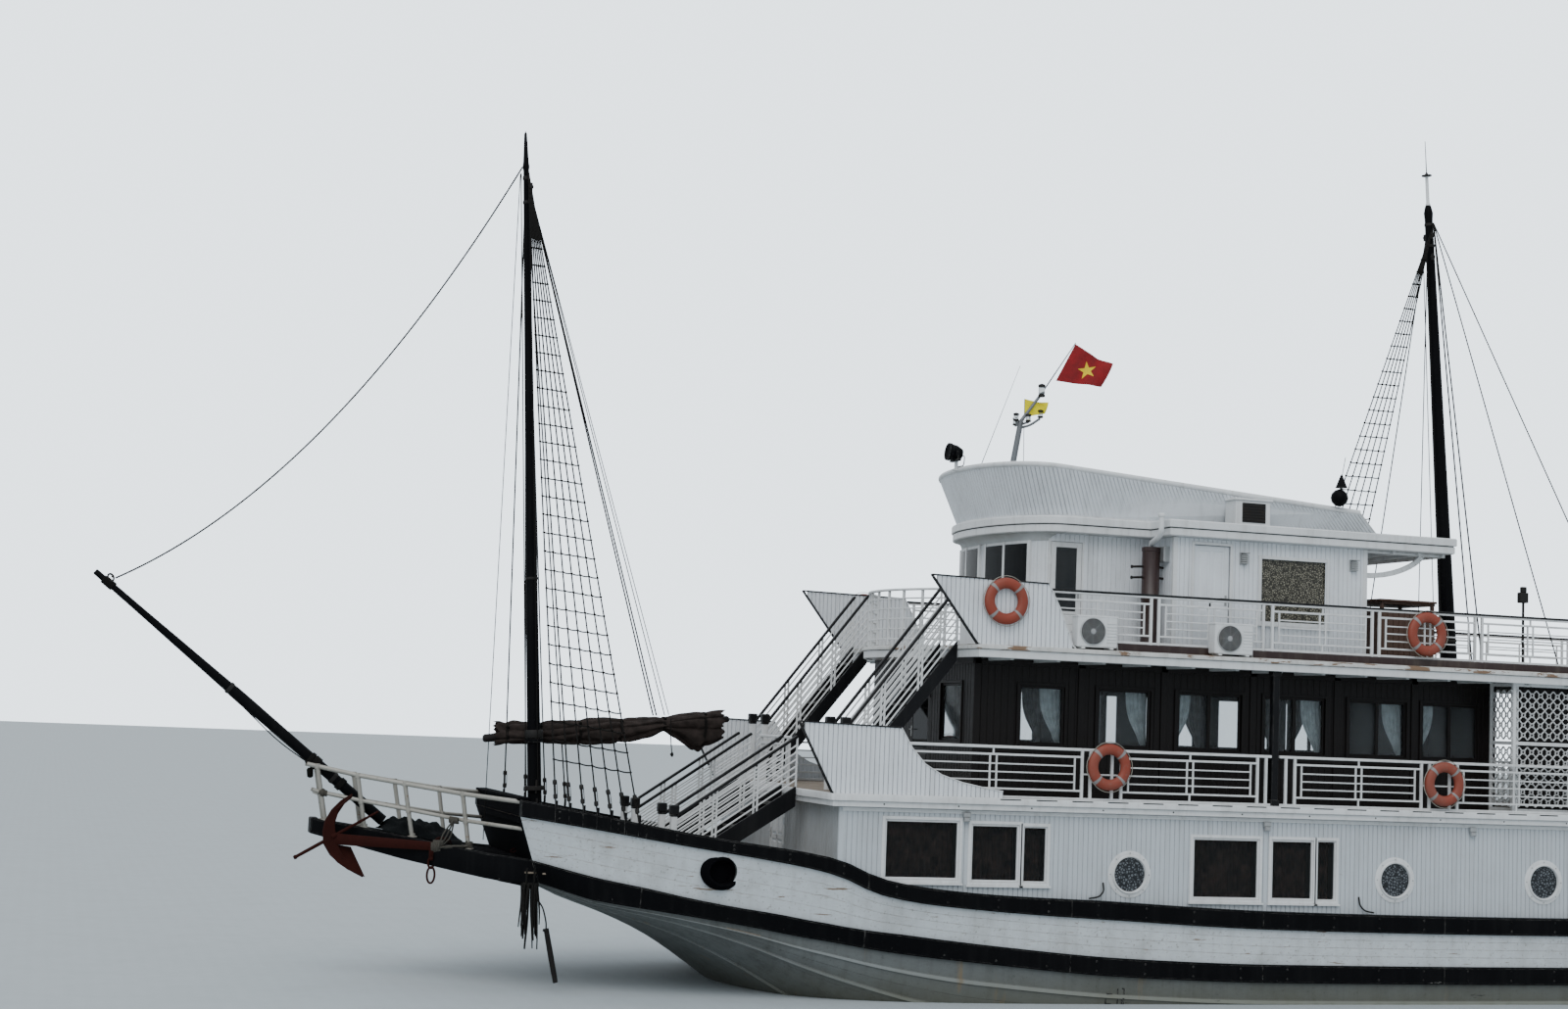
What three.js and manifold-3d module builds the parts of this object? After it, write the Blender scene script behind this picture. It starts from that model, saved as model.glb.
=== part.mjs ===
// A two-masted wooden cruising junk, 32 m over all. Millimetres, +X to the bow, +Y to port, +Z up.
// The origin is on the centreline at the waterline.
import * as THREE from "three";
import { mergeVertices } from "three/addons/utils/BufferGeometryUtils.js";
import Module from "manifold-3d";

const wasm = await Module();
wasm.setup();

// Driving dimensions
const GAP = 0.3; // between faces that touch
const KEEL_Z = -1500;
const DECK2_Z = 3170; // top of the second deck
const DECK3_Z = 5590; // top of the third deck
const SLAB = 170; // thickness of a deck with its fascia
const DECK_HALF = 3350; // half-breadth of both upper decks
const DECK2_X = [-13200, 6520];
const DECK3_X = [-12600, 4180];
const WALL = 70;
const HOUSE_HALF = 3240; // lower house, outer faces
const HOUSE_X = [-11500, 6340];
const FOREDECK_Z = 1780;
const STERN_DECK_Z = 1100;
const CABIN_FLOOR_Z = 1080;
const BULWARK = 120;
const BOW_X = 11100; // the bow's end at its upper wale
const BOW_HALF = 1950; // half-breadth there
const RAIL_H = 930; // rail top above its deck
const ROOF_Z = 7580; // underside of the roof
const FOREMAST = { x: 10425, z: FOREDECK_Z, lean: 0.0644, top: 13800, hounds: 13250 };
const AFT_MAST = { x: -6610, z: DECK3_Z, lean: 0.0687, top: 14430, hounds: 14250 };

const COLOURS = {
  white: [0xe8ebec, 0.55],
  black: [0x15161a, 0.5],
  bottom: [0xb9c0c2, 0.7],
  brown: [0x1e1815, 0.5],
  tube: [0x8f8a80, 0.6],
  rust: [0x6b2418, 0.8],
  canvas: [0x33231c, 0.95],
  rope: [0x5d574d, 0.9],
  glass: [0x38434a, 0.15],
  metal: [0xd5d7d6, 0.5],
  bronze: [0x8a6a35, 0.4],
};

// A closed geometry as a solid that can be joined and cut.
function solid(geometry) {
  const g = geometry.index ? geometry.toNonIndexed() : geometry.clone();
  g.deleteAttribute("normal");
  g.deleteAttribute("uv");
  const merged = mergeVertices(g, 1e-3);
  const vertProperties = merged.attributes.position.array;
  const triVerts = new Uint32Array(merged.index.array);
  return new wasm.Manifold(new wasm.Mesh({ numProp: 3, vertProperties, triVerts }));
}

function geometryOf(made) {
  const mesh = made.getMesh();
  const g = new THREE.BufferGeometry();
  g.setAttribute("position", new THREE.BufferAttribute(mesh.vertProperties, 3));
  g.setIndex(new THREE.BufferAttribute(mesh.triVerts, 1));
  const flat = g.toNonIndexed();
  flat.computeVertexNormals();
  return flat;
}

const indices = (count) => [...Array(count).keys()];
const steps = (from, to, count) => indices(count).map((i) => from + ((to - from) * i) / (count - 1));
const join = (...list) => list.flat().reduce((a, b) => a.add(b));
const cut = (body, ...list) => list.flat().reduce((a, b) => a.subtract(b), body);

// A box from its lowest to its highest corner.
function box(x0, x1, y0, y1, z0, z1) {
  const g = new THREE.BoxGeometry(x1 - x0, y1 - y0, z1 - z0);
  return solid(g.translate((x0 + x1) / 2, (y0 + y1) / 2, (z0 + z1) / 2));
}

// An outline raised by a depth, with its holes cut right through.
function plate(points, depth, holes) {
  const raise = (outline, from, to) => {
    const shape = new THREE.Shape(outline.map((p) => new THREE.Vector2(p[0], p[1])));
    const g = new THREE.ExtrudeGeometry(shape, { depth: to - from, bevelEnabled: false });
    return solid(g.translate(0, 0, from));
  };
  return cut(raise(points, 0, depth), holes.map((hole) => raise(hole, -5, depth + 5)));
}

// A plan outline of [x, y] points raised from z0 to z1, with holes.
const slab = (points, z0, z1, holes = []) => plate(points, z1 - z0, holes).translate([0, 0, z0]);

// An outline of [x, z] points in the ship's side plane, thickened from y0 to y1, with holes.
function sidePlate(points, y0, y1, holes = []) {
  return plate(points, y1 - y0, holes).rotate([90, 0, 0]).translate([0, y1, 0]);
}

// An outline of [y, z] points in a cross plane, thickened from x0 to x1, with holes.
function crossPlate(points, x0, x1, holes = []) {
  return plate(points, x1 - x0, holes).rotate([90, 0, 90]).translate([x0, 0, 0]);
}

const rect = (u0, u1, v0, v1) => [[u0, v0], [u1, v0], [u1, v1], [u0, v1]];

const UP = new THREE.Vector3(0, 1, 0); // a cylinder's own axis

// A round or square bar between two points, which may taper.
function bar(a, b, r0, r1 = r0, sides = 8) {
  const from = new THREE.Vector3(...a);
  const along = new THREE.Vector3(...b).sub(from);
  const g = new THREE.CylinderGeometry(r1, r0, along.length(), sides);
  g.translate(0, along.length() / 2, 0);
  g.applyQuaternion(new THREE.Quaternion().setFromUnitVectors(UP, along.normalize()));
  return solid(g.translate(from.x, from.y, from.z));
}

// A round tube along a curve.
function tube(curve, r, count, sides) {
  const ring = steps(0, sides - 1, sides).map((i) => {
    const a = (2 * Math.PI * i) / sides;
    return [r * Math.cos(a), r * Math.sin(a)];
  });
  const shape = new THREE.Shape(ring.map((p) => new THREE.Vector2(...p)));
  return solid(new THREE.ExtrudeGeometry(shape, { steps: count, bevelEnabled: false, extrudePath: curve }));
}

// A closed solid from triangles, turned so that its faces point out.
function skin(triangles) {
  const g = new THREE.BufferGeometry();
  g.setAttribute("position", new THREE.Float32BufferAttribute(triangles.flat(2), 3));
  const made = solid(g);
  return made.volume() > 0 ? made : skin(triangles.map(([a, b, c]) => [a, c, b]));
}

// A closed skin over rings of points, all with the same count, in order along the body.
function loft(rings) {
  const n = rings[0].length;
  const faces = [];
  for (let i = 0; i + 1 < rings.length; i++) {
    for (let j = 0; j < n; j++) {
      const k = (j + 1) % n;
      const [a, b] = [rings[i], rings[i + 1]];
      faces.push([a[j], a[k], b[k]], [a[j], b[k], b[j]]);
    }
  }
  const plan = (ring) => ring.map((p) => new THREE.Vector2(p[1], p[2]));
  const cap = (ring, first) => {
    const flip = THREE.ShapeUtils.area(plan(ring)) > 0 === first;
    for (const [a, b, c] of THREE.ShapeUtils.triangulateShape(plan(ring), [])) {
      faces.push(flip ? [ring[a], ring[c], ring[b]] : [ring[a], ring[b], ring[c]]);
    }
  };
  cap(rings[0], true);
  cap(rings[rings.length - 1], false);
  return skin(faces);
}

// Reads a table column at x between its rows, which run from stern to bow.
function column(table, x, name) {
  const i = Math.max(1, table.findIndex((row) => row.x >= x));
  const row = table[table.length - 1].x < x ? table.length - 1 : i;
  const [a, b] = [table[row - 1], table[row]];
  return a[name] + ((b[name] - a[name]) * (x - a.x)) / (b.x - a.x);
}

// The hull's lines. keel is its underside, low and high are the undersides of the lower and upper
// wales, beam is the half-breadth at the upper wale, waist that at the lower wale, full how boxy
// the bottom is.
const LINES = [
  [-14500, 450, 970, 1900, 2900, 2650, 0.75],
  [-13500, 0, 800, 1700, 3090, 2940, 0.75],
  [-12000, -550, 580, 1440, 3265, 3180, 0.72],
  [-10000, -1250, 420, 1240, 3320, 3290, 0.75],
  [-6800, KEEL_Z, 330, 1150, 3350, 3340, 0.8],
  [-1150, KEEL_Z, 350, 1200, 3350, 3360, 0.85],
  [1500, KEEL_Z, 430, 1310, 3350, 3350, 0.8],
  [4030, KEEL_Z, 605, 1400, 3340, 3290, 0.7],
  [5100, -1300, 680, 1500, 3320, 3220, 0.62],
  [5670, -1080, 710, 1620, 3300, 3180, 0.58],
  [6400, -760, 790, 1920, 3250, 3110, 0.53],
  [6900, -430, 860, 2030, 3200, 3040, 0.5],
  [7600, 90, 980, 2140, 3090, 2920, 0.46],
  [8700, 780, 1190, 2300, 2860, 2680, 0.45],
  [10000, 1280, 1430, 2500, 2390, 2220, 0.5],
  [BOW_X, 1580, 1660, 2650, BOW_HALF, 1800, 0.6],
].map(([x, keel, low, high, beam, waist, full]) => ({ x, keel, low, high, beam, waist, full }));
const WALE = 290; // height of each wale
const BOW_RAKE = 0.36; // slope of the bow's and the stern's end faces
const BOTTOM_STEPS = 6;
const SKEG_X = -11800; // the keel's aft end

// A point of the hull's section; the end sections lean out with height.
function hullPoint(row, y, z) {
  const last = LINES[LINES.length - 1];
  const lean = row.x === last.x ? BOW_RAKE : row.x === LINES[0].x ? -BOW_RAKE : 0;
  return [row.x + (z - row.high) * lean, y, z];
}

// Half-breadth of the hull's side at the lower wale's top edge.
const waistTop = ({ waist, beam, low, high }) => waist + ((beam - waist) * WALE) / (high - low);

// One section of the hull, from starboard over the keel to port.
function hullRing(row) {
  const { keel, low, waist, full } = row;
  const curve = new THREE.CubicBezierCurve(
    new THREE.Vector2(120, keel),
    new THREE.Vector2(waist * full, keel + (low - keel) * 0.06),
    new THREE.Vector2(waist, keel + (low - keel) * (1 - full) * 0.9),
    new THREE.Vector2(waist, low),
  );
  const side = curve.getPoints(BOTTOM_STEPS).map((p) => [p.x, p.y]);
  side.push([waistTop(row), low + WALE], [row.beam, row.high]);
  const port = side.map(([y, z]) => hullPoint(row, y, z));
  const starboard = side.map(([y, z]) => hullPoint(row, -y, z)).reverse();
  return [...starboard, ...port];
}

// The inside of the deck wells, a bulwark's thickness inside the hull's side.
function well(x0, x1, floor) {
  const line = steps(x0, x1, 7).map((x) => [x, column(LINES, x, "beam") - BULWARK]);
  return slab([...line.map(([x, y]) => [x, -y]), ...line.reverse()], floor, 4000);
}

function hull() {
  const body = loft(LINES.map(hullRing));
  const keelZ = KEEL_Z - 20;
  const keelBar = sidePlate([[SKEG_X, -400], [SKEG_X, keelZ], [4600, keelZ], [6300, -700]], -110, 110);
  const hawse = (side) => bar([8140, side * 2200, 1940], [8140, side * 3200, 1940], 230, 230, 12);
  const { high } = LINES[LINES.length - 1];
  const bowBoard = box(BOW_X - BULWARK, BOW_X, 101 - BOW_HALF, BOW_HALF - 101, high - 100, high + WALE);
  return cut(
    join(body, keelBar, bowBoard),
    well(HOUSE_X[1] - WALL - 20, BOW_X - BULWARK, FOREDECK_Z),
    well(HOUSE_X[0] + WALL + 60, HOUSE_X[1] - WALL - 60, CABIN_FLOOR_Z),
    well(-14250, HOUSE_X[0] + WALL + 20, STERN_DECK_Z),
    hawse(1),
    hawse(-1),
    bar([RUDDER_X, 0, -900], [RUDDER_X, 0, STOCK.head + GAP], STOCK.r + 4, STOCK.r + 4, 24),
  );
}

const WALE_OUT = 70; // how far a wale stands out

// The lower wale runs along the hull's side, from the stern to the bow's end.
function lowerWale(side) {
  const rings = LINES.map((row) => {
    const [a, b] = [row.waist + GAP * 2, waistTop(row) + GAP * 2];
    const inner = [[a, row.low], [b, row.low + WALE]];
    const outer = [[a + WALE_OUT, row.low], [b + WALE_OUT, row.low + WALE]];
    const ring = side > 0 ? [...inner, outer[1], outer[0]] : [inner[1], inner[0], outer[0], outer[1]];
    return ring.map(([y, z]) => hullPoint(row, side * y, z));
  });
  return loft(rings);
}

// The upper wale lies on the hull's top edge. Beside the house its inner face meets the wall.
function upperWale(side) {
  const fore = HOUSE_X[1] + 5;
  const jogs = [HOUSE_X[0] - 6, HOUSE_X[0] - 5, fore, fore + 1];
  const xs = [...LINES.map((row) => row.x), ...jogs].sort((a, b) => a - b);
  const rings = xs.map((x) => {
    const y = column(LINES, x, "beam");
    const z = column(LINES, x, "high") + GAP;
    const beside = x >= HOUSE_X[0] - 5 && x <= fore;
    const inner = beside ? HOUSE_HALF + GAP : y - 100;
    return rect(inner, y + WALE_OUT, z, z + WALE).map(([u, w]) => [x, side * u, w]);
  });
  return loft(rings);
}

// The beak: a wedge-shaped platform ahead of the bow. half is its half-breadth.
const BEAK = [
  [BOW_X, 1800, 1600, 1990],
  [11900, 1200, 1740, 2120],
  [12700, 620, 1890, 2250],
  [13400, 310, 2060, 2365],
  [14050, 165, 2220, 2460],
].map(([x, half, under, top]) => ({ x, half, under, top }));

function beak() {
  const first = BEAK[0];
  const end = LINES[LINES.length - 1];
  const rings = BEAK.map((row) => {
    const lean = row === first ? BOW_RAKE : 0;
    const x = row === first ? end.x + GAP * 2 : row.x;
    return rect(-row.half, row.half, row.under, row.top).map(([y, z]) => [x + (z - end.high) * lean, y, z]);
  });
  return loft(rings);
}

// The space aft of the bow's leaning end face.
function aftOfBow() {
  const { x, high } = LINES[LINES.length - 1];
  const face = (z) => [x + Math.min(0, z - high) * BOW_RAKE + GAP * 2, z];
  return sidePlate([[9000, 1500], face(1500), face(high), face(4000), [9000, 4000]], -3000, 3000);
}

// Beak rail: tubes over four stanchions a side.
const STANCHIONS = [
  [14010, 132, 3270],
  [13390, 270, 3150],
  [12690, 580, 3050],
  [11870, 1160, 2940],
].map(([x, y, z]) => ({ x, y, z }));
const TUBE = 27;

function beakRail() {
  const pieces = [];
  const foot = (p) => column(BEAK, p.x, "top") - 40;
  for (const side of [1, -1]) {
    const top = STANCHIONS.map((p) => [p.x, side * p.y, p.z]);
    top.push([11000, side * 1790, 2860]);
    const middle = STANCHIONS.map((p) => [p.x, side * p.y, (p.z + foot(p)) / 2 + 30]);
    middle.push([10900, side * 1790, 2440]);
    for (const line of [top, middle]) {
      for (let i = 0; i + 1 < line.length; i++) pieces.push(bar(line[i], line[i + 1], TUBE, TUBE, 5));
    }
    for (const p of STANCHIONS) {
      pieces.push(bar([p.x, side * p.y, foot(p)], [p.x, side * p.y, p.z], TUBE, TUBE, 5));
    }
  }
  const p = STANCHIONS[0];
  pieces.push(bar([p.x, -p.y, 2860], [p.x, p.y, 2860], TUBE, TUBE, 5));
  return cut(join(pieces), beak().translate([0, 0, GAP]), aftOfBow());
}

// The bowsprit's heel lies on the beak.
function bowsprit(grow = 0) {
  const spar = bar([12560, 0, 2250], [17550, 0, 6150], 105 + grow, 60 + grow, 10);
  return cut(spar, beak().translate([0, 0, GAP]));
}

// The stocked anchor, lashed against the port side of the beak.
function anchor() {
  const crown = [13760, 400, 2270];
  const ring = [12330, 950, 2125];
  const r = 38;
  const arms = new THREE.CatmullRomCurve3([
    new THREE.Vector3(13460, 440, 2860),
    new THREE.Vector3(13700, 420, 2640),
    new THREE.Vector3(...crown),
    new THREE.Vector3(13660, 460, 1960),
    new THREE.Vector3(13240, 500, 1590),
  ]);
  const pieces = [bar(crown, ring, r, r, 6), tube(arms, r, 8, 6)];
  const hole = crown.map((v, k) => v + (ring[k] - v) * 0.12);
  const reach = [640, 0, -390];
  pieces.push(bar(hole.map((v, k) => v + reach[k]), hole.map((v, k) => v - reach[k]), r * 0.8, r * 0.8, 5));
  const inboard = -47;
  return cut(join(pieces).translate([0, inboard, 0]), beak().translate([0, GAP * 2, 0]));
}

const mastAt = (mast, z) => [mast.x + (z - mast.z) * mast.lean, 0, z];

function mast(spec, r0, r1) {
  const spar = bar(mastAt(spec, spec.z - 60), mastAt(spec, spec.top), r0, r1, 12);
  return cut(spar, box(spec.x - 500, spec.x + 500, -500, 500, spec.z - 500, spec.z + GAP));
}

// Shrouds of one side: a flat fan of ropes from a head on the mast to feet along a line, crossed by
// ratlines at some shares of the way down. It is cut from a side plate, which is then sheared so
// that it passes through its head and its two end feet.
function fan(head, feet, r, ratlines) {
  const at = (foot, t) => [head[0] + (foot[0] - head[0]) * t, head[2] + (foot[2] - head[2]) * t];
  const last = feet[feet.length - 1];
  const [ax, az] = at(feet[0], 1);
  const top = head[2] + r;
  const outline = [[head[0] - r, top], [head[0] + r, top], [ax + r, az], [last[0] - r, last[2]]];
  const levels = [0.12, ...ratlines, 1.1];
  const holes = [];
  for (let i = 0; i + 1 < feet.length; i++) {
    for (let k = 0; k + 1 < levels.length; k++) {
      const corners = [[i, k, 1], [i, k + 1, -1], [i + 1, k + 1, -1], [i + 1, k, 1]];
      const cell = corners.map(([foot, level, down]) => {
        const [x, z] = at(feet[foot], levels[level]);
        return [x + (foot === i ? -r : r), z - down * r];
      });
      if (cell[0][0] - cell[3][0] > 2 * r) holes.push(cell);
    }
  }
  const flat = sidePlate(outline, -r, r, holes);
  // y = a + b x + c z through the head and the end feet
  const rows = [head, feet[0], last].map(([x, , z]) => [1, x, z]);
  const inverse = new THREE.Matrix3().set(...rows.flat()).invert();
  const [a, b, c] = new THREE.Vector3(head[1], feet[0][1], last[1]).applyMatrix3(inverse).toArray();
  const shear = new THREE.Matrix4().set(1, 0, 0, 0, b, 1, c, a, 0, 0, 1, 0, 0, 0, 0, 1);
  return solid(geometryOf(flat).applyMatrix4(shear));
}

function foreShrouds(side) {
  const head = [11140, side * 90, FOREMAST.hounds - 100];
  const feet = steps(10600, 9420, 3).map((x) => {
    const y = column(LINES, x, "beam") - 15;
    return [x, side * y, column(LINES, x, "high") + WALE - 40];
  });
  return cut(fan(head, feet, 16, steps(0.45, 0.9, 4)), upperWale(side).translate([0, 0, GAP * 2]));
}

const AFT_POLE = { plate: 14985, top: 15620 }; // heights of its plate and of its whip's tip

// The aft mast carries a thin pole with a round plate and a whip.
function aftMast() {
  const at = (z) => mastAt(AFT_MAST, z);
  return join(
    mast(AFT_MAST, 135, 62),
    bar(at(AFT_MAST.top - 100), at(AFT_POLE.plate), 32, 30, 8),
    bar(at(AFT_POLE.plate - 25), at(AFT_POLE.plate), 100, 100, 12),
    bar(at(AFT_POLE.plate - 10), at(AFT_POLE.top), 10, 8, 6),
  );
}

// The aft mast's ladder runs down inside the parapet on the port side.
function aftShrouds() {
  const head = [-6050, 90, AFT_MAST.hounds - 300];
  const feet = steps(-2860, -3660, 3).map((x) => [x, 1810, ROOF_TOP - 30]);
  return cut(fan(head, feet, 14, steps(0.4, 0.9, 4)), box(-4500, -2000, 1500, 2300, ROOF_TOP - 200, ROOF_TOP + GAP));
}

const BACKSTAY_FEET = { port: [-5050, -6820, -8410], starboard: [-6570, -8410] };

function backstays(side) {
  const head = [-6070, side * 90, AFT_MAST.hounds - 200];
  const feet = BACKSTAY_FEET[side > 0 ? "port" : "starboard"].map((x) => [x, side * 3000, DECK3_Z - 30]);
  return cut(fan(head, feet, 12, []), box(-9000, -4500, -3300, 3300, DECK3_Z - 200, DECK3_Z + GAP));
}

// The forestay, which sags between the mast's head and the bowsprit.
function forestay() {
  const [a, b] = [mastAt(FOREMAST, FOREMAST.hounds), [17240, 0, 6060]];
  const middle = [(a[0] + b[0]) / 2 - 60, 0, (a[2] + b[2]) / 2 - 960];
  const curve = new THREE.QuadraticBezierCurve3(
    new THREE.Vector3(...a),
    new THREE.Vector3(...middle.map((v, k) => 2 * v - (a[k] + b[k]) / 2)),
    new THREE.Vector3(...b),
  );
  const [foot, head] = [mastAt(FOREMAST, FOREMAST.z), mastAt(FOREMAST, FOREMAST.top)];
  const spar = bar(foot, head, 115 + GAP * 2, 60 + GAP * 2, 12);
  return cut(tube(curve, 14, 12, 5), spar, bowsprit(GAP * 2));
}

// The boom lies along the starboard side of the foremast, with the furled sail over it.
const BOOM_Y = -330;

const COLLAR = { z: 3830, height: 130, inner: 113, outer: 150 };

// A ring about the leaning foremast, from z up.
function mastRing(z, height, inner, outer) {
  const profile = [[inner, 0], [outer, 0], [outer, height], [inner, height], [inner, 0]];
  const ring = new THREE.LatheGeometry(profile.map((p) => new THREE.Vector2(...p)), 16);
  const [x] = mastAt(FOREMAST, z);
  const along = new THREE.Vector3(FOREMAST.lean, 0, 1).normalize();
  ring.applyQuaternion(new THREE.Quaternion().setFromUnitVectors(UP, along));
  return solid(ring.translate(x, 0, z));
}

// The foremast carries a shoulder that the boom's collar rests on.
function foremast() {
  const height = 60;
  const { z, outer } = COLLAR;
  return join(mast(FOREMAST, 115, 60), mastRing(z - height - GAP, height, 90, outer));
}

function boom() {
  const [x] = mastAt(FOREMAST, 3890);
  return join(
    bar([11330, BOOM_Y, 3790], [7180, BOOM_Y, 4260], 70, 55, 8),
    bar([x, BOOM_Y, 3890], [x, -130, 3890], 45, 45, 8),
    mastRing(COLLAR.z, COLLAR.height, COLLAR.inner, COLLAR.outer),
  );
}

// The furled sail: sections along the boom. up and down are its reach over and under the boom.
const FURL = [
  [11150, 3810, 110, 120, 110],
  [10800, 3850, 150, 190, 170],
  [9900, 3960, 170, 220, 180],
  [9200, 4040, 180, 250, 190],
  [8500, 4110, 200, 260, 200],
  [8050, 4160, 190, 400, 210],
  [7650, 4210, 160, 500, 200],
  [7330, 4250, 120, 300, 140],
].map(([x, z, up, down, half]) => ({ x, z, up, down, half }));

function furledSail() {
  const rings = FURL.map(({ x, z, up, down, half }) =>
    steps(0, 7, 8).map((i) => {
      const a = (i * Math.PI) / 4;
      return [x, BOOM_Y + Math.cos(a) * half, z + Math.sin(a) * (Math.sin(a) > 0 ? up : down)];
    }),
  );
  const off = 0.5;
  const around = [[0, off], [0, -off], [off, 0], [-off, 0]];
  return cut(loft(rings), around.map(([y, z]) => boom().translate([0, y, z])));
}

// Windows of the lower house, x from aft to fore, then sill and head.
const HOUSE_WINDOWS = [
  [-9500, -8250, 1640, 2600],
  [-2310, -1960, 1670, 2650],
  [-1890, -1110, 1670, 2650],
  [-890, 320, 1670, 2650],
  [2890, 3300, 1880, 2760],
  [3370, 4190, 1880, 2780],
  [4390, 5630, 1900, 2820],
];
const HOUSE_TOP = DECK2_Z - SLAB - GAP;
const DOOR_W = 760;

// Lower house: four walls on the hull, their feet along the upper wale.
function lowerHouse() {
  const within = LINES.map((row) => row.x).filter((x) => x > HOUSE_X[0] && x < HOUSE_X[1]);
  const xs = [HOUSE_X[0], ...within, HOUSE_X[1]];
  const foot = (x) => column(LINES, x, "high") + GAP;
  const outline = [...xs.map((x) => [x, foot(x)]), [HOUSE_X[1], HOUSE_TOP], [HOUSE_X[0], HOUSE_TOP]];
  const holes = HOUSE_WINDOWS.map((w) => rect(w[0], w[1], w[2], w[3]));
  const side = sidePlate(outline, HOUSE_HALF - WALL, HOUSE_HALF, holes);
  const otherSide = sidePlate(outline, -HOUSE_HALF, WALL - HOUSE_HALF, holes);
  // An end wall is narrower below the bulwarks' tops, where it stands in a deck well.
  const end = (x, floor) => {
    const low = column(LINES, x, "beam") - BULWARK - 10;
    const step = foot(x) + 40;
    const wide = HOUSE_HALF - WALL / 2;
    const half = [[low, floor + GAP], [low, step], [wide, step], [wide, HOUSE_TOP]];
    return [...half, ...half.map(([y, z]) => [-y, z]).reverse()];
  };
  const front = end(HOUSE_X[1], FOREDECK_Z);
  const back = end(HOUSE_X[0], STERN_DECK_Z);
  const doorway = rect(-DOOR_W / 2, DOOR_W / 2, FOREDECK_Z + 60, HOUSE_TOP - 60);
  const aftDoorway = rect(-DOOR_W / 2, DOOR_W / 2, STERN_DECK_Z + 60, HOUSE_TOP - 60);
  return join(
    side,
    otherSide,
    crossPlate(front, HOUSE_X[1] - WALL, HOUSE_X[1], [doorway]),
    crossPlate(back, HOUSE_X[0], HOUSE_X[0] + WALL, [aftDoorway]),
  );
}

const deck2 = () => slab(rect(DECK2_X[0], DECK2_X[1], -DECK_HALF, DECK_HALF), DECK2_Z - SLAB, DECK2_Z);

// Deck 3 bows forward between its two stairs.
const BOW_OUT = { half: 1700, by: 560 };
const frontArc = (x, half, by, count) =>
  steps(-1, 1, count).map((t) => [x + by * (1 - t * t), t * half]);

function deck3() {
  const [x0, x1] = DECK3_X;
  const arc = frontArc(x1, BOW_OUT.half, BOW_OUT.by, 9);
  const outline = [[x0, -DECK_HALF], [x1, -DECK_HALF], ...arc, [x1, DECK_HALF], [x0, DECK_HALF]];
  return slab(outline, DECK3_Z - SLAB, DECK3_Z);
}

// Saloon on deck 2, between the decks.
const SALOON = { x0: -5950, x1: 3850, half: 2350, sill: 4050, head: 5000 };
const SALOON_WINDOWS = [
  [-5610, -4490],
  [-4180, -3050],
  [-2590, -1430],
  [-1000, 200],
  [690, 1650],
  [2250, 3050],
];
const SALOON_DOOR = { half: 450, top: 5150 };

function saloon() {
  const { x0, x1, half, sill, head } = SALOON;
  const [z0, z1] = [DECK2_Z + GAP, DECK3_Z - SLAB - GAP];
  const holes = SALOON_WINDOWS.map(([a, b]) => rect(a, b, sill, head));
  const frame = rect(x0, x1, z0, z1);
  const end = rect(WALL / 2 - half, half - WALL / 2, z0, z1);
  const doorway = rect(-SALOON_DOOR.half, SALOON_DOOR.half, z0 + 40, SALOON_DOOR.top);
  const frontWindows = [-1, 1].map((s) => rect(s * 1400 - 450, s * 1400 + 450, sill, head));
  return join(
    sidePlate(frame, half - WALL, half, holes),
    sidePlate(frame, -half, WALL - half, holes),
    crossPlate(end, x1 - WALL, x1, [doorway, ...frontWindows]),
    crossPlate(end, x0, x0 + WALL, [doorway]),
  );
}

// A pane just inside the saloon's row of side windows.
function saloonPane(side) {
  const { half, sill, head } = SALOON;
  const lap = 40;
  const ends = SALOON_WINDOWS.flat();
  const y = half - WALL - GAP;
  const pane = box(Math.min(...ends) - lap, Math.max(...ends) + lap, y - 12, y, sill - lap, head + lap);
  return side > 0 ? pane : pane.mirror([0, 1, 0]);
}

// Plans of the wheelhouse, its roof and the parapet: straight sides and an elliptical front, from
// where it starts.
const BRIDGE = { start: 2330, reach: 450, half: 1800 };
const EAVES = { start: 2150, reach: 880, half: 2050 };
const PARAPET_FOOT = { start: 2000, reach: 1000, half: 1950 };
const PARAPET_RIM = { start: 2350, reach: 950, half: 2200 };
const CABIN = { x0: -3170, x1: 430, half: 2600 };
const ROOF_T = 250;
const ROOF_TOP = ROOF_Z + ROOF_T;
const BRIDGE_DOOR = { x: 2035, w: 570, top: 7440 };
const CABIN_DOOR = { x: -255, w: 670, top: 7470 };

function nose({ start, reach, half }, inset = 0) {
  const a = reach - inset;
  const b = half - inset;
  return steps(-90, 90, 13).map((deg) => {
    const t = (deg * Math.PI) / 180;
    return [start + a * Math.cos(t), b * Math.sin(t)];
  });
}

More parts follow.
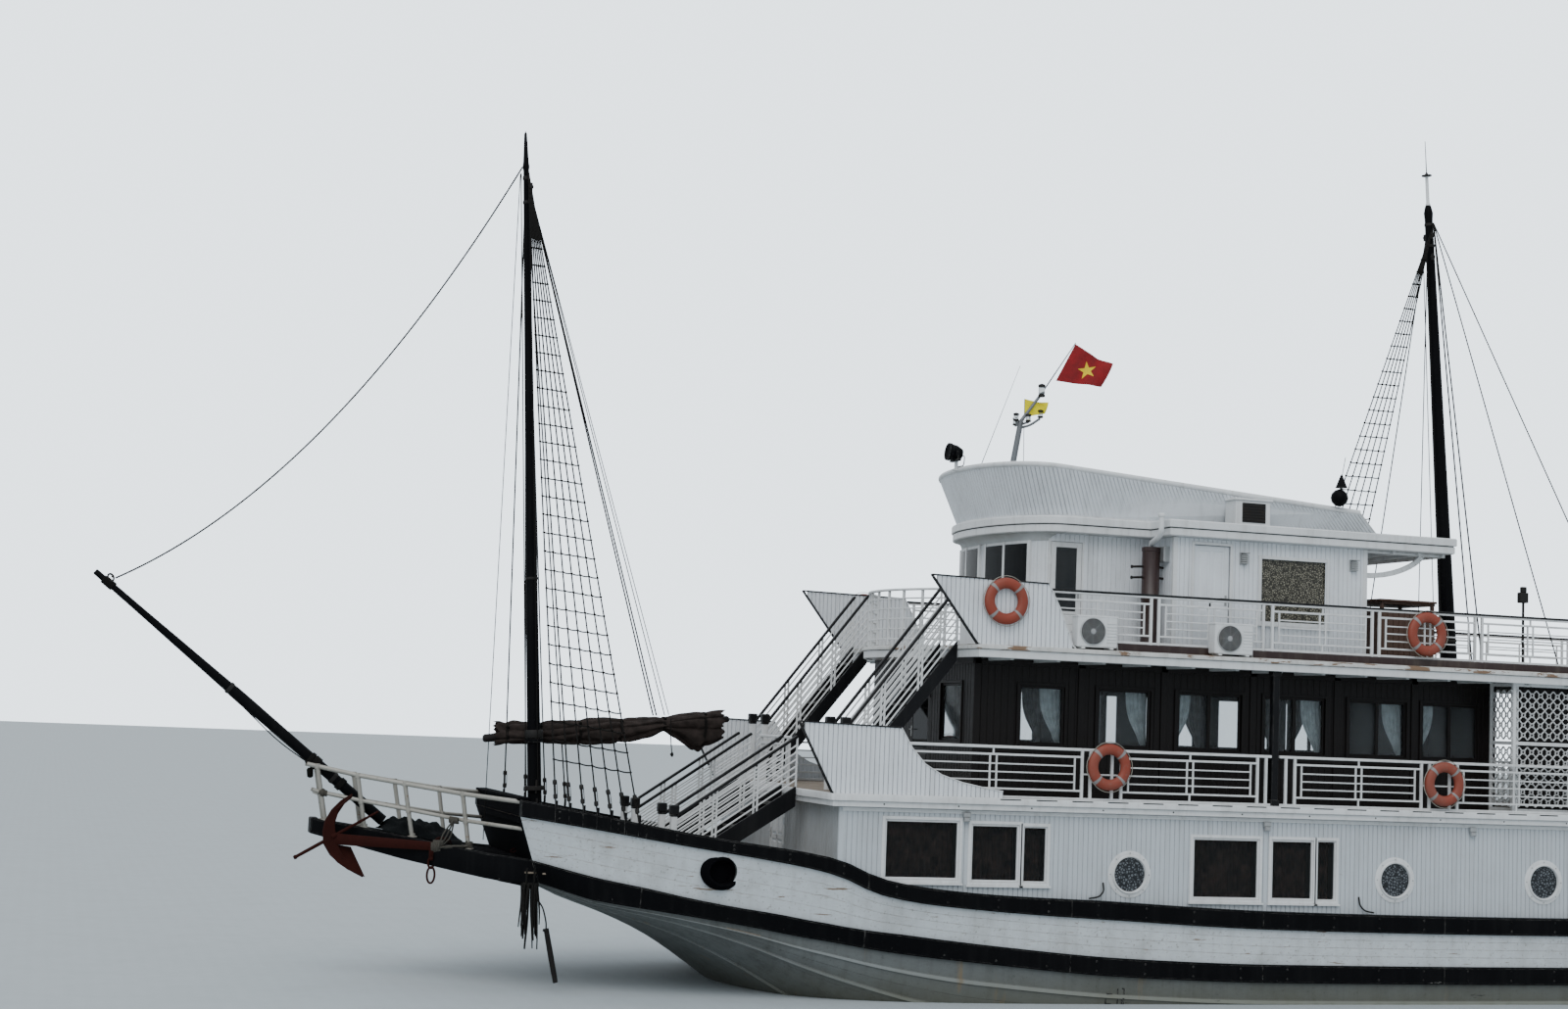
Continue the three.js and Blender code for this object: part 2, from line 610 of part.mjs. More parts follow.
function deckHouse() {
  const [z0, z1] = [DECK3_Z + GAP, ROOF_Z - GAP];
  const { x0, x1, half } = CABIN;
  const t = WALL;
  const outer = [
    [x0, -half], [x1, -half], [x1, -BRIDGE.half], ...nose(BRIDGE),
    [x1, BRIDGE.half], [x1, half], [x0, half],
  ];
  const inner = [
    [x0 + t, t - half], [x1 - t, t - half], [x1 - t, t - BRIDGE.half], ...nose(BRIDGE, t),
    [x1 - t, BRIDGE.half - t], [x1 - t, half - t], [x0 + t, half - t],
  ];
  const shell = slab(outer, z0, z1, [inner]);
  const through = (x, w, a, b) => box(x - w / 2, x + w / 2, -4000, 4000, a, b);
  return cut(
    shell,
    through(BRIDGE_DOOR.x, BRIDGE_DOOR.w, z0 + 60, BRIDGE_DOOR.top),
    through(CABIN_DOOR.x, CABIN_DOOR.w, z0 + 60, CABIN_DOOR.top),
    through(-1800, 1240, 6250, 7300),
    box(2400, 3200, -1520, -140, 6550, 7400),
    box(2400, 3200, 140, 1520, 6550, 7400),
  );
}

function roof() {
  const eaves = 170;
  const [end, x1, half] = [-4800, CABIN.x1 + eaves, CABIN.half + eaves];
  const outline = [
    [end, -half], [x1, -half], [x1, -EAVES.half], ...nose(EAVES),
    [x1, EAVES.half], [x1, half], [end, half],
  ];
  return slab(outline, ROOF_Z, ROOF_TOP);
}

const parapetTop = (x) => 8480 + (Math.max(-3400, Math.min(3300, x)) / 1000) * 73;

// The roof's parapet leans outwards to its top edge.
function parapet() {
  const z0 = ROOF_TOP + GAP;
  const aft = -3310; // the rim's end, ahead of the foot's
  const slant = 530;
  const wall = 60;
  const ring = (plan, inset, end, top) => {
    const half = plan.half - inset;
    return [[end, -half], ...nose(plan, inset), [end, half]].map(([x, y]) => [x, y, top(x)]);
  };
  const foot = () => z0;
  const outerLow = ring(PARAPET_FOOT, 0, aft - slant, foot);
  const outerHigh = ring(PARAPET_RIM, 0, aft, parapetTop);
  const innerHigh = ring(PARAPET_RIM, wall, aft, parapetTop);
  const innerLow = ring(PARAPET_FOOT, wall, aft - slant, foot);
  const rings = indices(outerLow.length).map((i) => [outerLow[i], outerHigh[i], innerHigh[i], innerLow[i]]);
  return loft(rings);
}

// Bulwark wings of planking at the fore ends of the decks.
function lowerBulwark(side) {
  const z = DECK2_Z + GAP;
  const outline = [
    [6520, z], [7110, 4280], [5440, 4240], [5030, 3690], [4400, 3420], [3700, 3300], [3700, z],
  ];
  const y = side * 3270;
  return sidePlate(outline, Math.min(y, y + side * 60), Math.max(y, y + side * 60));
}

function upperBulwark(side) {
  const z = DECK3_Z + GAP;
  const outline = [[4180, z], [5000, 6660], [3000, 6640], [2620, 5800], [2560, z]];
  const y = side * 3230;
  return sidePlate(outline, Math.min(y, y + side * 60), Math.max(y, y + side * 60));
}

// A railing panel as [u, z] outlines: a frame with bays, each bay split by bars.
const RAIL = { post: 50, bar: 30, base: 90, rows: 3 };

function railHoles(u0, u1, z0, bays) {
  const { post, bar: thick, base, rows } = RAIL;
  const width = (u1 - u0 - post) / bays;
  const pitch = (RAIL_H - base) / rows;
  const holes = [];
  for (let i = 0; i < bays; i++) {
    const left = u0 + post + width * i;
    for (let k = 0; k < rows; k++) {
      const low = z0 + base + pitch * k;
      holes.push(rect(left, left + width - post, low, low + pitch - thick));
    }
  }
  return holes;
}

function sideRail(side, x0, x1, y, deck, bays) {
  const z = deck + GAP;
  const panel = rect(x0, x1, z, z + RAIL_H);
  const [a, b] = [side * y, side * (y - 50)].sort((p, q) => p - q);
  return sidePlate(panel, a, b, railHoles(x0, x1, z, bays));
}

function crossRail(x, half, deck, bays) {
  const z = deck + GAP;
  return crossPlate(rect(-half, half, z, z + RAIL_H), x, x + 50, railHoles(-half, half, z, bays));
}

// Deck 3's front rail follows the deck's curved edge.
function frontRail3() {
  const z = DECK3_Z + GAP;
  const outer = frontArc(DECK3_X[1] - 30, BOW_OUT.half - 30, BOW_OUT.by, 9);
  const inner = frontArc(DECK3_X[1] - 80, BOW_OUT.half - 30, BOW_OUT.by, 9);
  const outline = [...outer, ...inner.reverse()];
  const gap = (low, high) => {
    const a = frontArc(DECK3_X[1] + 200, BOW_OUT.half - 80, BOW_OUT.by, 9);
    const b = frontArc(DECK3_X[1] - 300, BOW_OUT.half - 80, BOW_OUT.by, 9);
    return slab([...a, ...b.reverse()], low, high);
  };
  const pitch = RAIL_H / 3;
  const bars = [0, 1, 2].map((k) => gap(z + 60 + pitch * k, z + 60 + pitch * (k + 1) - 40));
  const full = slab(outline, z, z + RAIL_H + 60);
  const posts = [-0.5, 0, 0.5].map((t) => {
    const x = DECK3_X[1] - 80 + BOW_OUT.by * (1 - t * t);
    const y = t * (BOW_OUT.half - 30);
    return box(x - 10, x + 60, y - 35, y + 35, z, z + RAIL_H);
  });
  return join(cut(full, bars), posts);
}

// A straight stair: stringers, treads, newels and handrails. foot and head are [x, z].
function stair(side, y0, y1, foot, head, treads, rail) {
  const [xf, zf] = foot;
  const [xh, zh] = head;
  const slope = (zh - zf) / (xh - xf);
  const [low, high] = [Math.min(side * y0, side * y1), Math.max(side * y0, side * y1)];
  const deep = 240;
  const under = [xf + (deep - 60) / slope, zf + GAP];
  const stringer = [[xf, zf + GAP], [xf, zf + 180], [xh, zh + 120], [xh, zh - deep], under];
  const pieces = [sidePlate(stringer, low, low + 50), sidePlate(stringer, high - 50, high)];
  for (let i = 1; i <= treads; i++) {
    const t = i / (treads + 1);
    const [x, z] = [xf + (xh - xf) * t, zf + (zh - zf) * t];
    pieces.push(box(x - 130, x + 130, low + 20, high - 20, z - 20, z + 20));
  }
  const thick = 45;
  const at = (x, z) => [x, zf + (x - xf) * slope + z];
  for (const y of [low, high - thick]) {
    const outline = [at(xf, 100), at(xf, rail), at(xh, rail), at(xh, 100)];
    const hole = (a, b) => [at(xf - 60, a), at(xf - 60, b), at(xh + 60, b), at(xh + 60, a)].reverse();
    const span = (rail - 240) / 3;
    const holes = [0, 1, 2].map((k) => hole(200 + span * k, 200 + span * (k + 1) - 40));
    pieces.push(sidePlate(outline, y, y + thick, holes));
    pieces.push(box(xf - 60, xf + 60, y - 15, y + thick + 15, zf + GAP, zf + rail + 90));
  }
  return join(pieces);
}

const lowerStair = (side) => stair(side, 870, 1670, [8590, FOREDECK_Z], [6590, DECK2_Z - 40], 6, 900);
const upperStair = (side) => stair(side, 1750, 2550, [6090, DECK2_Z], [4240, DECK3_Z - 30], 9, 1000);

// Lattice screens at the sides of deck 2's aft end.
function lattice(side) {
  const [x0, x1] = [-9500, -5750];
  const [z0, z1] = [DECK2_Z + GAP, DECK3_Z - SLAB - GAP];
  const holes = [];
  const cols = 6;
  const rows = 3;
  const w = (x1 - x0 - 60) / cols;
  const h = (z1 - z0 - 60) / rows;
  for (let i = 0; i < cols; i++) {
    for (let k = 0; k < rows; k++) {
      holes.push(rect(x0 + 60 + w * i, x0 + w * (i + 1), z0 + 60 + h * k, z0 + h * (k + 1)));
    }
  }
  const y = side * 3180;
  return sidePlate(rect(x0, x1, z0, z1), Math.min(y, y - side * 40), Math.max(y, y - side * 40), holes);
}

// Doors: a leaf that fills its doorway with 6 mm to spare, on two strap hinges. A hinge's barrel
// stands on the face of the wall that the leaf opens to, at the leaf's edge.
const LEAF = 45;
const CLEAR = 6;
const BARREL = 12;
const STRAP = 140;

// out is where the leaf's outer face is. along turns [across, out, z] into [x, y, z].
function door(edge, width, out, z0, z1, along) {
  const block = (a0, a1, o0, o1, low, high) => {
    const [p, q] = [along(a0, o0, low), along(a1, o1, high)];
    const pairs = p.map((v, k) => [Math.min(v, q[k]), Math.max(v, q[k])]);
    return box(...pairs[0], ...pairs[1], ...pairs[2]);
  };
  const pieces = [block(edge, edge - width, out - LEAF, out, z0, z1)];
  const [pin, axis] = [edge + 2 * CLEAR, out + BARREL + GAP];
  for (const z of [z0 + 250, z1 - 250 - STRAP]) {
    pieces.push(bar(along(pin, axis, z), along(pin, axis, z + STRAP), BARREL, BARREL, 8));
    pieces.push(block(pin, edge - 70, out + GAP, axis, z + 20, z + STRAP - 20));
    pieces.push(block(edge, edge - 70, out - 5, axis, z + 20, z + STRAP - 20));
  }
  return join(pieces);
}

// A side door's hinges are at its fore edge. It opens outwards, or inwards from the wall's inner face.
function sideDoor(side, { x, w, top }, half, inwards) {
  const out = inwards ? WALL - half : half;
  const along = (a, o, z) => [a, side * (inwards ? -o : o), z];
  return door(x + w / 2 - CLEAR, w - 2 * CLEAR, out, DECK3_Z + 60 + CLEAR, top - CLEAR, along);
}

function endDoor(x, half, z0, z1) {
  return door(half - CLEAR, 2 * (half - CLEAR), x, z0 + CLEAR, z1 - CLEAR, (a, o, z) => [o, a, z]);
}

// Rudder: a blade under the counter, on a stock that meets the hull.
const RUDDER_X = -12650;
const STOCK = { r: 60, head: -200 };

function rudder() {
  const [fore, aft, foot] = [RUDDER_X + 150, RUDDER_X - 850, -1380];
  const blade = sidePlate([[fore, foot], [aft - 60, foot], [aft, -170], [fore, -520]], -45, 45);
  return join(blade, bar([RUDDER_X, 0, -800], [RUDDER_X, 0, STOCK.head], STOCK.r, STOCK.r, 16));
}

const SHAFT = { x: SKEG_X - GAP, z: -1080, r: 380 };

function propeller() {
  const hub = bar([SHAFT.x, 0, SHAFT.z], [SHAFT.x - 240, 0, SHAFT.z], 80, 60, 12);
  const blades = [0, 1, 2, 3].map((i) => {
    const g = new THREE.BoxGeometry(40, SHAFT.r - 40, 170).translate(0, (SHAFT.r - 40) / 2 + 40, 0);
    g.rotateY(0.7).rotateX((i * Math.PI) / 2);
    return solid(g.translate(SHAFT.x - 120, 0, SHAFT.z));
  });
  return join(hub, blades);
}

// The inclined light mast on the roof, with its flagstaff.
function lightMast() {
  const base = ROOF_TOP + GAP;
  const knee = [2160, 0, 9670];
  const tip = [1150, 0, 11150];
  const made = join(
    bar([2460, 0, base - 50], knee, 60, 45, 8),
    bar(knee, tip, 30, 12, 6),
    box(2340, 2580, -90, 90, base, base + 60),
  );
  return cut(made, box(2000, 3000, -300, 300, base - 300, base));
}

const airCon = (x) => box(x - 360, x + 360, 3080, 3340, DECK3_Z + GAP, DECK3_Z + 560);

const ship = new THREE.Group();

function add(name, made, colour) {
  const [color, roughness] = COLOURS[colour];
  const material = new THREE.MeshStandardMaterial({ color, roughness, metalness: 0 });
  const mesh = new THREE.Mesh(geometryOf(made), material);
  mesh.name = name;
  ship.add(mesh);
}

add("hull", hull(), "bottom");
add("beak", beak(), "black");
add("beak_rail", beakRail(), "tube");
add("bowsprit", bowsprit(), "black");
add("anchor", anchor(), "rust");
add("foremast", foremast(), "black");
add("aft_mast", aftMast(), "black");
add("aft_shrouds_port", aftShrouds(), "rope");
add("forestay", forestay(), "rope");
add("boom", boom(), "black");
add("furled_sail", furledSail(), "canvas");
add("lower_house", lowerHouse(), "white");
add("house_door", endDoor(HOUSE_X[1], DOOR_W / 2, FOREDECK_Z + 60, HOUSE_TOP - 60), "white");
add("deck_2", deck2(), "white");
add("saloon", saloon(), "brown");
add("saloon_door", endDoor(SALOON.x1, SALOON_DOOR.half, DECK2_Z + 40, SALOON_DOOR.top), "brown");
add("deck_3", deck3(), "white");
add("deck_house", deckHouse(), "white");
add("roof", roof(), "white");
add("parapet", parapet(), "white");
add("deck_2_stern_rail", crossRail(DECK2_X[0] + 30, 3200, DECK2_Z, 8), "white");
add("deck_3_stern_rail", crossRail(DECK3_X[0] + 30, 3000, DECK3_Z, 8), "white");
add("deck_2_front_rail", crossRail(DECK2_X[1] - 100, 830, DECK2_Z, 2), "white");
add("deck_3_front_rail", frontRail3(), "white");
add("light_mast", lightMast(), "metal");
add("rudder", rudder(), "bottom");
add("propeller", propeller(), "bronze");
add("aircon_fore", airCon(2140), "metal");
add("aircon_aft", airCon(-310), "metal");

for (const [name, side] of [["port", 1], ["starboard", -1]]) {
  add("lower_wale_" + name, lowerWale(side), "black");
  add("upper_wale_" + name, upperWale(side), "black");
  add("fore_shrouds_" + name, foreShrouds(side), "rope");
  add("backstays_" + name, backstays(side), "rope");
  add("saloon_glass_" + name, saloonPane(side), "glass");
  add("lower_bulwark_" + name, lowerBulwark(side), "white");
  add("upper_bulwark_" + name, upperBulwark(side), "white");
  add("deck_2_rail_" + name, sideRail(side, -13100, 3690, 3320, DECK2_Z, 12), "white");
  add("deck_3_rail_" + name, sideRail(side, -12500, 3000, 3060, DECK3_Z, 10), "white");
  add("lower_stair_" + name, lowerStair(side), "white");
  add("upper_stair_" + name, upperStair(side), "white");
  add("lattice_" + name, lattice(side), "white");
  add("wheelhouse_door_" + name, sideDoor(side, BRIDGE_DOOR, BRIDGE.half, false), "white");
  add("cabin_door_" + name, sideDoor(side, CABIN_DOOR, CABIN.half, true), "white");
}

export default ship;
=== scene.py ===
"""Dresses the two-masted wooden cruise junk. Metres, +X to the bow, +Y to port, +Z up from the waterline."""

import math
import random

import bmesh
import bpy
import numpy as np
from mathutils import Matrix, Quaternion, Vector


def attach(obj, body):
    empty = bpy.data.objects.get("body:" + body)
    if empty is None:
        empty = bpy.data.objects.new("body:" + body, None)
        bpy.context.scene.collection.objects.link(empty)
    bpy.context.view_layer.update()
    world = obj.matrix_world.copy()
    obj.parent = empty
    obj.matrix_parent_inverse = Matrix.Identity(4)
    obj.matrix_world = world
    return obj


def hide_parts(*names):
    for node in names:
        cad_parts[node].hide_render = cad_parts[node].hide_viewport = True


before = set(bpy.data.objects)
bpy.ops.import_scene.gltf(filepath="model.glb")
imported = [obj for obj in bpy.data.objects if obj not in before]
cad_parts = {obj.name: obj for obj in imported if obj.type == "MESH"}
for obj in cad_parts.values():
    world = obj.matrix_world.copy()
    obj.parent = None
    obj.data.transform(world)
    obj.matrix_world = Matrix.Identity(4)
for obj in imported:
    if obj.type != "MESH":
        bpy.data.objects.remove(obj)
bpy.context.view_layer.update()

SIDES = (("port", 1), ("starboard", -1))
TAU = 2 * math.pi

# Camera: its place, where it looks and its roll
CAMERA_AT = (18.08, 36.96, 4.34)
HEADING, PITCH, ROLL = (math.radians(a) for a in (17.45614, 5.27077, 2.29082))
LENS_MM = 52.7176


def add_camera():
    forward = Vector((-math.sin(HEADING) * math.cos(PITCH), -math.cos(HEADING) * math.cos(PITCH), math.sin(PITCH)))
    right = Vector((-math.cos(HEADING), math.sin(HEADING), 0))
    up = right.cross(forward)
    turned = Quaternion(forward, -ROLL)
    right, up = turned @ right, turned @ up
    data = bpy.data.cameras.new("camera")
    data.lens, data.sensor_width, data.sensor_fit = LENS_MM, 36, "HORIZONTAL"
    data.clip_start, data.clip_end = 0.5, 2000
    camera = bpy.data.objects.new("camera", data)
    axes = Matrix((right, up, -forward)).transposed().to_4x4()
    camera.matrix_world = Matrix.Translation(CAMERA_AT) @ axes
    bpy.context.scene.collection.objects.link(camera)
    bpy.context.scene.camera = camera


add_camera()


class Shape:
    """Gathers the faces of one piece."""

    def __init__(self):
        self.points, self.faces, self.lay = [], [], []

    def add(self, points, faces, lay=None):
        first = len(self.points)
        self.points += [tuple(p) for p in points]
        self.lay += [tuple(v) for v in lay] if lay is not None else [(0, 0, 0)] * len(points)
        self.faces += [tuple(first + i for i in face) for face in faces]

    def prism(self, base, top):
        """Two matching outlines joined by sides."""
        n = len(base)
        sides = [(i, (i + 1) % n, n + (i + 1) % n, n + i) for i in range(n)]
        self.add([*base, *top], [tuple(reversed(range(n))), tuple(range(n, 2 * n)), *sides])

    def block(self, centre, half, axes=None, ease=0.0):
        """A box with its edges eased off. axes are its own directions."""
        axes = axes or (Vector((1, 0, 0)), Vector((0, 1, 0)), Vector((0, 0, 1)))
        ease = min(ease, 0.45 * min(half))
        points = []
        for k in range(3):
            for signs in ((-1, -1, -1), (1, -1, -1), (1, 1, -1), (-1, 1, -1), (-1, -1, 1), (1, -1, 1), (1, 1, 1),
                          (-1, 1, 1)):
                size = [h - (ease if i != k else 0) for i, h in enumerate(half)]
                points.append(Vector(centre) + sum((axes[i] * signs[i] * size[i] for i in range(3)), Vector()))
        if ease == 0:
            points = points[:8]
            self.add(points, [(3, 2, 1, 0), (4, 5, 6, 7), (0, 1, 5, 4), (1, 2, 6, 5), (2, 3, 7, 6), (3, 0, 4, 7)])
            return
        x, y, z = 0, 8, 16
        faces = [
            (z + 3, z + 2, z + 1, z), (z + 4, z + 5, z + 6, z + 7), (y, y + 1, y + 5, y + 4),
            (x + 1, x + 2, x + 6, x + 5), (y + 2, y + 3, y + 7, y + 6), (x + 3, x, x + 4, x + 7),
        ]
        rows = [(0, 1, y, z), (2, 3, y, z), (4, 5, y, z), (6, 7, y, z)]
        faces += [(p + a, p + b, q + b, q + a) for a, b, p, q in rows]
        rows = [(1, 2, x, z), (3, 0, x, z), (5, 6, x, z), (7, 4, x, z)]
        faces += [(p + a, p + b, q + b, q + a) for a, b, p, q in rows]
        rows = [(0, 4, x, y), (1, 5, x, y), (2, 6, x, y), (3, 7, x, y)]
        faces += [(p + a, p + b, q + b, q + a) for a, b, p, q in rows]
        faces += [(x + i, y + i, z + i) for i in range(8)]
        self.add(points, faces)

    def box(self, x0, x1, y0, y1, z0, z1, ease=0.0):
        centre = ((x0 + x1) / 2, (y0 + y1) / 2, (z0 + z1) / 2)
        self.block(centre, (abs(x1 - x0) / 2, abs(y1 - y0) / 2, abs(z1 - z0) / 2), ease=ease)

    def beam(self, a, b, wide, deep, up=(0, 0, 1), ease=0.0):
        """A straight timber from a to b, wide across and deep along up."""
        a, b = Vector(a), Vector(b)
        along = (b - a).normalized()
        side = Vector(up).cross(along).normalized()
        axes = (along, side, along.cross(side))
        self.block((a + b) / 2, ((b - a).length / 2, wide / 2, deep / 2), axes, ease)

    def tube(self, line, radius, sides=8, closed=False):
        """A round tube along a line. radius is a number or one for each point."""
        line = [Vector(p) for p in line]
        n = len(line)
        radii = list(radius) if hasattr(radius, "__len__") else [radius] * n
        tangents = []
        for i in range(n):
            before = line[i - 1] if i or closed else line[0]
            after = line[(i + 1) % n] if i + 1 < n or closed else line[n - 1]
            tangents.append((after - before).normalized())
        side = tangents[0].orthogonal().normalized()
        points, lay, run = [], [], 0.0
        for i in range(n):
            side = (side - tangents[i] * side.dot(tangents[i])).normalized()
            other = tangents[i].cross(side)
            run += (line[i] - line[i - 1]).length if i else 0
            for k in range(sides):
                a = TAU * k / sides
                points.append(line[i] + (side * math.cos(a) + other * math.sin(a)) * radii[i])
                lay.append((math.cos(a), math.sin(a), run))
        faces = []
        for i in range(n if closed else n - 1):
            for k in range(sides):
                p, q = i * sides, (i + 1) % n * sides
                faces.append((p + k, p + (k + 1) % sides, q + (k + 1) % sides, q + k))
        if not closed:
            faces += [tuple(reversed(range(sides))), tuple(range((n - 1) * sides, n * sides))]
        self.add(points, faces, lay)

    def lathe(self, profile, origin, axis=(0, 0, 1), sides=16):
        """A turned shape: profile rows are radius and height along the axis, from its foot on the axis to its head."""
        turn = Vector((0, 0, 1)).rotation_difference(Vector(axis).normalized())
        points = []
        for radius, height in profile:
            for k in range(sides):
                a = TAU * k / sides
                points.append(Vector(origin) + turn @ Vector((radius * math.cos(a), radius * math.sin(a), height)))
        n = len(profile)
        faces = [
            (i * sides + k, i * sides + (k + 1) % sides, (i + 1) * sides + (k + 1) % sides, (i + 1) * sides + k)
            for i in range(n - 1)
            for k in range(sides)
        ]
        faces += [tuple(reversed(range(sides))), tuple(range((n - 1) * sides, n * sides))]
        self.add(points, faces)

    def ring(self, profile, origin, axis=(0, 0, 1), sides=24):
        """A closed profile of radius and height, swept right round an axis."""
        turn = Vector((0, 0, 1)).rotation_difference(Vector(axis).normalized())
        points = []
        for k in range(sides):
            a = TAU * k / sides
            for radius, height in profile:
                points.append(Vector(origin) + turn @ Vector((radius * math.cos(a), radius * math.sin(a), height)))
        n = len(profile)
        faces = [
            (k * n + i, (k + 1) % sides * n + i, (k + 1) % sides * n + (i + 1) % n, k * n + (i + 1) % n)
            for k in range(sides)
            for i in range(n)
        ]
        self.add(points, faces)

    def loft(self, rings, ends=True, closed=True):
        """A skin over rings of points with the same count."""
        n = len(rings[0])
        width = n if closed else n - 1
        faces = [
            (i * n + j, i * n + (j + 1) % n, (i + 1) * n + (j + 1) % n, (i + 1) * n + j)
            for i in range(len(rings) - 1)
            for j in range(width)
        ]
        if ends:
            faces += [tuple(reversed(range(n))), tuple(range((len(rings) - 1) * n, len(rings) * n))]
        self.add([p for ring in rings for p in ring], faces)

    def plate(self, outline, place, back, front):
        """A flat outline of (u, z) points made thick. place(u, out, z) gives its point."""
        self.prism([place(u, back, z) for u, z in outline], [place(u, front, z) for u, z in outline])


def piece(name, shape, material, body="ship", smooth=False, stands_for=(), weld=True):
    """A finished object from a shape, riding on its body."""
    mesh = bpy.data.meshes.new(name)
    mesh.from_pydata([tuple(p) for p in shape.points], [], shape.faces)
    attribute = mesh.attributes.new("lay", "FLOAT_VECTOR", "POINT")
    attribute.data.foreach_set("vector", np.array(shape.lay, np.float32).ravel())
    mesh.validate()
    return finish_piece(name, mesh, material, body, smooth, stands_for, weld)


def finish_piece(name, mesh, material, body, smooth, stands_for, weld):
    bm = bmesh.new()
    bm.from_mesh(mesh)
    if weld:
        bmesh.ops.remove_doubles(bm, verts=bm.verts, dist=1e-5)
    bmesh.ops.recalc_face_normals(bm, faces=bm.faces)
    bm.to_mesh(mesh)
    bm.free()
    if smooth:
        mesh.shade_smooth()
        mesh.set_sharp_from_angle(angle=math.radians(smooth if smooth > 1 else 38))
    for one in material if isinstance(material, (list, tuple)) else [material]:
        mesh.materials.append(one)
    made = bpy.data.objects.new(name, mesh)
    bpy.context.scene.collection.objects.link(made)
    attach(made, body)
    if stands_for:
        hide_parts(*stands_for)
    return made


# Shading


class Graph:
    """Builds a node tree in few words. An input given as a socket is linked, and any other value is set."""

    def __init__(self, tree):
        self.tree = tree

    def __call__(self, kind, inputs=(), **settings):
        node = self.tree.nodes.new(kind)
        for key, value in settings.items():
            setattr(node, key, value)
        for key, value in dict(inputs).items():
            if isinstance(value, bpy.types.NodeSocket):
                self.tree.links.new(value, node.inputs[key])
            else:
                node.inputs[key].default_value = value
        return node

    def math(self, operation, a, b=0.0):
        return self("ShaderNodeMath", {0: a, 1: b}, operation=operation).outputs[0]

    def mix(self, share, a, b):
        return self("ShaderNodeMix", {0: share, 6: a, 7: b}, data_type="RGBA").outputs[2]

    def span(self, value, low, high, start=0.0, end=1.0):
        return self("ShaderNodeMapRange", {0: value, 1: low, 2: high, 3: start, 4: end}).outputs[0]

    def noise(self, where, scale, detail=4.0, rough=0.55):
        inputs = {"Vector": where, "Scale": scale, "Detail": detail, "Roughness": rough}
        return self("ShaderNodeTexNoise", inputs).outputs[0]

    def stretched(self, where, size):
        return self("ShaderNodeVectorMath", {0: where, 1: size}, operation="MULTIPLY").outputs[0]

    def here(self):
        return self("ShaderNodeTexCoord").outputs["Object"]

    def attribute(self, name):
        return self("ShaderNodeAttribute", attribute_name=name)


FLOAT, VECTOR = "NodeSocketFloat", "NodeSocketVector"


def shared(name, inputs, outputs, build):
    """A shader node group with named inputs and outputs, all of them numbers or vectors."""
    tree = bpy.data.node_groups.new(name, "ShaderNodeTree")
    for label, value in inputs.items():
        kind = VECTOR if isinstance(value, tuple) else FLOAT
        tree.interface.new_socket(label, in_out="INPUT", socket_type=kind).default_value = value
    for label in outputs:
        tree.interface.new_socket(label, in_out="OUTPUT", socket_type=FLOAT)
    g = Graph(tree)
    g("NodeGroupOutput", zip(outputs, build(g, g("NodeGroupInput").outputs)))
    return tree


def build_weather(g, given):
    at = g.here()
    runs = g.span(g.noise(g.stretched(at, (8, 8, 0.5)), 1.0, 6), 0.5, 0.75)
    stains = g.span(g.noise(at, 0.9, 7, 0.62), 0.48, 0.72)
    specks = g.span(g.noise(at, 24, 3), 0.6, 0.74)
    dirt = g.math("MULTIPLY", runs, given["Runs"])
    dirt = g.math("ADD", dirt, g.math("MULTIPLY", stains, given["Stains"]))
    dirt = g.math("ADD", dirt, g.math("MULTIPLY", specks, given["Specks"]))
    limit = g.span(given["Peeling"], 0.0, 1.0, 0.72, 0.5)
    flakes = g.noise(g.stretched(at, given["Flakes"]), 1.0, 9, 0.68)
    peel = g.span(g.math("SUBTRACT", flakes, limit), 0.0, 0.015)
    tone = g.noise(at, 1.7, 3)
    relief = g.math("SUBTRACT", g.math("MULTIPLY", g.noise(at, 90, 2), 0.3), peel)
    return [g("ShaderNodeClamp", {0: dirt}).outputs[0], peel, tone, relief]


def build_wear(g, given):
    soft = g("ShaderNodeBevel", {"Radius": given["Width"]}, samples=4).outputs[0]
    hard = g("ShaderNodeNewGeometry").outputs["Normal"]
    turned = g("ShaderNodeVectorMath", {0: soft, 1: hard}, operation="DOT_PRODUCT").outputs["Value"]
    edge = g.span(turned, 0.99, 0.8)
    rubbed = g.span(g.noise(g.here(), 9, 6, 0.7), 0.42, 0.6)
    return [g.math("MULTIPLY", g.math("MULTIPLY", edge, rubbed), given["Amount"])]


def build_grain(g, given):
    at = g.stretched(g.here(), given["Stretch"])
    bent = g.noise(at, 1.2, 3)
    rings = g("ShaderNodeTexWave", {"Vector": at, "Scale": 2.2, "Distortion": 7.0, "Detail": 3.0}).outputs["Fac"]
    pores = g.noise(g.stretched(at, (3, 3, 3)), 6, 6, 0.7)
    figure = g.math("ADD", g.math("MULTIPLY", rings, 0.45), g.math("MULTIPLY", pores, 0.55))
    return [figure, g.math("ADD", g.math("MULTIPLY", pores, 0.8), g.math("MULTIPLY", bent, 0.2))]


def build_lay(g, given):
    axes = g("ShaderNodeSeparateXYZ", {0: g.attribute("lay").outputs["Vector"]}).outputs
    angle = g.math("ARCTAN2", axes[1], axes[0])
    twist = g.math("ADD", g.math("MULTIPLY", angle, given["Strands"]), g.math("MULTIPLY", axes[2], given["Twist"]))
    strand = g.math("ABSOLUTE", g.math("SINE", g.math("MULTIPLY", twist, 0.5)))
    hairs = g.noise(g.here(), 70, 4, 0.7)
    return [g.math("POWER", strand, 0.5), hairs]


